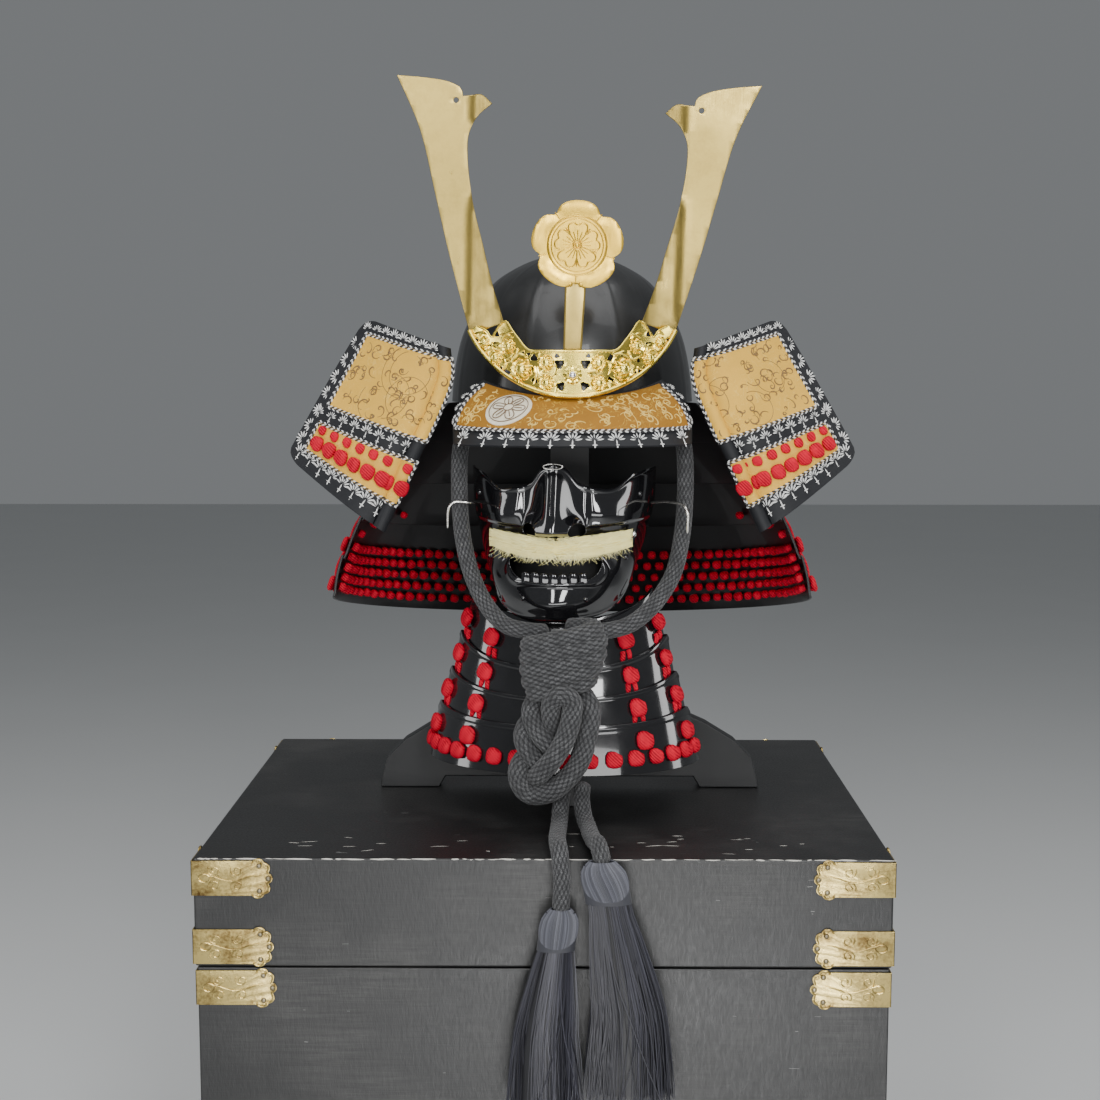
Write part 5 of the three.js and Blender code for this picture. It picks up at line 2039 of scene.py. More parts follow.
    def leaves(self) -> list[bpy.types.Mesh]:
        """Small leaves and curling stems between the flowers.

        Returns:
            The meshes.
        """
        rng = np.random.default_rng(SEED)
        lines, radii = [], []
        for x, z, r in self.roses:
            for side in (-1, 1):
                for k in range(5):
                    angle = FULL_TURN * (k + rng.uniform(-0.2, 0.2)) / 5
                    t = np.linspace(0, 1, 9)
                    reach = r + 1 + 4.5 * t
                    swing = angle + 1.1 * t * (1 if k % 2 else -1)
                    px = side * x + reach * np.cos(swing)
                    pz = z + reach * np.sin(swing)
                    keep = self._inside(px, pz)
                    if keep.sum() < 4:
                        continue
                    line = np.stack([px, np.full(9, self.front - 0.5), pz], -1)[keep]
                    lines.append(self.bent(line))
                    radii.append((0.45 + 0.75 * np.sin(math.pi * (0.15 + 0.8 * t)))[keep])
        return [self.shop.repeats.draw("stems", lines, radii, self.shop.helmet, GOLD, 6)]

    def _inside(self, x: Array, z: Array) -> Array:
        """Which places lie well inside the plate.

        Args:
            x: places across, in millimetres.
            z: heights, in millimetres.

        Returns:
            Whether each lies inside.
        """
        arc = self.arc(2.5, 60)
        top = self.top_edge()[::-1]
        low = np.interp(x, arc[:, 0], arc[:, 1])
        high = np.interp(x, top[:, 0], top[:, 1]) - 1.5
        return (z > low) & (z < high)


@dataclass
class Horns:
    """The two tall horns of thin gilt sheet, each notched and pierced near its tip."""

    shop: Workshop
    base: HornBase
    thick: float = 1.4
    foot: float = 409.0
    edge: tuple[Pair, ...] = (
        (86, 409), (106.5, 480), (117, 521), (131, 574), (150.5, 616), (124.5, 613.8), (107, 610.5),
        (97.5, 605.5),
        (96, 599.5), (81, 600), (71, 591.5), (83.5, 583), (90.5, 570), (91, 549.5), (86, 516), (76, 480),
        (68.5, 453),
        (57, 419),
    )
    runs: tuple[tuple[int, int], ...] = ((0, 4), (4, 8), (8, 10), (10, 17))

    def outline(self) -> Array:
        """The outline, smooth along each edge and sharp at the tips."""
        parts = []
        for start, end in self.runs:
            part = np.array([(x, 0, z) for x, z in self.edge[start:end + 1]])
            parts.append(smooth_path(part, 4)[:-1])
        parts.append(np.array([(self.edge[-1][0], 0, self.edge[-1][1])]))
        return np.concatenate(parts)[:, [0, 2]]

    def leant(self, points: Array, tilt: float) -> Array:
        """A flat horn's points, leant over and bent to lie round the bowl.

        Args:
            points: the points.
            tilt: how far it leans out for each millimetre of its height.

        Returns:
            The points in place.
        """
        x, y, z = points.T
        rise = np.maximum(z - self.foot, 0)
        behind = self.base.front + self.base.plate + 0.3 + self.thick
        back = behind + self.base.bend * np.minimum(np.square(x), self.base.half**2) + 1.2
        ripple = 0.5 * np.sin(rise / 21 + x / 40)
        return np.stack([x + tilt * rise, y + back - 0.06 * rise + ripple, z], -1)

    def build(self) -> None:
        """Cuts both horns."""
        for word, side, lift, lean in (("left", -1, 5, 1.6), ("right", 1, -4, 1.4)):
            outer = self.outline()
            outer = np.stack([side * outer[:, 0],
                              outer[:, 1] + lift * np.clip((outer[:, 1] - 420) / 190, 0, 1)], -1)
            hole = outline_round(side * 101.5, 596 + lift, 2.3, 12)
            flat = cut_plate(outer, [hole], self.thick, 0.3, 6)
            horn = flat.moved(partial(self.leant, tilt=math.tan(math.radians(lean))))
            piece = build(f"horn_{word}_sheet", horn, self.shop.helmet, HORN_GOLD, crease=35)
            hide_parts(f"horn_{word}")


@dataclass
class Crest:
    """The flower-shaped crest on its stem, a five-petalled blossom inside a raised ring."""

    shop: Workshop
    base: HornBase
    z: float = 481.0
    radius: float = 38.0
    dip: float = 5.5
    ring: float = 24.0
    plate: float = 1.6
    y: float = -123.5
    roll: float = math.radians(2.5)

    def placed(self, points: Array) -> Array:
        """Points of the upright crest, rolled about the foot of its stem.

        Args:
            points: its points.

        Returns:
            The points in place.
        """
        c, s = math.cos(self.roll), math.sin(self.roll)
        z = points[..., 2]
        return np.stack([c * points[..., 0] + s * z, points[..., 1] + self.y, -s * points[..., 0] + c * z],
                        -1) + vec(
            0, 0, self.base.floor
        )

    def build(self) -> None:
        """Makes the flower and its stem."""
        angle = spread_round(200)
        notch = np.abs(np.sin(2.5 * angle)) ** 14
        lobe = np.abs(np.sin(2.5 * angle)) ** 3
        r = self.radius - self.dip * 0.35 * lobe - self.dip * 0.8 * notch
        turned = angle + math.pi / 2
        outline = np.stack([r * np.cos(turned), 0.95 * r * np.sin(turned)], -1)
        middle = self.z - self.base.floor
        flat = cut_plate(outline, [], self.plate, 0.45, 4)
        dished = flat.moved(lambda p: self.placed(self._dished(p) + vec(0, -0.3, middle)))
        meshes = [mesh_of("flower", dished, self.shop.helmet), *self.relief(middle)]
        piece = fuse("crest_flower", meshes, CREST_GOLD, 35)
        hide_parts("crest")
        self.stem(middle)

    def _dished(self, p: Array) -> Array:
        """The plate, its lobes swelling a little forwards.

        Args:
            p: the plate's points.

        Returns:
            The points of the swollen plate.
        """
        out = np.hypot(p[:, 0], p[:, 2] / 0.95)
        angle = np.arctan2(p[:, 2], p[:, 0]) - math.pi / 2
        swell = 2.0 * np.sin(np.clip((out - self.ring) / (self.radius - self.ring), 0, 1) * math.pi * 0.8)
        lobe = 1 - np.abs(np.sin(2.5 * angle)) ** 6
        return p + np.stack([np.zeros(len(p)), -swell * lobe, np.zeros(len(p))], -1)

    def relief(self, middle: float) -> list[bpy.types.Mesh]:
        """The ring, the blossom's petals and stamens, and the seams between lobes.

        Args:
            middle: the flower's height above the stem's foot.

        Returns:
            The meshes.
        """
        face = -self.plate - 0.3
        lines, radii = [], []

        def add(points: Array, radius: Array | float) -> None:
            """One raised line on the flower's face."""
            line = np.stack([points[:, 0], np.full(len(points), face), points[:, 1] + middle], -1)
            lines.append(self.placed(line))
            radii.append(np.broadcast_to(radius, len(points)).astype(float))

        for r, thick in ((self.ring, 1.0), (self.ring - 2.8, 0.5)):
            add(outline_round(0, 0, r, 72)[list(range(72)) + [0]], thick)
        for k in range(5):
            turn = math.pi / 2 + k * FULL_TURN / 5
            t = np.linspace(-1, 1, 33)
            reach = 18.6 * (1 - 0.13 * hill(t, 0.16)) * np.sqrt(np.clip(1 - (t * 0.93) ** 6, 0, 1))
            swing = turn + t * math.radians(34)
            add(np.stack([reach * np.cos(swing), reach * np.sin(swing)], -1), 0.65)
            for branch in (-0.32, 0.0, 0.32):
                s = np.linspace(0.22, 0.62 if branch else 0.7, 8)
                add(np.stack([18 * s * np.cos(turn + branch), 18 * s * np.sin(turn + branch)], -1), 0.42)
            seam = np.linspace(3.4, 17, 12)
            split = turn + math.pi / 5
            add(np.stack([seam * np.cos(split), seam * np.sin(split)], -1), 0.55)
            outer = np.linspace(self.ring + 1, self.radius - self.dip, 8)
            add(np.stack([outer * np.cos(split), outer * np.sin(split) * 0.97], -1), 0.45)
        add(outline_round(0, 0, 3.2, 24)[list(range(24)) + [0]], 0.7)
        drawn = self.shop.repeats.draw("lines", lines, radii, self.shop.helmet, CREST_GOLD, 8)
        spots = np.array([(-4.5, middle - 31), (4.5, middle - 31), (0, middle)])
        at = self.placed(np.stack([spots[:, 0], np.full(3, face + 0.2), spots[:, 1]], -1))
        rivets = Spots(at, np.tile(vec(0, -1, 0), (3, 1)), np.tile(vec(1, 0, 0), (3, 1)),
                       np.array([1, 1, 1.1]))
        return [drawn,
                self.shop.repeats.set_out("rivets", dome(2.1, 1.3), rivets, self.shop.helmet, CREST_GOLD)]

    def stem(self, middle: float) -> None:
        """The flat stem with its two raised edges.

        Args:
            middle: the flower's height above the stem's foot.
        """
        tall = middle - 16
        outline = np.array([(-7.5, -8), (7.5, -8), (9, tall), (-9, tall)], float)
        strip = cut_plate(outline, [], 1.6, 0.35).moved(lambda p: self.placed(p + vec(0, 1.9, 0)))
        edges = []
        for side in (-1, 1):
            line = np.stack([np.linspace(side * 6.7, side * 8.2, 12), np.full(12, 0.15),
                             np.linspace(-7, tall, 12)], -1)
            edges.append(self.placed(line))
        ribs = self.shop.repeats.draw("ribs", edges, [np.full(12, 0.7)] * 2, self.shop.helmet, HORN_GOLD, 8)
        piece = fuse("crest_stem_strip", [mesh_of("strip", strip, self.shop.helmet), ribs], HORN_GOLD, 35)
        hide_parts("crest_stem")


# ---------------------------------------------------------------- neck guard and wings


@dataclass
class NeckGuard:
    """Five flaring plates laced with red silk, inside and out."""

    shop: Workshop
    top: float = 350.0
    half: float = 112.0
    back: float = 122.0
    half_rim: float = 214.0
    back_rim: float = 181.0
    rim: float = 172.0
    slope: float = 0.21
    plates: int = 5
    edge: float = math.radians(101)
    lift: float = 3.4
    wall: float = 2.0

    def point(self, turn: Array, t: Array, lift: Array | float) -> Array:
        """A point of the guard: turn from the back's middle, t from brim to rim, lift outwards.

        Args:
            turn: angles from the back's middle.
            t: shares from the brim to the rim.
            lift: how far outwards the point lies.

        Returns:
            The points.
        """
        flare = 1 - (1 - np.clip(t, 0, 1)) ** 1.5
        half = mix(self.half, self.half_rim, flare)
        back = mix(self.back, self.back_rim, flare)
        x, y = half * np.sin(turn), back * np.cos(turn)
        out = unit(np.stack([np.sin(turn) / half, np.cos(turn) / back], -1))
        z = mix(self.top, self.rim - self.slope * y, t)
        return np.stack([x + out[..., 0] * lift, y + out[..., 1] * lift, z], -1)

    def outward(self, turn: Array, t: Array) -> Array:
        """The guard's outward direction, tipped up as the plates are.

        Args:
            turn: angles from the back's middle.
            t: shares from the brim to the rim.

        Returns:
            The directions.
        """
        level = unit(self.point(turn, t, 1.0) - self.point(turn, t, 0.0))
        steep = 0.45 * np.sqrt(1 - np.clip(t, 0, 1)) + 0.25
        level[..., 2] = steep
        return unit(level)

    def lame(self, index: int, by: float) -> Surface:
        """One side of a plate.

        Args:
            index: the plate's number, 0 at the top.
            by: how far outwards the side lies.

        Returns:
            The side's surface.
        """
        tall = 1 / self.plates
        top = index * tall - (0.022 if index else 0)
        low = (index + 1) * tall

        def place(u: Array, v: Array) -> Array:
            """A point of the side."""
            turn = mix(-self.edge, self.edge, u)
            stand = self.lift * (1 - v) if index else 0.0
            curl = 1.2 * np.maximum(v - 0.9, 0) / 0.1
            return self.point(turn, mix(top, low, v), stand + by + curl)

        return place

    def build(self) -> None:
        """Makes the plates and their lacing."""
        for i in range(self.plates):
            shape = wall(self.lame(i, self.wall / 2), self.lame(i, -self.wall / 2), 120, 8, (700, 36))
            piece = build(f"neck_lame_{i + 1}", shape, self.shop.helmet, NECK_BLACK, 0.6)
            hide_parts(f"neck_plate_{i + 1}")
        self.lace_inside()
        self.lace_outside()

    def _spots(self, share: Array, t: float, lift: float, inside: bool, size: float) -> Spots:
        """Spots round the guard at one height.

        Args:
            share: shares of the way round.
            t: the height, as a share from the brim to the rim.
            lift: how far outwards they lie.
            inside: whether they face inwards.
            size: each item's size.

        Returns:
            The spots.
        """
        turn = mix(-self.edge, self.edge, share)
        level = np.full_like(turn, t)
        out = self.outward(turn, level) * (-1 if inside else 1)
        ahead = self.point(turn + 1e-3, level, 0.0) - self.point(turn - 1e-3, level, 0.0)
        return Spots(self.point(turn, level, lift), out, unit(ahead), np.full(len(turn), size))

    def lace_inside(self) -> None:
        """Five close rows of small knots inside, and a few single ones above them."""
        rows = []
        for i, t in enumerate((0.73, 0.782, 0.834, 0.886, 0.938)):
            count = 50
            share = (np.arange(count) + 0.25 + 0.5 * (i % 2)) / count
            rows.append(self._spots(0.02 + 0.96 * share, t, -3.2, True, 1.0))
        for t, shares, size in ((0.52, (0.07, 0.93), 1.15), (0.47, (0.14, 0.86), 0.9),
                                (0.55, (0.19, 0.81), 0.9),
                                (0.66, (0.03, 0.97), 1.0), (0.6, (0.1, 0.9), 1.0)):
            rows.append(self._spots(np.array(shares), t, -3.0, True, size))
        knot = silk_knot(8.2, 7.8, 5.4)
        mesh = self.shop.repeats.set_out("inner", knot, Spots.joined(rows), self.shop.helmet, RED_SILK, 0.16,
                                         0.08)
        piece = show("neck_knots_inside", mesh, RED_SILK)
        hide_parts("neck_lacing_inside")

    def lace_outside(self) -> None:
        """Four rows of broad flat knots outside, with a pair of strands below each."""
        count = 40
        share = 0.03 + 0.94 * (np.arange(count) + 0.5) / count
        levels = (0.32, 0.52, 0.72, 0.92)
        rows = [self._spots(share, t, 4.4, False, 1.0) for t in levels]
        knot = silk_knot(13.5, 14.5, 4.2)
        knots = self.shop.repeats.set_out("outer", knot, Spots.joined(rows), self.shop.helmet, RED_SILK, 0.12,
                                          0.07)
        lines, radii = [], []
        for t in levels[:-1]:
            for s in share:
                turn = mix(-self.edge, self.edge, s)
                for side in (-0.014, 0.014):
                    drop = np.linspace(t + 0.035, t + 0.165, 6)
                    lift = 3.0 + 1.6 * np.sin(np.linspace(0, math.pi, 6))
                    lines.append(self.point(np.full(6, turn + side), drop, lift))
                    radii.append(np.full(6, 1.5))
        pairs = self.shop.repeats.draw("pairs", lines, radii, self.shop.helmet, RED_SILK, 6)
        piece = fuse("neck_knots_outside", [knots, pairs], RED_SILK)
        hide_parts("neck_lacing_outside")


class Side(Enum):
    """The two sides of the helmet, as someone who looks at the mask sees them."""

    LEFT = -1
    RIGHT = 1


@dataclass
class Wing:
    """One turned-back wing: black leather, two brocade panels, braid, fans and red knots."""

    shop: Workshop
    side: Side
    wall: float = 2.2
    flange_y: float = -46.0
    inner_y: float = -106.0
    outer_y: float = -64.0
    curl: float = 5.5
    bulge: float = 13.0
    fold: float = 0.3
    curled: float = 0.45
    corner: float = 0.14
    levels: tuple[float, ...] = (0, 0.2, 0.4, 0.7, 1)
    flange: tuple[Pair, ...] = ((113, 352), (138, 330), (155, 309), (173, 280), (184, 252))
    inner: tuple[Pair, ...] = ((101, 398), (99.5, 373), (110, 344), (132, 298), (157, 244))
    outer: tuple[Pair, ...] = ((176, 424), (193, 397), (208, 372), (229, 336), (246, 306))

    def _edge(self, rows: tuple[Pair, ...], y: float, v: Array) -> Array:
        """A point of one of the wing's upright lines.

        Args:
            rows: the line's stations, in x and z.
            y: the line's depth.
            v: shares from top to bottom.

        Returns:
            The points.
        """
        x = Course(self.levels, tuple(row[0] for row in rows)).at(v)
        z = Course(self.levels, tuple(row[1] for row in rows)).at(v)
        return np.stack([x, np.full_like(x, y), z], -1)

    def surface(self, u: Array, v: Array) -> Array:
        """The middle surface: u from the neck guard round the fold to the free edge, v from top to bottom.

        Args:
            u: shares from the neck guard to the free edge.
            v: shares from top to bottom.

        Returns:
            The points.
        """
        u, v = np.broadcast_arrays(np.asarray(u, float), np.asarray(v, float))
        near_edge = np.clip((u - (1 - self.corner * 0.62)) / (self.corner * 0.62), 0, 1)
        pull = self.corner * 0.55 * (1 - np.sqrt(np.maximum(1 - near_edge**2, 0)))
        v = mix(pull, 1 - pull, v)
        inner = self._edge(self.inner, self.inner_y, v)
        flange = self._edge(self.flange, self.flange_y, v)
        outer = self._edge(self.outer, self.outer_y, v)
        root = inner + vec(1.5, self.curl, 0)
        level = outer - inner
        level[..., 1] = 0
        away = unit(level)
        flat = mix(flange, root, (u / self.fold)[..., None])
        angle = math.pi * (u - self.fold) / (self.curled - self.fold)
        bend = root + away * (self.curl * (1 - np.cos(angle)))[..., None]
        bend = bend - vec(0, 1, 0) * (self.curl * np.sin(angle))[..., None]
        s = (u - self.curled) / (1 - self.curled)
        front = mix(root + away * 2 * self.curl, outer, s[..., None])
        front = front - vec(0, 1, 0) * (self.bulge * np.sin(math.pi * np.clip(s, 0, 1) ** 0.62))[..., None]
        u3 = u[..., None]
        point = np.where(u3 <= self.fold, flat, np.where(u3 <= self.curled, bend, front))
        return point * vec(self.side.value, 1, 1)

    def patch(self, left: float, right: float, low: float, high: float, lift: float) -> Patch:
        """Part of the wing's face, with its lift turned to the front."""
        return Patch(self.surface, -self.side.value, lift, left, right, low, high)

    def build(self) -> None:
        """Makes the wing and all that is sewn to it."""
        word = self.side.name.lower()
        body = sheet(self.surface, self.wall, 96, 40, (230, 140))
        piece = build(f"wing_{word}_leather", body, self.shop.helmet, LEATHER, 0.7)
        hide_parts(f"wing_{word}")
        lift = self.wall / 2 + 0.7
        upper = self.patch(0.33, 0.925, 0.08, 0.56, lift)
        lower = self.patch(0.33, 0.925, 0.668, 0.878, lift)
        cloths = [mesh_of("cloth", patch.sheet(1.0, 60, rows), self.shop.helmet)
                  for patch, rows in ((upper, 30), (lower, 14))]
        figure = Figure(upper, 0.95, SEED + self.side.value)
        scrolls = self.shop.repeats.draw("figure", *figure.scrolls(80, 7), self.shop.helmet, DARK_SCROLL, 5)
        show(f"wing_{word}_figure", scrolls, DARK_SCROLL)
        cloth = fuse(f"wing_{word}_brocade", cloths, WING_PANEL)
        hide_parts(f"wing_panel_{word}")
        trim(self.shop, f"wing_{word}_braid", [upper.border(0.5), lower.border(0.5)], self.shop.helmet)
        self.embroider(word)
        self.lace(word, lower)

    def embroider(self, word: str) -> None:
        """Fans in the black borders.

        Args:
            word: the wing's side.
        """
        face = self.patch(self.curled, 1.0, 0.0, 1.0, self.wall / 2 + 0.15)
        up, out = -math.pi / 2, 0.0
        rows = [
            (np.linspace(0.06, 0.9, 8), np.full(8, 0.05), up, 0.84),
            (np.linspace(0.03, 0.92, 8), np.full(8, 0.616), up, 0.84),
            (np.linspace(0.03, 0.9, 8), np.full(8, 0.925), up, 1.1),
            (np.full(7, 0.93), np.linspace(0.14, 0.83, 7), out, 0.95),
        ]
        stemmed = Spots.joined([face.spots(x, y, heading, size) for x, y, heading, size in rows[1:3]])
        plain = Spots.joined([face.spots(x, y, heading, size) for x, y, heading, size in (rows[0], rows[3])])
        meshes = [
            self.shop.repeats.set_out("stemmed", palmette(True), stemmed, self.shop.helmet, WHITE_THREAD, 0.1,
                                      0.07),
            self.shop.repeats.set_out("plain", palmette(False), plain, self.shop.helmet, WHITE_THREAD, 0.1,
                                      0.07),
        ]
        fuse(f"wing_{word}_embroidery", meshes, WHITE_THREAD)

    def lace(self, word: str, lower: Patch) -> None:
        """A row of small knots over a row of large ones.

        Args:
            word: the wing's side.
            lower: the lower panel.
        """
        x = np.linspace(0.06, 0.93, 8)
        small = lower.spots(x, np.full(8, 0.2), math.pi / 2, 0.64, 0.3)
        large = lower.spots(x - 0.015, np.full(8, 0.63), math.pi / 2, 1.0, 0.3)
        knot = silk_knot(12.8, 13.2, 5.2)
        mesh = self.shop.repeats.set_out("knots", knot, Spots.joined([small, large]), self.shop.helmet,
                                         RED_SILK,
                                         0.14, 0.07)
        piece = show(f"wing_{word}_knots", mesh, RED_SILK)
        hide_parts(f"wing_lacing_{word}")


# ---------------------------------------------------------------- mask, moustache and throat guard


@dataclass
class Mask:
    """The half mask of black lacquer: nose, cheeks, mouth with teeth, studs and wire loops."""

    shop: Workshop
    wall: float = 2.4
    back: float = -50.0
    spread: float = 84.0
    chin: float = 172.0
    side: float = 216.0
    mouth_half: float = 39.0
    mouth_low: float = 205.0
    mouth_high: float = 223.0
    levels: tuple[float, ...] = (0, 0.15, 0.35, 0.6, 0.8, 1)
    half: tuple[float, ...] = (62, 67, 73, 77.5, 79, 79)
    deep: tuple[float, ...] = (74, 77, 75, 76, 74, 72)
    top_at: tuple[float, ...] = (0, 10, 20, 38, 49, 62, 78)
    top: tuple[float, ...] = (304, 299, 287, 282, 283, 293, 298)

    def relief(self, x: Array, z: Array) -> Array:
        """How far the face stands out: nose, cheeks, folds, lips and chin.

        Args:
            x: places across, in millimetres.
            z: heights, in millimetres.

        Returns:
            How far it stands out, in millimetres.
        """
        wide = np.abs(x)
        ridge = np.clip((305 - z) / 61, 0, 1)
        nose = (7 + 17 * ridge) * step_up(z, 239, 248) * hill(x, mix(6.5, 12, ridge))
        wings = 7 * hill(wide - 17, 5.5) * hill(z - 250, 6.5)
        cheek = 6 * hill(wide - 44, 11) * hill(z - 262, 10)
        fold = -5 * hill(wide - 36 - 0.5 * (236 - z), 5.5) * hill(z - 234, 15)
        lips = 4 * hill(z - 213, 13) * hill(x, 34)
        chin = 7 * hill(z - 184, 9) * hill(x, 17)
        overhang = 3.4 * step_up(z - 0.1 * wide, 246, 249) * step_up(wide, 24, 32)
        groove = -1.3 * hill(x, 1.3) * step_up(z, 250, 262)
        lip_rim = 1.5 * hill(self.from_mouth(x, z), 1.5)
        return nose + wings + cheek + fold + lips + chin + overhang + groove + lip_rim

    def from_mouth(self, x: Array, z: Array) -> Array:
        """The distance from just outside the mouth's edge.

        Args:
            x: places across, in millimetres.
            z: heights, in millimetres.

        Returns:
            The distance, in millimetres.
        """
        tall = (self.mouth_high - self.mouth_low) / 2
        level = (self.mouth_high + self.mouth_low) / 2
        away = np.maximum(np.abs(x) - (self.mouth_half - tall), 0)
        return np.abs(np.hypot(away, np.maximum(np.abs(z - level), 0)) - tall - 1.8)

    def surface(self, u: Array, v: Array) -> Array:
        """Its outer surface: u across, v from the jaw to the upper edge.

        Args:
            u: shares across, from 0 to 1.
            v: shares from the jaw to the upper edge.

        Returns:
            The points.
        """
        side = 2 * np.clip(u, 0, 1) - 1
        v = np.clip(v, 0, 1)
        turn = np.radians(self.spread) * side
        half = Course(self.levels, self.half).at(v)
        deep = Course(self.levels, self.deep).at(v)
        x = half * np.sin(turn)
        low = mix(self.chin, self.side, np.abs(side) ** 3)
        z = mix(low, Course(self.top_at, self.top).at(np.abs(x)), v)
        out = self.relief(x, z)
        rolled = 1.3 * hill(v - 0.985, 0.012) + 0.9 * hill(v - 0.015, 0.015)
        out = out + rolled
        return np.stack([x + out * 0.3 * np.sin(turn), self.back - (deep + out) * np.cos(turn), z], -1)

    def inside(self, u: Array, v: Array) -> Array:
        """Its inner surface, a wall's thickness behind the outer one."""
        near = np.clip(u, 0.002, 0.998), np.clip(v, 0.002, 0.998)
        return self.surface(u, v) - normals_of(self.surface, *near) * self.wall

    def place(self, x: Array, z: Array) -> tuple[Array, Array]:
        """The u and v where the surface lies at a place across x and up z.

        Args:
            x: places across, in millimetres.
            z: heights, in millimetres.

        Returns:
            The u and the v.
        """
        x, z = np.asarray(x, float), np.asarray(z, float)
        side = np.arcsin(np.clip(x / 77, -1, 1)) / math.radians(self.spread)
        low = mix(self.chin, self.side, np.abs(side) ** 3)
        high = Course(self.top_at, self.top).at(np.abs(x))
        return 0.5 + side / 2, np.clip((z - low) / (high - low), 0, 1)

    def at(self, x: Array, z: Array, lift: float = 0) -> Array:
        """The point of the surface at a place across x and up z."""
        u, v = self.place(x, z)
        return self.surface(u, v) + normals_of(self.surface, u, v) * lift

    def build(self) -> None:
        """Makes the mask with its openings, teeth, studs and loops."""
        body = wall(self.surface, self.inside, 210, 150, (240, 130))
        shell = build("mask_shell", body, self.shop.face, MASK_GLOSS, crease=60)
        cutter = mesh_of("mouth", together([self._through(outline) for outline in self._openings()]),
                         self.shop.face)
        tool = bpy.data.objects.new("openings", cutter)
        bpy.context.scene.collection.objects.link(tool)
        cut = shell.modifiers.new("cut", "BOOLEAN")
        cut.object = tool
        cut.operation = "DIFFERENCE"
        cut.solver = "MANIFOLD"
        graph = bpy.context.evaluated_depsgraph_get()
        mesh = bpy.data.meshes.new_from_object(shell.evaluated_get(graph))
        shell.modifiers.clear()
        shell.data = mesh
        mesh.materials.clear()
        mesh.materials.append(MASK_GLOSS.material())
        bpy.data.objects.remove(tool)
        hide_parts("mask")
        self.teeth()
        # painted shade: a near-black sheet behind the mouth and nostrils
        self.shade_backing()
        self.metal()

    def _openings(self) -> list[Array]:
        """The outlines of the mouth and the nostrils, in x and z."""
        h, low, high = self.mouth_half, self.mouth_low, self.mouth_high
        lips = smooth_path([(-h, 0, high - 1), (-h + 3, 0, low + 7), (-h + 12, 0, low + 1), (0, 0, low - 1),
                            (h - 12, 0, low + 1), (h - 3, 0, low + 7), (h, 0, high - 1),
                            (h - 9, 0, high + 0.5),
                            (12, 0, high - 1.5), (0, 0, high), (-12, 0, high - 1.5), (-h + 9, 0, high + 0.5)],
                           2.5, closed=True)[:-1]
        rounds = [smooth_path([(s * 14, 0, 244), (s * 20, 0, 242.5), (s * 26, 0, 246), (s * 25, 0, 252),
                               (s * 19, 0, 254), (s * 14.5, 0, 250)], 1.2, closed=True)[:-1] for s in (-1, 1)]
        return [line[:, [0, 2]] for line in (lips, *rounds)]

    def _through(self, outline: Array) -> Shape:
        """A bar of this outline through the face."""
        rings = [np.stack([outline[:, 0], np.full(len(outline), y), outline[:, 1]], -1)
                 for y in (-185.0, -88.0)]
        return loft(np.array(rings))

    def teeth(self) -> None:
        """A row of lacquered lower teeth behind the lip."""
        parts = []
        for k in range(-3, 4):
            x = k * 8.6
            base = self.at(np.array(x), np.array(self.mouth_low + 2.0), -1.2)
            rings = []
            for share, full in ((0, 1), (0.35, 1.03), (0.75, 0.95), (0.95, 0.7), (1, 0.3)):
                angle = spread_round(12)
                square = (np.abs(np.cos(angle)) ** 3 + np.abs(np.sin(angle)) ** 3) ** (-1 / 3)
                rings.append(base + np.stack([3.9 * full * square * np.cos(angle),
                                              1.7 * full * square * np.sin(angle),
                                              np.full(12, -5 + 10.5 * share)], -1))
            parts.append(loft(np.array(rings)))
        build("mask_teeth", together(parts), self.shop.face, MASK_GLOSS, crease=50)

    def shade_backing(self) -> None:
        """A near-black cloth inside the mask, laid behind the mouth and nostrils as painted shade."""
        def place(u: Array, v: Array) -> Array:
            """The sheet of painted shade, a hand's breadth of cloth behind the mouth and nose."""
            side = 1.5 * u - 0.75
            turn = np.radians(self.spread) * side
            z = mix(190, 262, v)
            return np.stack([62 * np.sin(turn), self.back - 58 * np.cos(turn), z], -1)
        build("mask_lining", sheet(place, 1.0, 40, 12, (150, 70)), self.shop.face, SHADE_BACKING)

    def metal(self) -> None:
        """Studs, the loops at the bridge and a silver boss by the moustache."""
        places = np.array([(s * x, z) for x, z in ((66, 276), (60, 224), (30, 190)) for s in (-1, 1)], float)
        u, v = self.place(places[:, 0], places[:, 1])
        out = normals_of(self.surface, u, v)
        spots = Spots(self.at(places[:, 0], places[:, 1], 0.2), out, unit(np.cross(out, vec(0, 0, 1))),
                      np.full(len(places), 1.0))
        mesh = self.shop.repeats.set_out("studs", dome(2.3, 1.7), spots, self.shop.face, MASK_GLOSS)
        show("mask_studs", mesh, MASK_GLOSS)
        lines, radii = [], []
        for s in (-1, 1):
            t = np.linspace(0, math.pi, 14)
            foot = self.at(np.array(s * 0.8), np.array(300.0), 0.6)
            lines.append(foot + np.stack([s * 7.5 * np.sin(t), -1.6 * np.sin(t), 2.2 * np.cos(t) + 1.2], -1))
            radii.append(np.full(14, 0.6))
        loops = self.shop.repeats.draw("loops", lines, radii, self.shop.face, WIRE, 8)
        show("mask_loops", loops, WIRE)
        where = self.at(np.array(63.0), np.array(243.0), 0.2)
        boss = Spots(where[None], vec(0.55, -0.8, 0)[None], vec(0, 0, 1)[None], np.ones(1))
        show("mask_boss", self.shop.repeats.set_out("boss", dome(3.4, 4.2, 18), boss, self.shop.face, SILVER),
             SILVER)


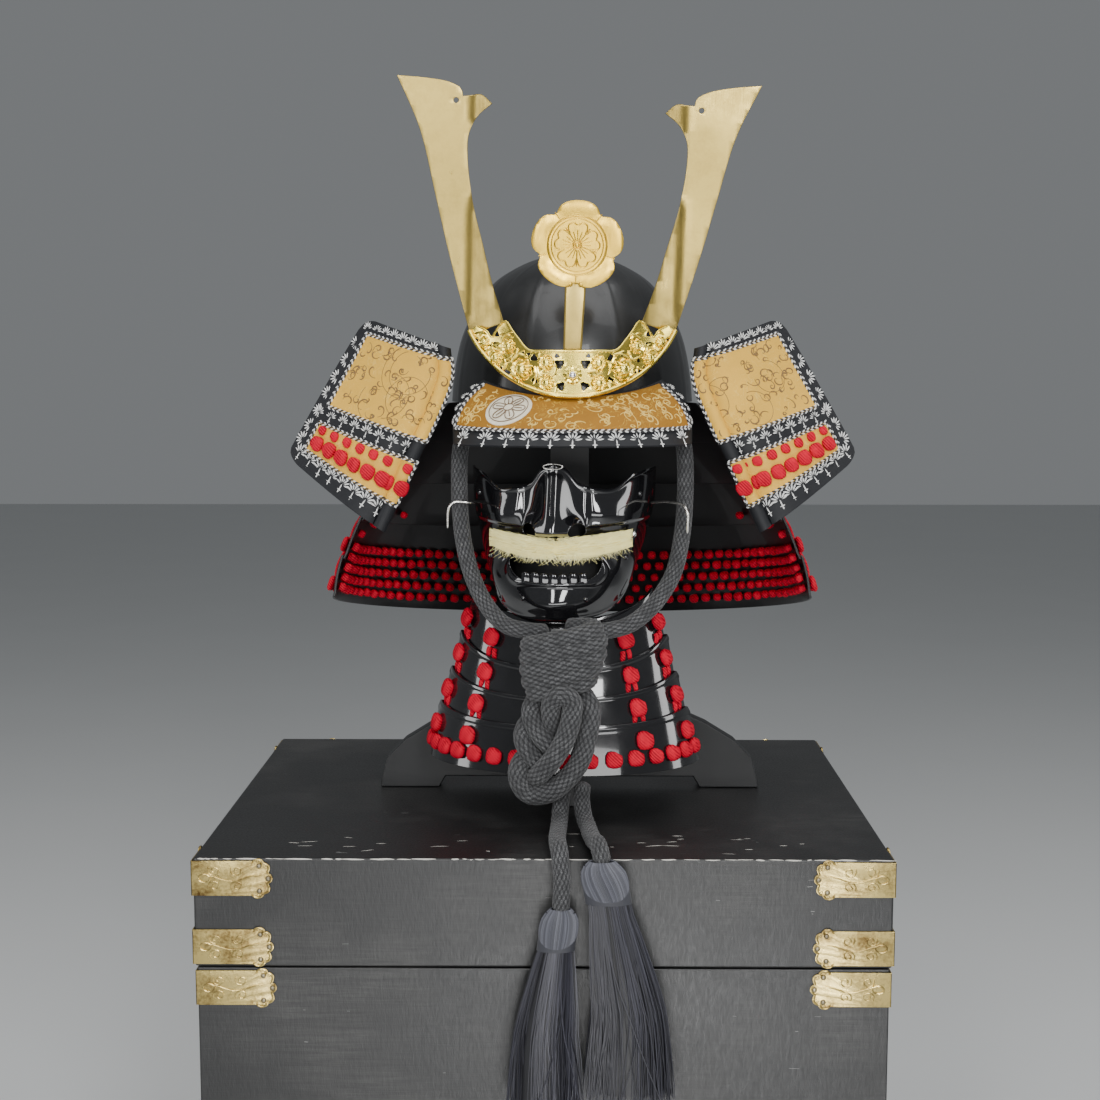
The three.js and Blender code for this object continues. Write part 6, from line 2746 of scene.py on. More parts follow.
@dataclass
class Moustache:
    """The cream hair moustache: a core under many short strands."""

    shop: Workshop
    mask: Mask
    half: float = 59.0
    strands: int = 1700
    wisps: int = 620

    def centre(self, s: Array) -> tuple[Array, Array, Array]:
        """The middle line, its height and its depth at shares from -1 to 1.

        Args:
            s: shares from -1 to 1.

        Returns:
            The middle line, the height and the depth.
        """
        s = np.asarray(s, float)
        x = self.half * s + 3.5
        bow = np.clip(1 - s * s, 0, 1)
        tall = 6.2 + 2.6 * bow**0.6
        deep = 2.5 + 2.5 * bow**0.5
        level = 233.5 + 6.5 * s * s
        fronts = [self.mask.at(x, level + share * tall)[..., 1] for share in (-1, -0.5, 0, 0.4)]
        y = np.min(np.array(fronts), axis=0) - deep - 0.4
        return np.stack([x, y, level], -1), tall, deep

    def build(self) -> None:
        """Makes the core and the hair."""
        s = np.linspace(-0.985, 0.985, 60)
        centre, tall, deep = self.centre(s)
        centre[:, 1] = np.convolve(np.pad(centre[:, 1], 3, mode="edge"), np.ones(7) / 7, mode="valid")
        angle = spread_round(14)
        rings = np.array([
            c + np.stack([np.zeros(14), 0.8 * d * np.cos(angle), 0.72 * t * np.sin(angle)], -1)
            for c, t, d in zip(centre, tall, deep)
        ])
        core = mesh_of("core", loft(rings), self.shop.face)
        core.attributes.new("tone", "FLOAT", "POINT")
        rng = np.random.default_rng(SEED)
        lines, radii = [], []
        for _ in range(self.strands):
            start = rng.uniform(-0.97, 0.97)
            reach = rng.uniform(0.1, 0.26) * (1 if start > 0 else -1) * (0.4 + 0.6 * min(abs(start) * 3, 1))
            end = np.clip(start + reach, -1.02, 1.02)
            t = np.linspace(0, 1, 6)
            along = mix(start, end, t)
            place, high, wide = self._sampled(along, s, centre, tall, deep)
            turn = rng.uniform(0.15, math.pi - 0.15) + rng.normal(0, 0.05) * t
            if rng.uniform() < 0.25:
                turn = turn - rng.uniform(0.2, 0.6) * np.sign(math.pi / 2 - turn[0]) * t
            proud = 0.86 + 0.2 * rng.uniform() + 0.16 * t * rng.uniform()
            line = place + np.stack([np.zeros(6), -wide * proud * np.sin(turn), high * proud * np.cos(turn)],
                                    -1)
            lines.append(line)
            radii.append(np.full(6, rng.uniform(0.16, 0.3)) * (1 - 0.6 * t))
        for _ in range(self.wisps):
            along = np.full(5, rng.uniform(-0.95, 0.95))
            place, high, wide = self._sampled(along, s, centre, tall, deep)
            down = rng.uniform() < 0.65
            t = np.linspace(0, 1, 5)
            reach = rng.uniform(1.5, 9.5 if down else 4.5)
            tilt = rng.normal(0, 0.6)
            up = (high * 0.55 + reach * t) * (-1 if down else 1)
            lines.append(place + np.stack([tilt * reach * t * t, -wide * (0.8 - 0.2 * t), up], -1))
            radii.append(0.2 * (1 - 0.7 * t))
        tones = rng.uniform(0.25, 1, self.strands + self.wisps)
        hair = self.shop.repeats.draw("hair", lines, radii, self.shop.face, CREAM_HAIR, 4, tones)
        piece = fuse("moustache_hair", [core, hair], CREAM_HAIR)
        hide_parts("moustache")

    def _sampled(self, along: Array, s: Array, centre: Array, tall: Array, deep: Array) -> tuple[Array, Array,
                                                                                                 Array]:
        """The middle line, height and depth at shares along it.

        Args:
            along: shares along it.
            s: the middle line's shares.
            centre: the middle line.
            tall: its height at each share.
            deep: its depth at each share.

        Returns:
            The middle line, the height and the depth there.
        """
        place = np.stack([np.interp(along, s, centre[:, k]) for k in range(3)], -1)
        past = (np.abs(along) - s[-1]) * np.sign(along) * self.half
        place[:, 0] += np.where(np.abs(along) > s[-1], past, 0)
        return place, np.interp(along, s, tall), np.interp(along, s, deep)


@dataclass
class Pins:
    """The bent pins on the cheeks that keep the cord on the jaw."""

    shop: Workshop
    diameter: float = 2.2
    left: tuple[Triple, ...] = (
        (-70, -78, 267), (-70.5, -100, 268.5), (-72, -116.5, 269.5), (-86, -119.5, 269.5),
        (-89.5, -119.5, 265),
        (-91, -118.5, 248),
    )
    right: tuple[Triple, ...] = (
        (77.5, -76, 268), (92, -92, 270), (107, -111, 268), (110, -114, 262), (110, -114, 246),
    )

    def build(self) -> None:
        """Bends both pins."""
        for word, route in (("left", self.left), ("right", self.right)):
            path = smooth_path(route, 1.5)
            radius = np.full(len(path), self.diameter / 2)
            radius[-4:] *= np.array([1, 0.95, 0.8, 0.5])
            piece = build(f"pin_{word}_wire", tube(path, radius, 12), self.shop.face, WIRE)
            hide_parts(f"pin_{word}")


@dataclass
class ThroatGuard:
    """Four gently curved lames laced with red silk, and a hem of knots."""

    shop: Workshop
    levels: tuple[float, ...] = (182, 137, 109, 82, 42)
    knots_at: tuple[float, ...] = (158.5, 128.5, 99.5, 71)
    half: tuple[float, ...] = (78, 88, 97, 107, 119)
    deep: tuple[float, ...] = (47, 57, 65, 72, 80)
    back: float = -52.0
    edge: float = math.radians(83)
    lift: float = 3.4
    wall: float = 2.0
    columns: tuple[float, ...] = (-0.86, -0.5, 0.5, 0.86)

    def point(self, side: Array, z: Array, lift: Array | float) -> Array:
        """A point of the guard: side from -1 to 1 across, z down its front, lift outwards.

        Args:
            side: shares across, from -1 to 1.
            z: heights at the front.
            lift: how far outwards the point lies.

        Returns:
            The points.
        """
        down = tuple(self.levels[0] - z_at for z_at in self.levels)
        key = self.levels[0] - np.asarray(z, float)
        half, deep = Course(down, self.half).at(key), Course(down, self.deep).at(key)
        turn = self.edge * side
        out = unit(np.stack([np.sin(turn) / half, -np.cos(turn) / deep, np.zeros_like(half * turn)], -1))
        bow = np.interp(key, (0, 45, 73, 100, 140), (26, 26, 16, 8, 1)) * (np.square(side) - 0.5)
        base = np.stack([half * np.sin(turn), self.back - deep * np.cos(turn), z + bow], -1)
        return base + out * np.asarray(lift, float)[..., None]

    def out(self, side: Array, z: Array) -> Array:
        """The outward direction, tipped up as the lames are.

        Args:
            side: shares across, from -1 to 1.
            z: heights at the front.

        Returns:
            The directions.
        """
        level = unit(self.point(side, z, 1.0) - self.point(side, z, 0.0))
        level[..., 2] = 0.28
        return unit(level)

    def lame(self, index: int, by: float) -> Surface:
        """One side of a lame, with rounded upper corners and a bead along its top.

        Args:
            index: the lame's number, 0 at the top.
            by: how far outwards the side lies.

        Returns:
            The side's surface.
        """
        top = self.levels[index] + (5 if index else 0)
        low = self.levels[index + 1]

        def place(u: Array, v: Array) -> Array:
            """A point of the side.

            Args:
                u: shares across.
                v: shares from top to bottom.

            Returns:
                The points.
            """
            across = 2 * np.clip(u, 0, 1) - 1
            end = np.clip((np.abs(across) - 0.93) / 0.07, 0, 1)
            head = top - 5 * (1 - np.sqrt(np.maximum(1 - end * end, 0)))
            z = mix(head, low, np.clip(v, 0, 1))
            stand = self.lift if index else 0.0
            bead = 0.7 * np.sign(by) * hill(v - 0.05, 0.035)
            return self.point(across, z, stand * (1 - v) + by + bead)

        return place

    def build(self) -> None:
        """Makes the lames and the lacing."""
        for i in range(len(self.levels) - 1):
            shape = wall(self.lame(i, self.wall / 2), self.lame(i, -self.wall / 2), 110, 22, (300, 34))
            piece = build(f"throat_lame_{i + 1}", shape, self.shop.face, GLOSS, 0.4)
            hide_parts(f"throat_plate_{i + 1}")
        for number, column in enumerate(self.columns, 1):
            self.lace(number, column)
        self.hem()

    def _spots(self, side: Array, z: Array, lift: float) -> Spots:
        """Spots on the guard.

        Args:
            side: shares across, from -1 to 1.
            z: heights at the front.
            lift: how far outwards they lie.

        Returns:
            The spots.
        """
        side, z = np.broadcast_arrays(np.asarray(side, float), np.asarray(z, float))
        ahead = self.point(side + 1e-3, z, 0.0) - self.point(side - 1e-3, z, 0.0)
        return Spots(self.point(side, z, lift), self.out(side, z), unit(ahead), np.ones(len(side)))

    def lace(self, number: int, column: float) -> None:
        """One column: a knot on each lame and a pair of strands below it.

        Args:
            number: the column's number.
            column: its share across, from -1 to 1.
        """
        lines = []
        for level in self.levels[1:-1]:
            for strand in (-0.026, 0.026):
                z = np.linspace(level + 12, level + 5, 6)
                across = column + strand * np.linspace(0.9, 1.2, 6)
                lift = 1.6 + 1.4 * np.sin(np.linspace(0.3, math.pi, 6)) - np.linspace(0, 1, 6)
                lines.append(self.point(across, z, lift))
        spots = self._spots(np.full(len(self.knots_at), column), np.array(self.knots_at), 3.9)
        mesh = self.shop.repeats.set_out("knots", silk_knot(15.0, 15.4, 5.6), spots, self.shop.face, RED_SILK,
                                         0.1, 0.05)
        pairs = self.shop.repeats.draw("pairs", lines, [np.full(6, 2.2)] * len(lines), self.shop.face,
                                       RED_SILK, 7)
        piece = fuse(f"throat_knots_{number}", [mesh, pairs], RED_SILK)
        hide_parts(f"throat_lacing_{number}")

    def hem(self) -> None:
        """The row of knots along the last lame."""
        side = np.linspace(-0.93, 0.93, 16)
        mesh = self.shop.repeats.set_out("hem", silk_knot(14.2, 14.0, 5.4),
                                         self._spots(side, np.full(16, 56.0), 2.2),
                                         self.shop.face, RED_SILK, 0.1, 0.06)
        piece = show("throat_knots_hem", mesh, RED_SILK)
        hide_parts("throat_lacing_hem")


# ---------------------------------------------------------------- cords, knot and tassels


@dataclass
class BraidedCord:
    """A round braid of strands that cross over and under.

    Args:
        path: its middle line in millimetres, closely spaced.
        diameter: its thickness.
        strands: how many strands run each way.
        cell: the length of one crossing.
    """

    path: Array
    diameter: float = 14.0
    strands: int = 12
    cell: float = 3.7
    around: int = 60
    step: float = 0.95

    def shape(self) -> Shape:
        """The braid's mesh; the mark relief is low in its gaps, where the finish paints shade.

        Returns:
            The mesh.
        """
        line = even_steps(self.path, self.step)
        _, first, second = frames_along(line)
        gone = np.arange(len(line)) * self.step
        angle = np.arange(self.around) / self.around
        turn, far = np.meshgrid(angle, gone / (self.cell * 2))
        a = turn * self.strands + far
        b = turn * self.strands - far
        over = (np.floor(a) + np.floor(b)) % 2 < 1
        across = np.where(over, a % 1, b % 1)
        through = np.where(over, b % 1, a % 1)
        strand = np.sqrt(np.clip(1 - np.square(2 * across - 1), 0, 1))
        arch = 0.55 + 0.45 * np.sin(math.pi * through)
        height = strand * arch
        radius = self.diameter / 2 * (0.875 + 0.14 * height)
        ends = np.minimum(np.arange(len(line)), np.arange(len(line))[::-1])[:, None] * self.step
        radius = radius * np.sqrt(np.clip(1 - np.square(np.clip(1 - ends / 5, 0, 1)), 0.05, 1))
        spin = angle * FULL_TURN
        flat = np.cos(spin)[None, :, None] * first[:, None] + np.sin(spin)[None, :, None] * second[:, None]
        rings = line[:, None] + radius[..., None] * flat
        shape = loft(rings, (self.diameter * math.pi, float(gone[-1])))
        shape.marks["relief"] = np.clip(height, 0, 1).ravel()
        return shape


@dataclass
class Knot:
    """The cord's knot under the chin: a stack of turns, and loops that hang below it."""

    shop: Workshop
    x: float = -6.0
    y: float = -153.0
    low: float = 113.0
    high: float = 181.0
    wide: float = 27.5
    deep: float = 15.0
    turns: float = 5.0
    tilt: float = math.radians(9)
    loops: tuple[tuple[str, tuple[Triple, ...]], ...] = (
        ("outer",
         ((3, -146, 124), (9, -152, 115), (14.5, -157, 106), (15, -160, 96), (12, -162, 81), (6.5, -163, 62),
                   (-3.5, -164, 48), (-19, -165, 36), (-35, -163, 34.5), (-43, -160, 43), (-44, -157, 54),
                   (-38, -153, 63), (-28, -147, 67))),
        ("arch", ((-6, -151, 74), (-13.5, -157, 87), (-17, -163, 99), (-16, -168, 112), (-8.5, -171, 119),
                  (-0.5, -171.5, 113), (-0.5, -172, 102), (-2.5, -173, 92), (-7, -173, 80), (-14.5, -172, 67),
                  (-24, -168, 55), (-32, -158, 45))),
        ("left", ((-20, -143, 120), (-28, -148, 112), (-33.5, -154, 102), (-30, -160, 90), (-22, -163, 79),
                  (-11, -157, 68))),
        ("under", ((-24, -142, 97), (-35, -147, 91), (-40, -152, 82), (-38, -157, 73), (-30, -158, 62),
                   (-19, -153, 54))),
    )

    def build(self) -> list[bpy.types.Object]:
        """Winds the turns and the loops.

        Returns:
            The pieces.
        """
        t = np.linspace(0, 1, int(self.turns * 64))
        spin = (t * self.turns + 0.25) * FULL_TURN
        full = np.interp(t, (0, 0.25, 0.55, 0.85, 1), (0.7, 0.9, 1.02, 1.02, 0.8))
        x = self.wide * full * np.cos(spin)
        z = mix(self.low + 5, self.high - 13, t) + x * math.tan(self.tilt)
        path = np.stack([self.x + x - 4 * (1 - t), self.y + self.deep * full * np.sin(spin), z], -1)
        wrap = build("knot_turns", BraidedCord(path, 17.0).shape(), self.shop.helmet, CORD_BRAID)
        inner = build("knot_heart", self._core(), self.shop.helmet, CORD_BRAID)
        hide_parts("knot_wrap")
        loops = [build(f"knot_loop_{word}", BraidedCord(smooth_path(route, 1.2), 17.0).shape(),
                       self.shop.helmet,
                       CORD_BRAID) for word, route in self.loops]
        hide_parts("knot_loops")
        return [wrap, inner, *loops]

    def _core(self) -> Shape:
        """The hidden heart that the turns are wound on."""
        angle = spread_round(20)
        rings = [np.stack([self.x + 0.72 * self.wide * s * np.cos(angle),
                           self.y + 0.6 * self.deep * s * np.sin(angle),
                           np.full(20, z)], -1)
                 for z, s in ((self.low + 2, 0.5), (self.low + 8, 0.9), (self.high - 20, 0.9),
                              (self.high - 12, 0.5))]
        shape = loft(np.array(rings))
        # relief of one keeps the painted gap shade off the heart
        shape.marks["relief"] = np.ones(len(shape.points))
        return shape


@dataclass
class ChinCord:
    """The thick cord that comes down from the bowl, runs along the jaw and ends in the knot."""

    shop: Workshop
    knot: Knot
    diameter: float = 14.0
    side: tuple[Triple, ...] = (
        (37, -147, 168), (52, -142, 172), (69, -131, 186), (84, -118, 210), (92, -107, 241), (95, -100, 275),
        (95, -94, 306), (93, -80, 327), (90.5, -59, 341), (87, -34, 354), (87, -8, 361), (84, 32, 362),
        (64, 70, 362),
        (34, 92, 362),
    )
    back: Triple = (0, 99, 362)

    def route(self) -> list[Triple]:
        """Its way from the knot round the inside of the bowl and back."""
        def half(sign: int, rows: Iterable[Triple]) -> list[Triple]:
            """One side's stations."""
            return [(self.knot.x * float(np.clip((200 - z) / 40, 0, 1)) + sign * x, y, z) for x, y, z in rows]
        inner = [(14, -148, 166)]
        return [*half(-1, [*inner, *self.side]), self.back, *half(1, [*reversed(self.side), *inner])]

    def build(self, knotted: Sequence[bpy.types.Object]) -> None:
        """Lays the cord and its two rings.

        Args:
            knotted: the knot's pieces; not used.
        """
        path = smooth_path(self.route(), 1.2)
        piece = build("chin_cord_braid", BraidedCord(path, self.diameter).shape(), self.shop.helmet,
                      CORD_BRAID)
        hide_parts("chin_cord")
        placed = self.shop.helmet.put(path) * MM
        for word, sign in (("left", -1), ("right", 1)):
            angle = np.linspace(0, FULL_TURN, 49)
            ring = np.stack([sign * 87 + 10.4 * np.cos(angle), -8 + 10.4 * np.sin(angle), np.full(49, 361.0)],
                            -1)
            band = build(f"cord_ring_{word}_wire", tube(ring, 1.6, 12), self.shop.helmet, WIRE)
            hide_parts(f"cord_ring_{word}")


@dataclass
class Tail:
    """One end of the cord over the chest's edge, with its tassel.

    Args:
        shop: the workshop.
        word: which end it is.
        route: the stations of the cord.
        end: where the tassel's tip lies, in x and y.
        low: the tip's height below the lid.
        half: half the tassel's width.
        deep: half the tassel's depth.
        lean: how far the head's threads twist.
    """

    shop: Workshop
    word: str
    route: tuple[Triple, ...]
    end: Pair
    low: float
    half: float
    deep: float
    lean: float
    binding: float = 30.0
    strands: int = 620
    diameter: float = 14.0

    def build(self) -> None:
        """Lays the cord's end and hangs its tassel."""
        path = smooth_path(self.route, 1.2)
        cord = build(f"tail_{self.word}_braid", BraidedCord(path, self.diameter).shape(), self.shop.chest_top,
                     CORD_BRAID)
        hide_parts(f"tail_{self.word}")
        bound = self.head(path[-1])
        skirt = self.skirt(path[-1])
        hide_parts(f"tassel_{self.word}")
        placed = self.shop.chest_top.put(path) * MM

    def axis(self, start: Array, share: Array) -> Array:
        """The tassel's middle line, from the cord's end to its tip.

        Args:
            start: the cord's last point.
            share: shares of its length.

        Returns:
            The points.
        """
        share = np.asarray(share, float)
        slide = np.clip(share * 1.6, 0, 1)
        x = mix(start[0], self.end[0], slide)
        y = mix(start[1], self.end[1], slide)
        return np.stack([x, y, mix(start[2], self.low, share)], -1)

    def head(self, start: Array) -> bpy.types.Object:
        """The bound head of fine upright threads over a dark core.

        Args:
            start: the cord's last point.

        Returns:
            The piece's object.
        """
        threads = 84
        span = abs(self.low - start[2])
        lines, radii = [], []
        rng = np.random.default_rng(SEED)
        for k in range(threads):
            angle = FULL_TURN * k / threads
            share = np.linspace(-0.015, self.binding / span, 9)
            swell = np.array([0.55, 0.8, 0.95, 1.0, 1.02, 1.0, 0.96, 0.88, 0.72])
            centre = self.axis(start, np.maximum(share, 0)) + np.stack([0 * share, 0 * share,
                                                                        -np.minimum(share, 0) * span],
                                                                       -1)
            twist = angle + self.lean * share * span / 30
            r = 0.56 * swell
            lines.append(centre + np.stack([self.half * 0.9 * r * np.cos(twist),
                                            self.deep * 1.05 * r * np.sin(twist),
                                            np.zeros(9)], -1))
            radii.append(np.full(9, 0.62))
        tones = rng.uniform(0.3, 1, threads)
        mesh = self.shop.repeats.draw("threads", lines, radii, self.shop.chest_top, BINDING, 5, tones)
        core = self._core(start, self.binding / span, 0.52)
        return fuse(f"tassel_{self.word}_binding", [mesh, core], BINDING)

    def _core(self, start: Array, share: float, size: float) -> bpy.types.Mesh:
        """The dark inside of the head or the skirt.

        Args:
            start: the cord's last point.
            share: how far down it reaches, as a share.
            size: its size, as a share of the tassel.

        Returns:
            The mesh.
        """
        angle = spread_round(24)
        rings = []
        for s in np.linspace(0, share, 8):
            full = size * (0.7 + 0.3 * min(s / 0.04, 1)) if share < 0.5 else size * self.spread(s)
            rings.append(self.axis(start, s)
                         + np.stack([self.half * full * np.cos(angle), self.deep * full * np.sin(angle),
                                                         np.zeros(24)], -1))
        mesh = mesh_of("core", loft(np.array(rings)), self.shop.chest_top)
        mesh.attributes.new("tone", "FLOAT", "POINT")
        return mesh

    @staticmethod
    def spread(share: Array | float) -> Array:
        """How wide the skirt is along its length."""
        return np.interp(share, [0, 0.1, 0.16, 0.3, 0.5, 0.75, 1], [0.5, 0.5, 0.44, 0.6, 0.78, 0.92, 1])

    def skirt(self, start: Array) -> bpy.types.Object:
        """The hanging fibres, some of which cross or stray.

        Args:
            start: the cord's last point.

        Returns:
            The piece's object.
        """
        rng = np.random.default_rng(SEED + len(self.word))
        span = abs(self.low - start[2])
        first = self.binding / span * 0.85
        lines, radii, tones = [], [], []
        locks = rng.uniform(0, FULL_TURN, 26)
        for k in range(self.strands):
            lock = k % 26
            angle = locks[lock] + rng.normal(0, 0.11)
            share = np.linspace(first, 1 - 0.06 * rng.uniform() ** 2, 12)
            ease = (share - first) / (1 - first)
            stray = rng.uniform() < 0.09
            drift = rng.normal(0, 0.5 if stray else 0.1) * ease**1.5
            proud = mix(rng.uniform(0.82, 1.02),
                        rng.uniform(0.5, 1.04) if not stray else rng.uniform(0.9, 1.12), ease)
            r = self.spread(share) * proud
            wave = 0.03 * np.sin(ease * rng.uniform(3, 9) + rng.uniform(0, 6))
            line = self.axis(start, share) + np.stack([self.half * r * np.cos(angle + drift + wave),
                                                       self.deep * r * np.sin(angle + drift + wave),
                                                       np.zeros(12)], -1)
            lines.append(line)
            radii.append(np.full(12, rng.uniform(0.4, 0.68)) * (1 - 0.45 * ease))
            tones.append(np.clip(0.45 * rng.uniform() + 0.35 * (lock % 3 == 0) + 0.3 * rng.uniform() ** 3, 0,
                                 1))
        mesh = self.shop.repeats.draw("fibres", lines, radii, self.shop.chest_top, TASSEL_HAIR, 4,
                                      np.array(tones))
        core = self._core(start, 0.96, 0.8)
        return fuse(f"tassel_{self.word}_skirt", [mesh, core], TASSEL_HAIR)


# ---------------------------------------------------------------- stand, chest and fittings


@dataclass
class Stand:
    """The crossed boards and the post, painted black."""

    shop: Workshop
    nodes: tuple[str, ...] = ("stand_front_board", "stand_cross_board", "stand_post")

    def build(self) -> None:
        """Softens the stand's boards and paints them."""
        for node in self.nodes:
            redress(node, self.shop.frame, STAND_PAINT, 1.1)


@dataclass
class Chest:
    """The lacquered armour chest with its separate lid."""

    shop: Workshop
    width: float = CHEST_WIDE
    depth: float = CHEST_DEEP

    def build(self) -> None:
        """Softens the chest and adds the wear on its upper edge."""
        redress("chest_body", self.shop.frame, CHEST, 1.5)
        redress("chest_lid", self.shop.frame, CHEST, 2.0)
        self.wear()

    def wear(self) -> None:
        """Chips along the lid's front edge and short pale scratches on its top."""
        rng = np.random.default_rng(SEED)
        lines, radii = [], []
        x = -0.5 * self.width + 4
        while x < self.width / 2 - 8:
            span = rng.uniform(3, 22)
            t = np.linspace(0, 1, 7)
            y = -self.depth / 2 + 0.55 + rng.uniform(-0.2, 0.3) * np.sin(t * rng.uniform(2, 9))
            z = -0.55 + rng.uniform(-0.35, 0.1) + 0.15 * np.cos(t * rng.uniform(2, 9))
            lines.append(np.stack([x + span * t, y, z + 0 * t], -1))
            radii.append(rng.uniform(0.25, 0.75) * np.sin(math.pi * (0.08 + 0.84 * t)) + 0.05)
            x += span * rng.uniform(0.8, 1.7)
        for _ in range(28):
            t = np.linspace(0, 1, 4)
            x, y = rng.uniform(-220, 240), rng.uniform(-195, -150) + 20 * rng.uniform() ** 3
            span, turn = rng.uniform(3, 16), rng.normal(0, 0.12)
            lines.append(np.stack([x + span * t, y + span * turn * t, np.full(4, 0.04)], -1))
            radii.append(np.array([0.05, 0.15, 0.17, 0.05]) * rng.uniform(0.5, 1.2))
        mesh = self.shop.repeats.draw("wear", lines, radii, self.shop.chest_top, RUBBED, 4)
        show("chest_wear", mesh, RUBBED)


@dataclass
class Fitting:
    """One corner fitting of chased brass: two leaves with scalloped ends, a rim, nails and scrolls.

    Args:
        shop: the workshop.
        level: the fitting's word and height.
        corner: the corner's word.
        x, y: the corner's signs.
        inward: how far the wood lies inside the lid's.
    """

    shop: Workshop
    level: str
    z: float
    corner: str
    x: int
    y: int
    inward: float
    reach: float = 64.0
    side: float = 46.0
    tall: float = 29.0
    thick: float = 1.0
    lobe: float = 5.2
    gap: float = 0.3

    def outline(self, reach: float, inside: float = 0) -> Array:
        """One leaf, from x = 0 outwards, with five lobes at its end.

        Args:
            reach: how far it reaches from the corner.
            inside: how far inside the edge the line runs.

        Returns:
            The outline, in x and z.
        """
        arm = reach - 2.2 * self.lobe
        points = [(-self.thick, self.tall / 2 - 0.4), (-self.thick, -self.tall / 2 + 0.4)]
        edge = [(arm - 0.6 * self.lobe, -self.tall / 2 + 0.4)]
        for k in range(5):
            angle = math.pi * (k / 4 - 0.5)
            middle = np.array([arm - 0.3 + 0.92 * self.lobe * 1.35 * math.cos(angle),
                               (self.tall / 2 - self.lobe * 0.55) * math.sin(angle)])
            for turn in np.linspace(-1.25, 1.25, 9):
                swing = angle + turn
                edge.append(tuple(middle + self.lobe * 0.86 * np.array([math.cos(swing), math.sin(swing)])))
        edge.append((arm - 0.6 * self.lobe, self.tall / 2 - 0.4))
        flat = np.array(points + edge, float)
        if inside:
            centre = np.array([arm * 0.5, 0.0])
            away = flat - centre
            flat = centre + away * (1 - inside / np.maximum(np.hypot(*away.T), 1))[:, None]
        return flat

    def leaf(self, reach: float) -> tuple[Shape, list[Array], list[float]]:
        """One leaf's plate and its chased lines, flat in x and z, facing -y.

        Args:
            reach: how far it reaches from the corner.

        Returns:
            The plate, its chased lines and their radii.
        """
        plate = cut_plate(self.outline(reach), [], self.thick, 0.3)
        rim = self.outline(reach, 1.3)[2:]
        lines = [np.insert(rim, 1, -self.thick - 0.15, axis=1)]
        radii = [0.75]
        arm = reach - 2.2 * self.lobe
        front = -self.thick - 0.1
        for mirror in (-1, 1):
            for start in (0.16, 0.5):
                t = np.linspace(0, 1, 16)
                curl = 2.6 * FULL_TURN / 2 * t
                r = 5.2 * (1 - 0.75 * t)
                cx = arm * start + 9
                lines.append(np.stack([cx + r * np.cos(curl + 2.6), np.full(16, front),
                                       mirror * (6.2 + 0.9 * r * np.sin(curl + 2.6))], -1))
                radii.append(0.55)
        stem = np.linspace(6, arm, 20)
        lines.append(np.stack([stem, np.full(20, front), 2.4 * np.sin(stem / 6.5)], -1))
        radii.append(0.65)
        angle = np.linspace(0, FULL_TURN, 25)
        lines.append(np.stack([9.5 + 4.6 * np.cos(angle), np.full(25, front - 0.2), 3.2 * np.sin(angle)], -1))
        radii.append(0.8)
        for k in range(5):
            swing = math.pi * (k / 4 - 0.5)
            middle = np.array([arm + 0.92 * self.lobe * 1.0 * math.cos(swing),
                               (self.tall / 2 - 4) * math.sin(swing)])
            for ray in (-0.5, 0, 0.5):
                s = np.array([1.6, 4.0])
                lines.append(np.stack([middle[0] + s * math.cos(swing + ray), np.full(2, front),
                                       middle[1] + s * math.sin(swing + ray)], -1))
                radii.append(0.3)
        return plate, lines, radii

    def build(self) -> None:
        """Makes both leaves and nails them on."""
        meshes, nails = [], []
        for flank, reach in ((False, self.reach), (True, self.side)):
            plate, lines, radii = self.leaf(reach)
            seated = plate.moved(partial(self.placed, flank=flank)).outward()
            meshes.append(mesh_of("leaf", seated, Seat()))
            thick = [np.full(len(line), radius) for line, radius in zip(lines, radii)]
            lines = [self.placed(line, flank) for line in lines]
            meshes.append(self.shop.repeats.draw("chasing", lines, thick, Seat(), BRASS, 6))
            arm = reach - 2.2 * self.lobe
            spots = np.array([(arm + 0.2, -self.thick - 0.2, s * (self.tall / 2 - 4.4)) for s in (-1, 1)]
                             + [(reach - 4.2, -self.thick - 0.2, 0.0)])
            nails.append((self.placed(spots, flank), flank))
        piece = fuse(f"leaf_{self.level}_{self.corner}", meshes, BRASS, 35)
        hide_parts(f"fitting_{self.level}_{self.corner}")
        parts = []
        for at, flank in nails:
            out = vec(self.x, 0, 0) if flank else vec(0, self.y, 0)
            parts.append(Spots(at, np.tile(out, (3, 1)), np.tile(vec(0, 0, 1), (3, 1)), np.ones(3)))
        mesh = self.shop.repeats.set_out("nails", dome(2.2, 1.5, 12), Spots.joined(parts), Seat(), NAIL, 0,
                                         0.06)
        show(f"nails_{self.level}_{self.corner}", mesh, NAIL)

    def placed(self, p: Array, flank: bool) -> Array:
        """A leaf's points at its corner of the chest, in the row frame.

        Args:
            p: the leaf's points.
            flank: whether it lies on the side face.

        Returns:
            The points in the row frame.
        """
        x, y, z = p[..., 0], p[..., 1], p[..., 2]
        if flank:
            x, y = y, x
        wide = CHEST_WIDE / 2 - self.inward + self.gap
        deep = CHEST_DEEP / 2 - self.inward + self.gap
        return np.stack([self.x * (wide - x), self.y * (deep - y), self.z + z], -1)


# ---------------------------------------------------------------- studio


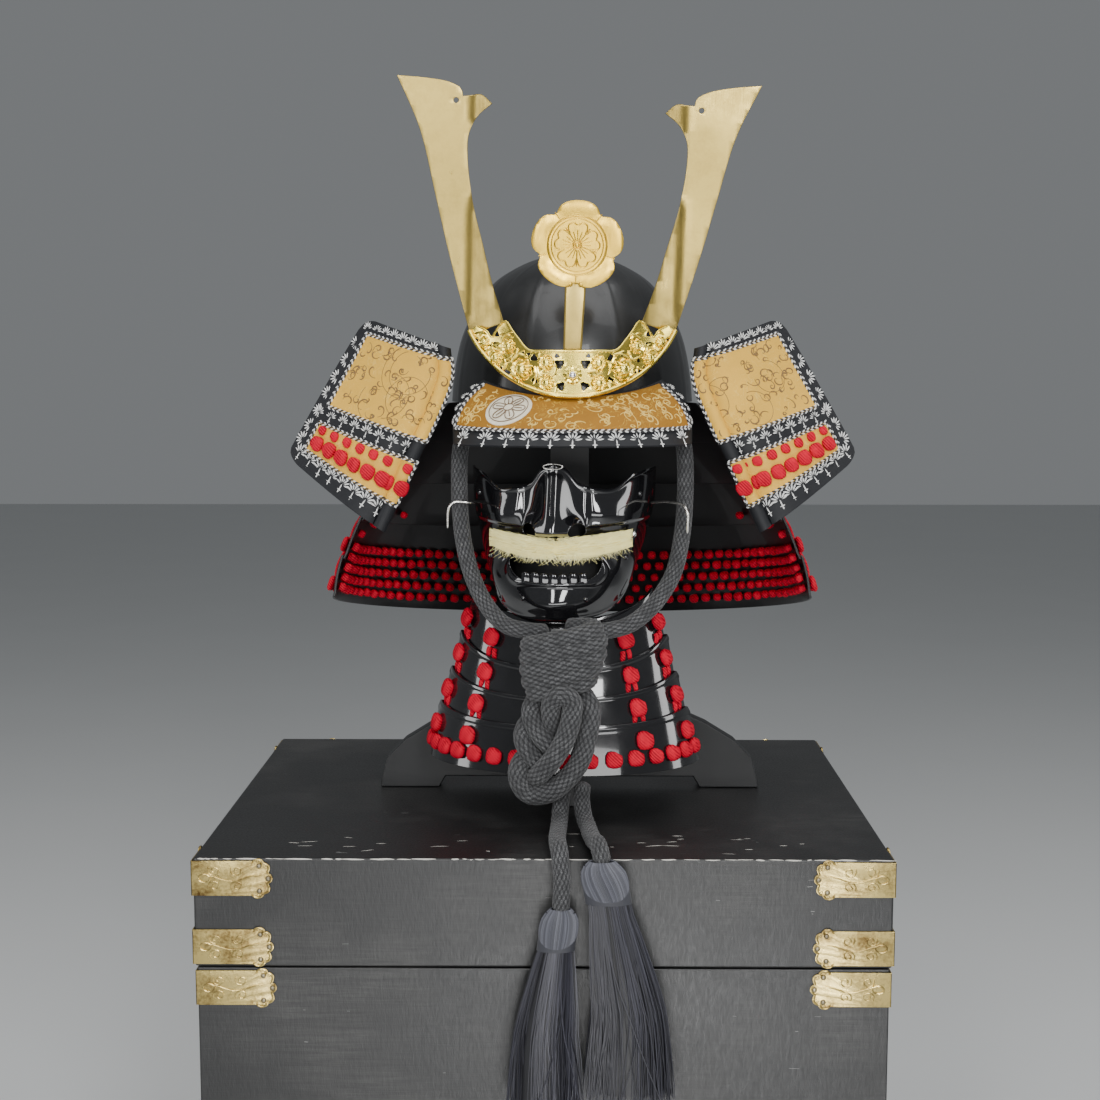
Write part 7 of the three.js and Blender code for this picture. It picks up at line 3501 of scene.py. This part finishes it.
@dataclass
class Studio:
    """The camera, the soft lights, the pale world and the floor."""

    camera_at: Triple = (0.0183, -1.4834, 0.8861)
    down: float = 0.1116
    yaw: float = 0.00999
    lens: float = 54.72

    def camera(self) -> None:
        """Places the camera."""
        data = bpy.data.cameras.new("view")
        data.lens = self.lens
        data.sensor_width = 36
        camera = bpy.data.objects.new("view", data)
        camera.location = self.camera_at
        camera.rotation_euler = (math.pi / 2 - self.down, 0, self.yaw)
        bpy.context.scene.collection.objects.link(camera)
        bpy.context.scene.camera = camera

    def lamp(self, name: str, at: Triple, aim: Triple,
             size: Pair, power: float, tint: Triple = (1, 1, 1)) -> None:
        """A soft rectangular light that faces a point.

        Args:
            name: the lamp's name.
            at: where it stands.
            aim: what it faces.
            size: its width and height.
            power: its power in watts.
            tint: its colour.
        """
        data = bpy.data.lights.new(name, "AREA")
        data.shape = "RECTANGLE"
        data.size, data.size_y = size
        data.energy = power
        data.color = tint
        light = bpy.data.objects.new(name, data)
        light.location = at
        light.rotation_euler = (Vector(at) - Vector(aim)).to_track_quat("Z", "Y").to_euler()
        light.visible_camera = False
        bpy.context.scene.collection.objects.link(light)

    def build(self) -> None:
        """Sets up the lights, the world and the floor."""
        middle = (0.0, -0.05, 0.75)
        self.lamp("window_right", (0.6, -2.4, 1.75), middle, (0.5, 1.2), 38)
        self.lamp("window_left", (-0.62, -2.4, 1.65), middle, (0.34, 1.1), 20)
        self.lamp("overhead", (0.1, -0.45, 2.6), middle, (2.4, 1.5), 34)
        self.lamp("side_left", (-2.2, -0.5, 1.1), middle, (0.5, 1.5), 12)
        self.lamp("side_right", (2.2, -0.3, 1.2), middle, (0.5, 1.5), 13)
        self.lamp("low_front", (0.12, -1.15, 0.06), (0.04, -0.21, 0.32), (0.5, 0.1), 3.2)
        self.lamp("low_window", (0.0, -2.6, 0.52), (0.02, -0.1, 0.55), (2.7, 0.34), 17)
        world = bpy.data.worlds.new("studio")
        world.use_nodes = True
        background = next(n for n in world.node_tree.nodes if n.type == "BACKGROUND")
        background.inputs["Color"].default_value = (0.9, 0.94, 0.97, 1)
        background.inputs["Strength"].default_value = 0.2
        bpy.context.scene.world = world
        self.floor()

    @staticmethod
    def floor() -> None:
        """A plain pale floor."""
        shape = Shape(np.array([(-6000, -4000, 0), (6000, -4000, 0), (6000, 9000, 0), (-6000, 9000, 0)],
                               float),
                      [(0, 1, 2, 3)])
        mesh = mesh_of("floor", shape, Seat())
        mesh.materials.append(FLOOR.material())
        floor = bpy.data.objects.new("floor", mesh)
        bpy.context.scene.collection.objects.link(floor)


def main() -> None:
    """Builds the whole scene."""
    logging.basicConfig(level=logging.INFO, format="%(relativeCreated)d %(message)s")
    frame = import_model()
    studio = Studio()
    studio.camera()
    shop = Workshop(frame, Repeats())
    knot = Knot(shop)
    ChinCord(shop, knot).build(knot.build())
    left_way = (
        (15, -133, 42), (14, -131, 27), (13, -136, 13.5), (12, -150, 8.5), (11, -180, 8), (12, -203, 8.4),
        (13, -214, 7.4), (14, -220.5, -1), (15, -223, -14), (14, -223.5, -38),
    )
    right_way = (
        (32, -133, 42), (31, -131, 27), (33, -136, 13.5), (36, -148, 8.5), (38, -170, 8), (41, -194, 9),
        (43, -210, 12), (45, -221, 8), (46, -225, 2), (46, -225, 0),
    )
    Tail(shop, "left", left_way, (2, -229), -192, 29, 15, 0.0).build()
    Tail(shop, "right", right_way, (66, -232), -186, 35, 16, 0.5).build()
    Bowl(shop).build()
    Peak(shop).build()
    base = HornBase(shop)
    base.build()
    Horns(shop, base).build()
    Crest(shop, base).build()
    NeckGuard(shop).build()
    for side in Side:
        Wing(shop, side).build()
    mask = Mask(shop)
    mask.build()
    Moustache(shop, mask).build()
    Pins(shop).build()
    ThroatGuard(shop).build()
    Stand(shop).build()
    Chest(shop).build()
    for level, z, inward in (("lid_top", 484.0, 0.0), ("lid_low", 428.5, 0.0), ("body", 394.5, 1.5)):
        for corner, x, y in (("front_left", -1, -1), ("front_right", 1, -1), ("back_left", -1, 1),
                             ("back_right", 1, 1)):
            Fitting(shop, level, z, corner, x, y, inward).build()
    studio.build()


if __name__ == "__main__":
    main()
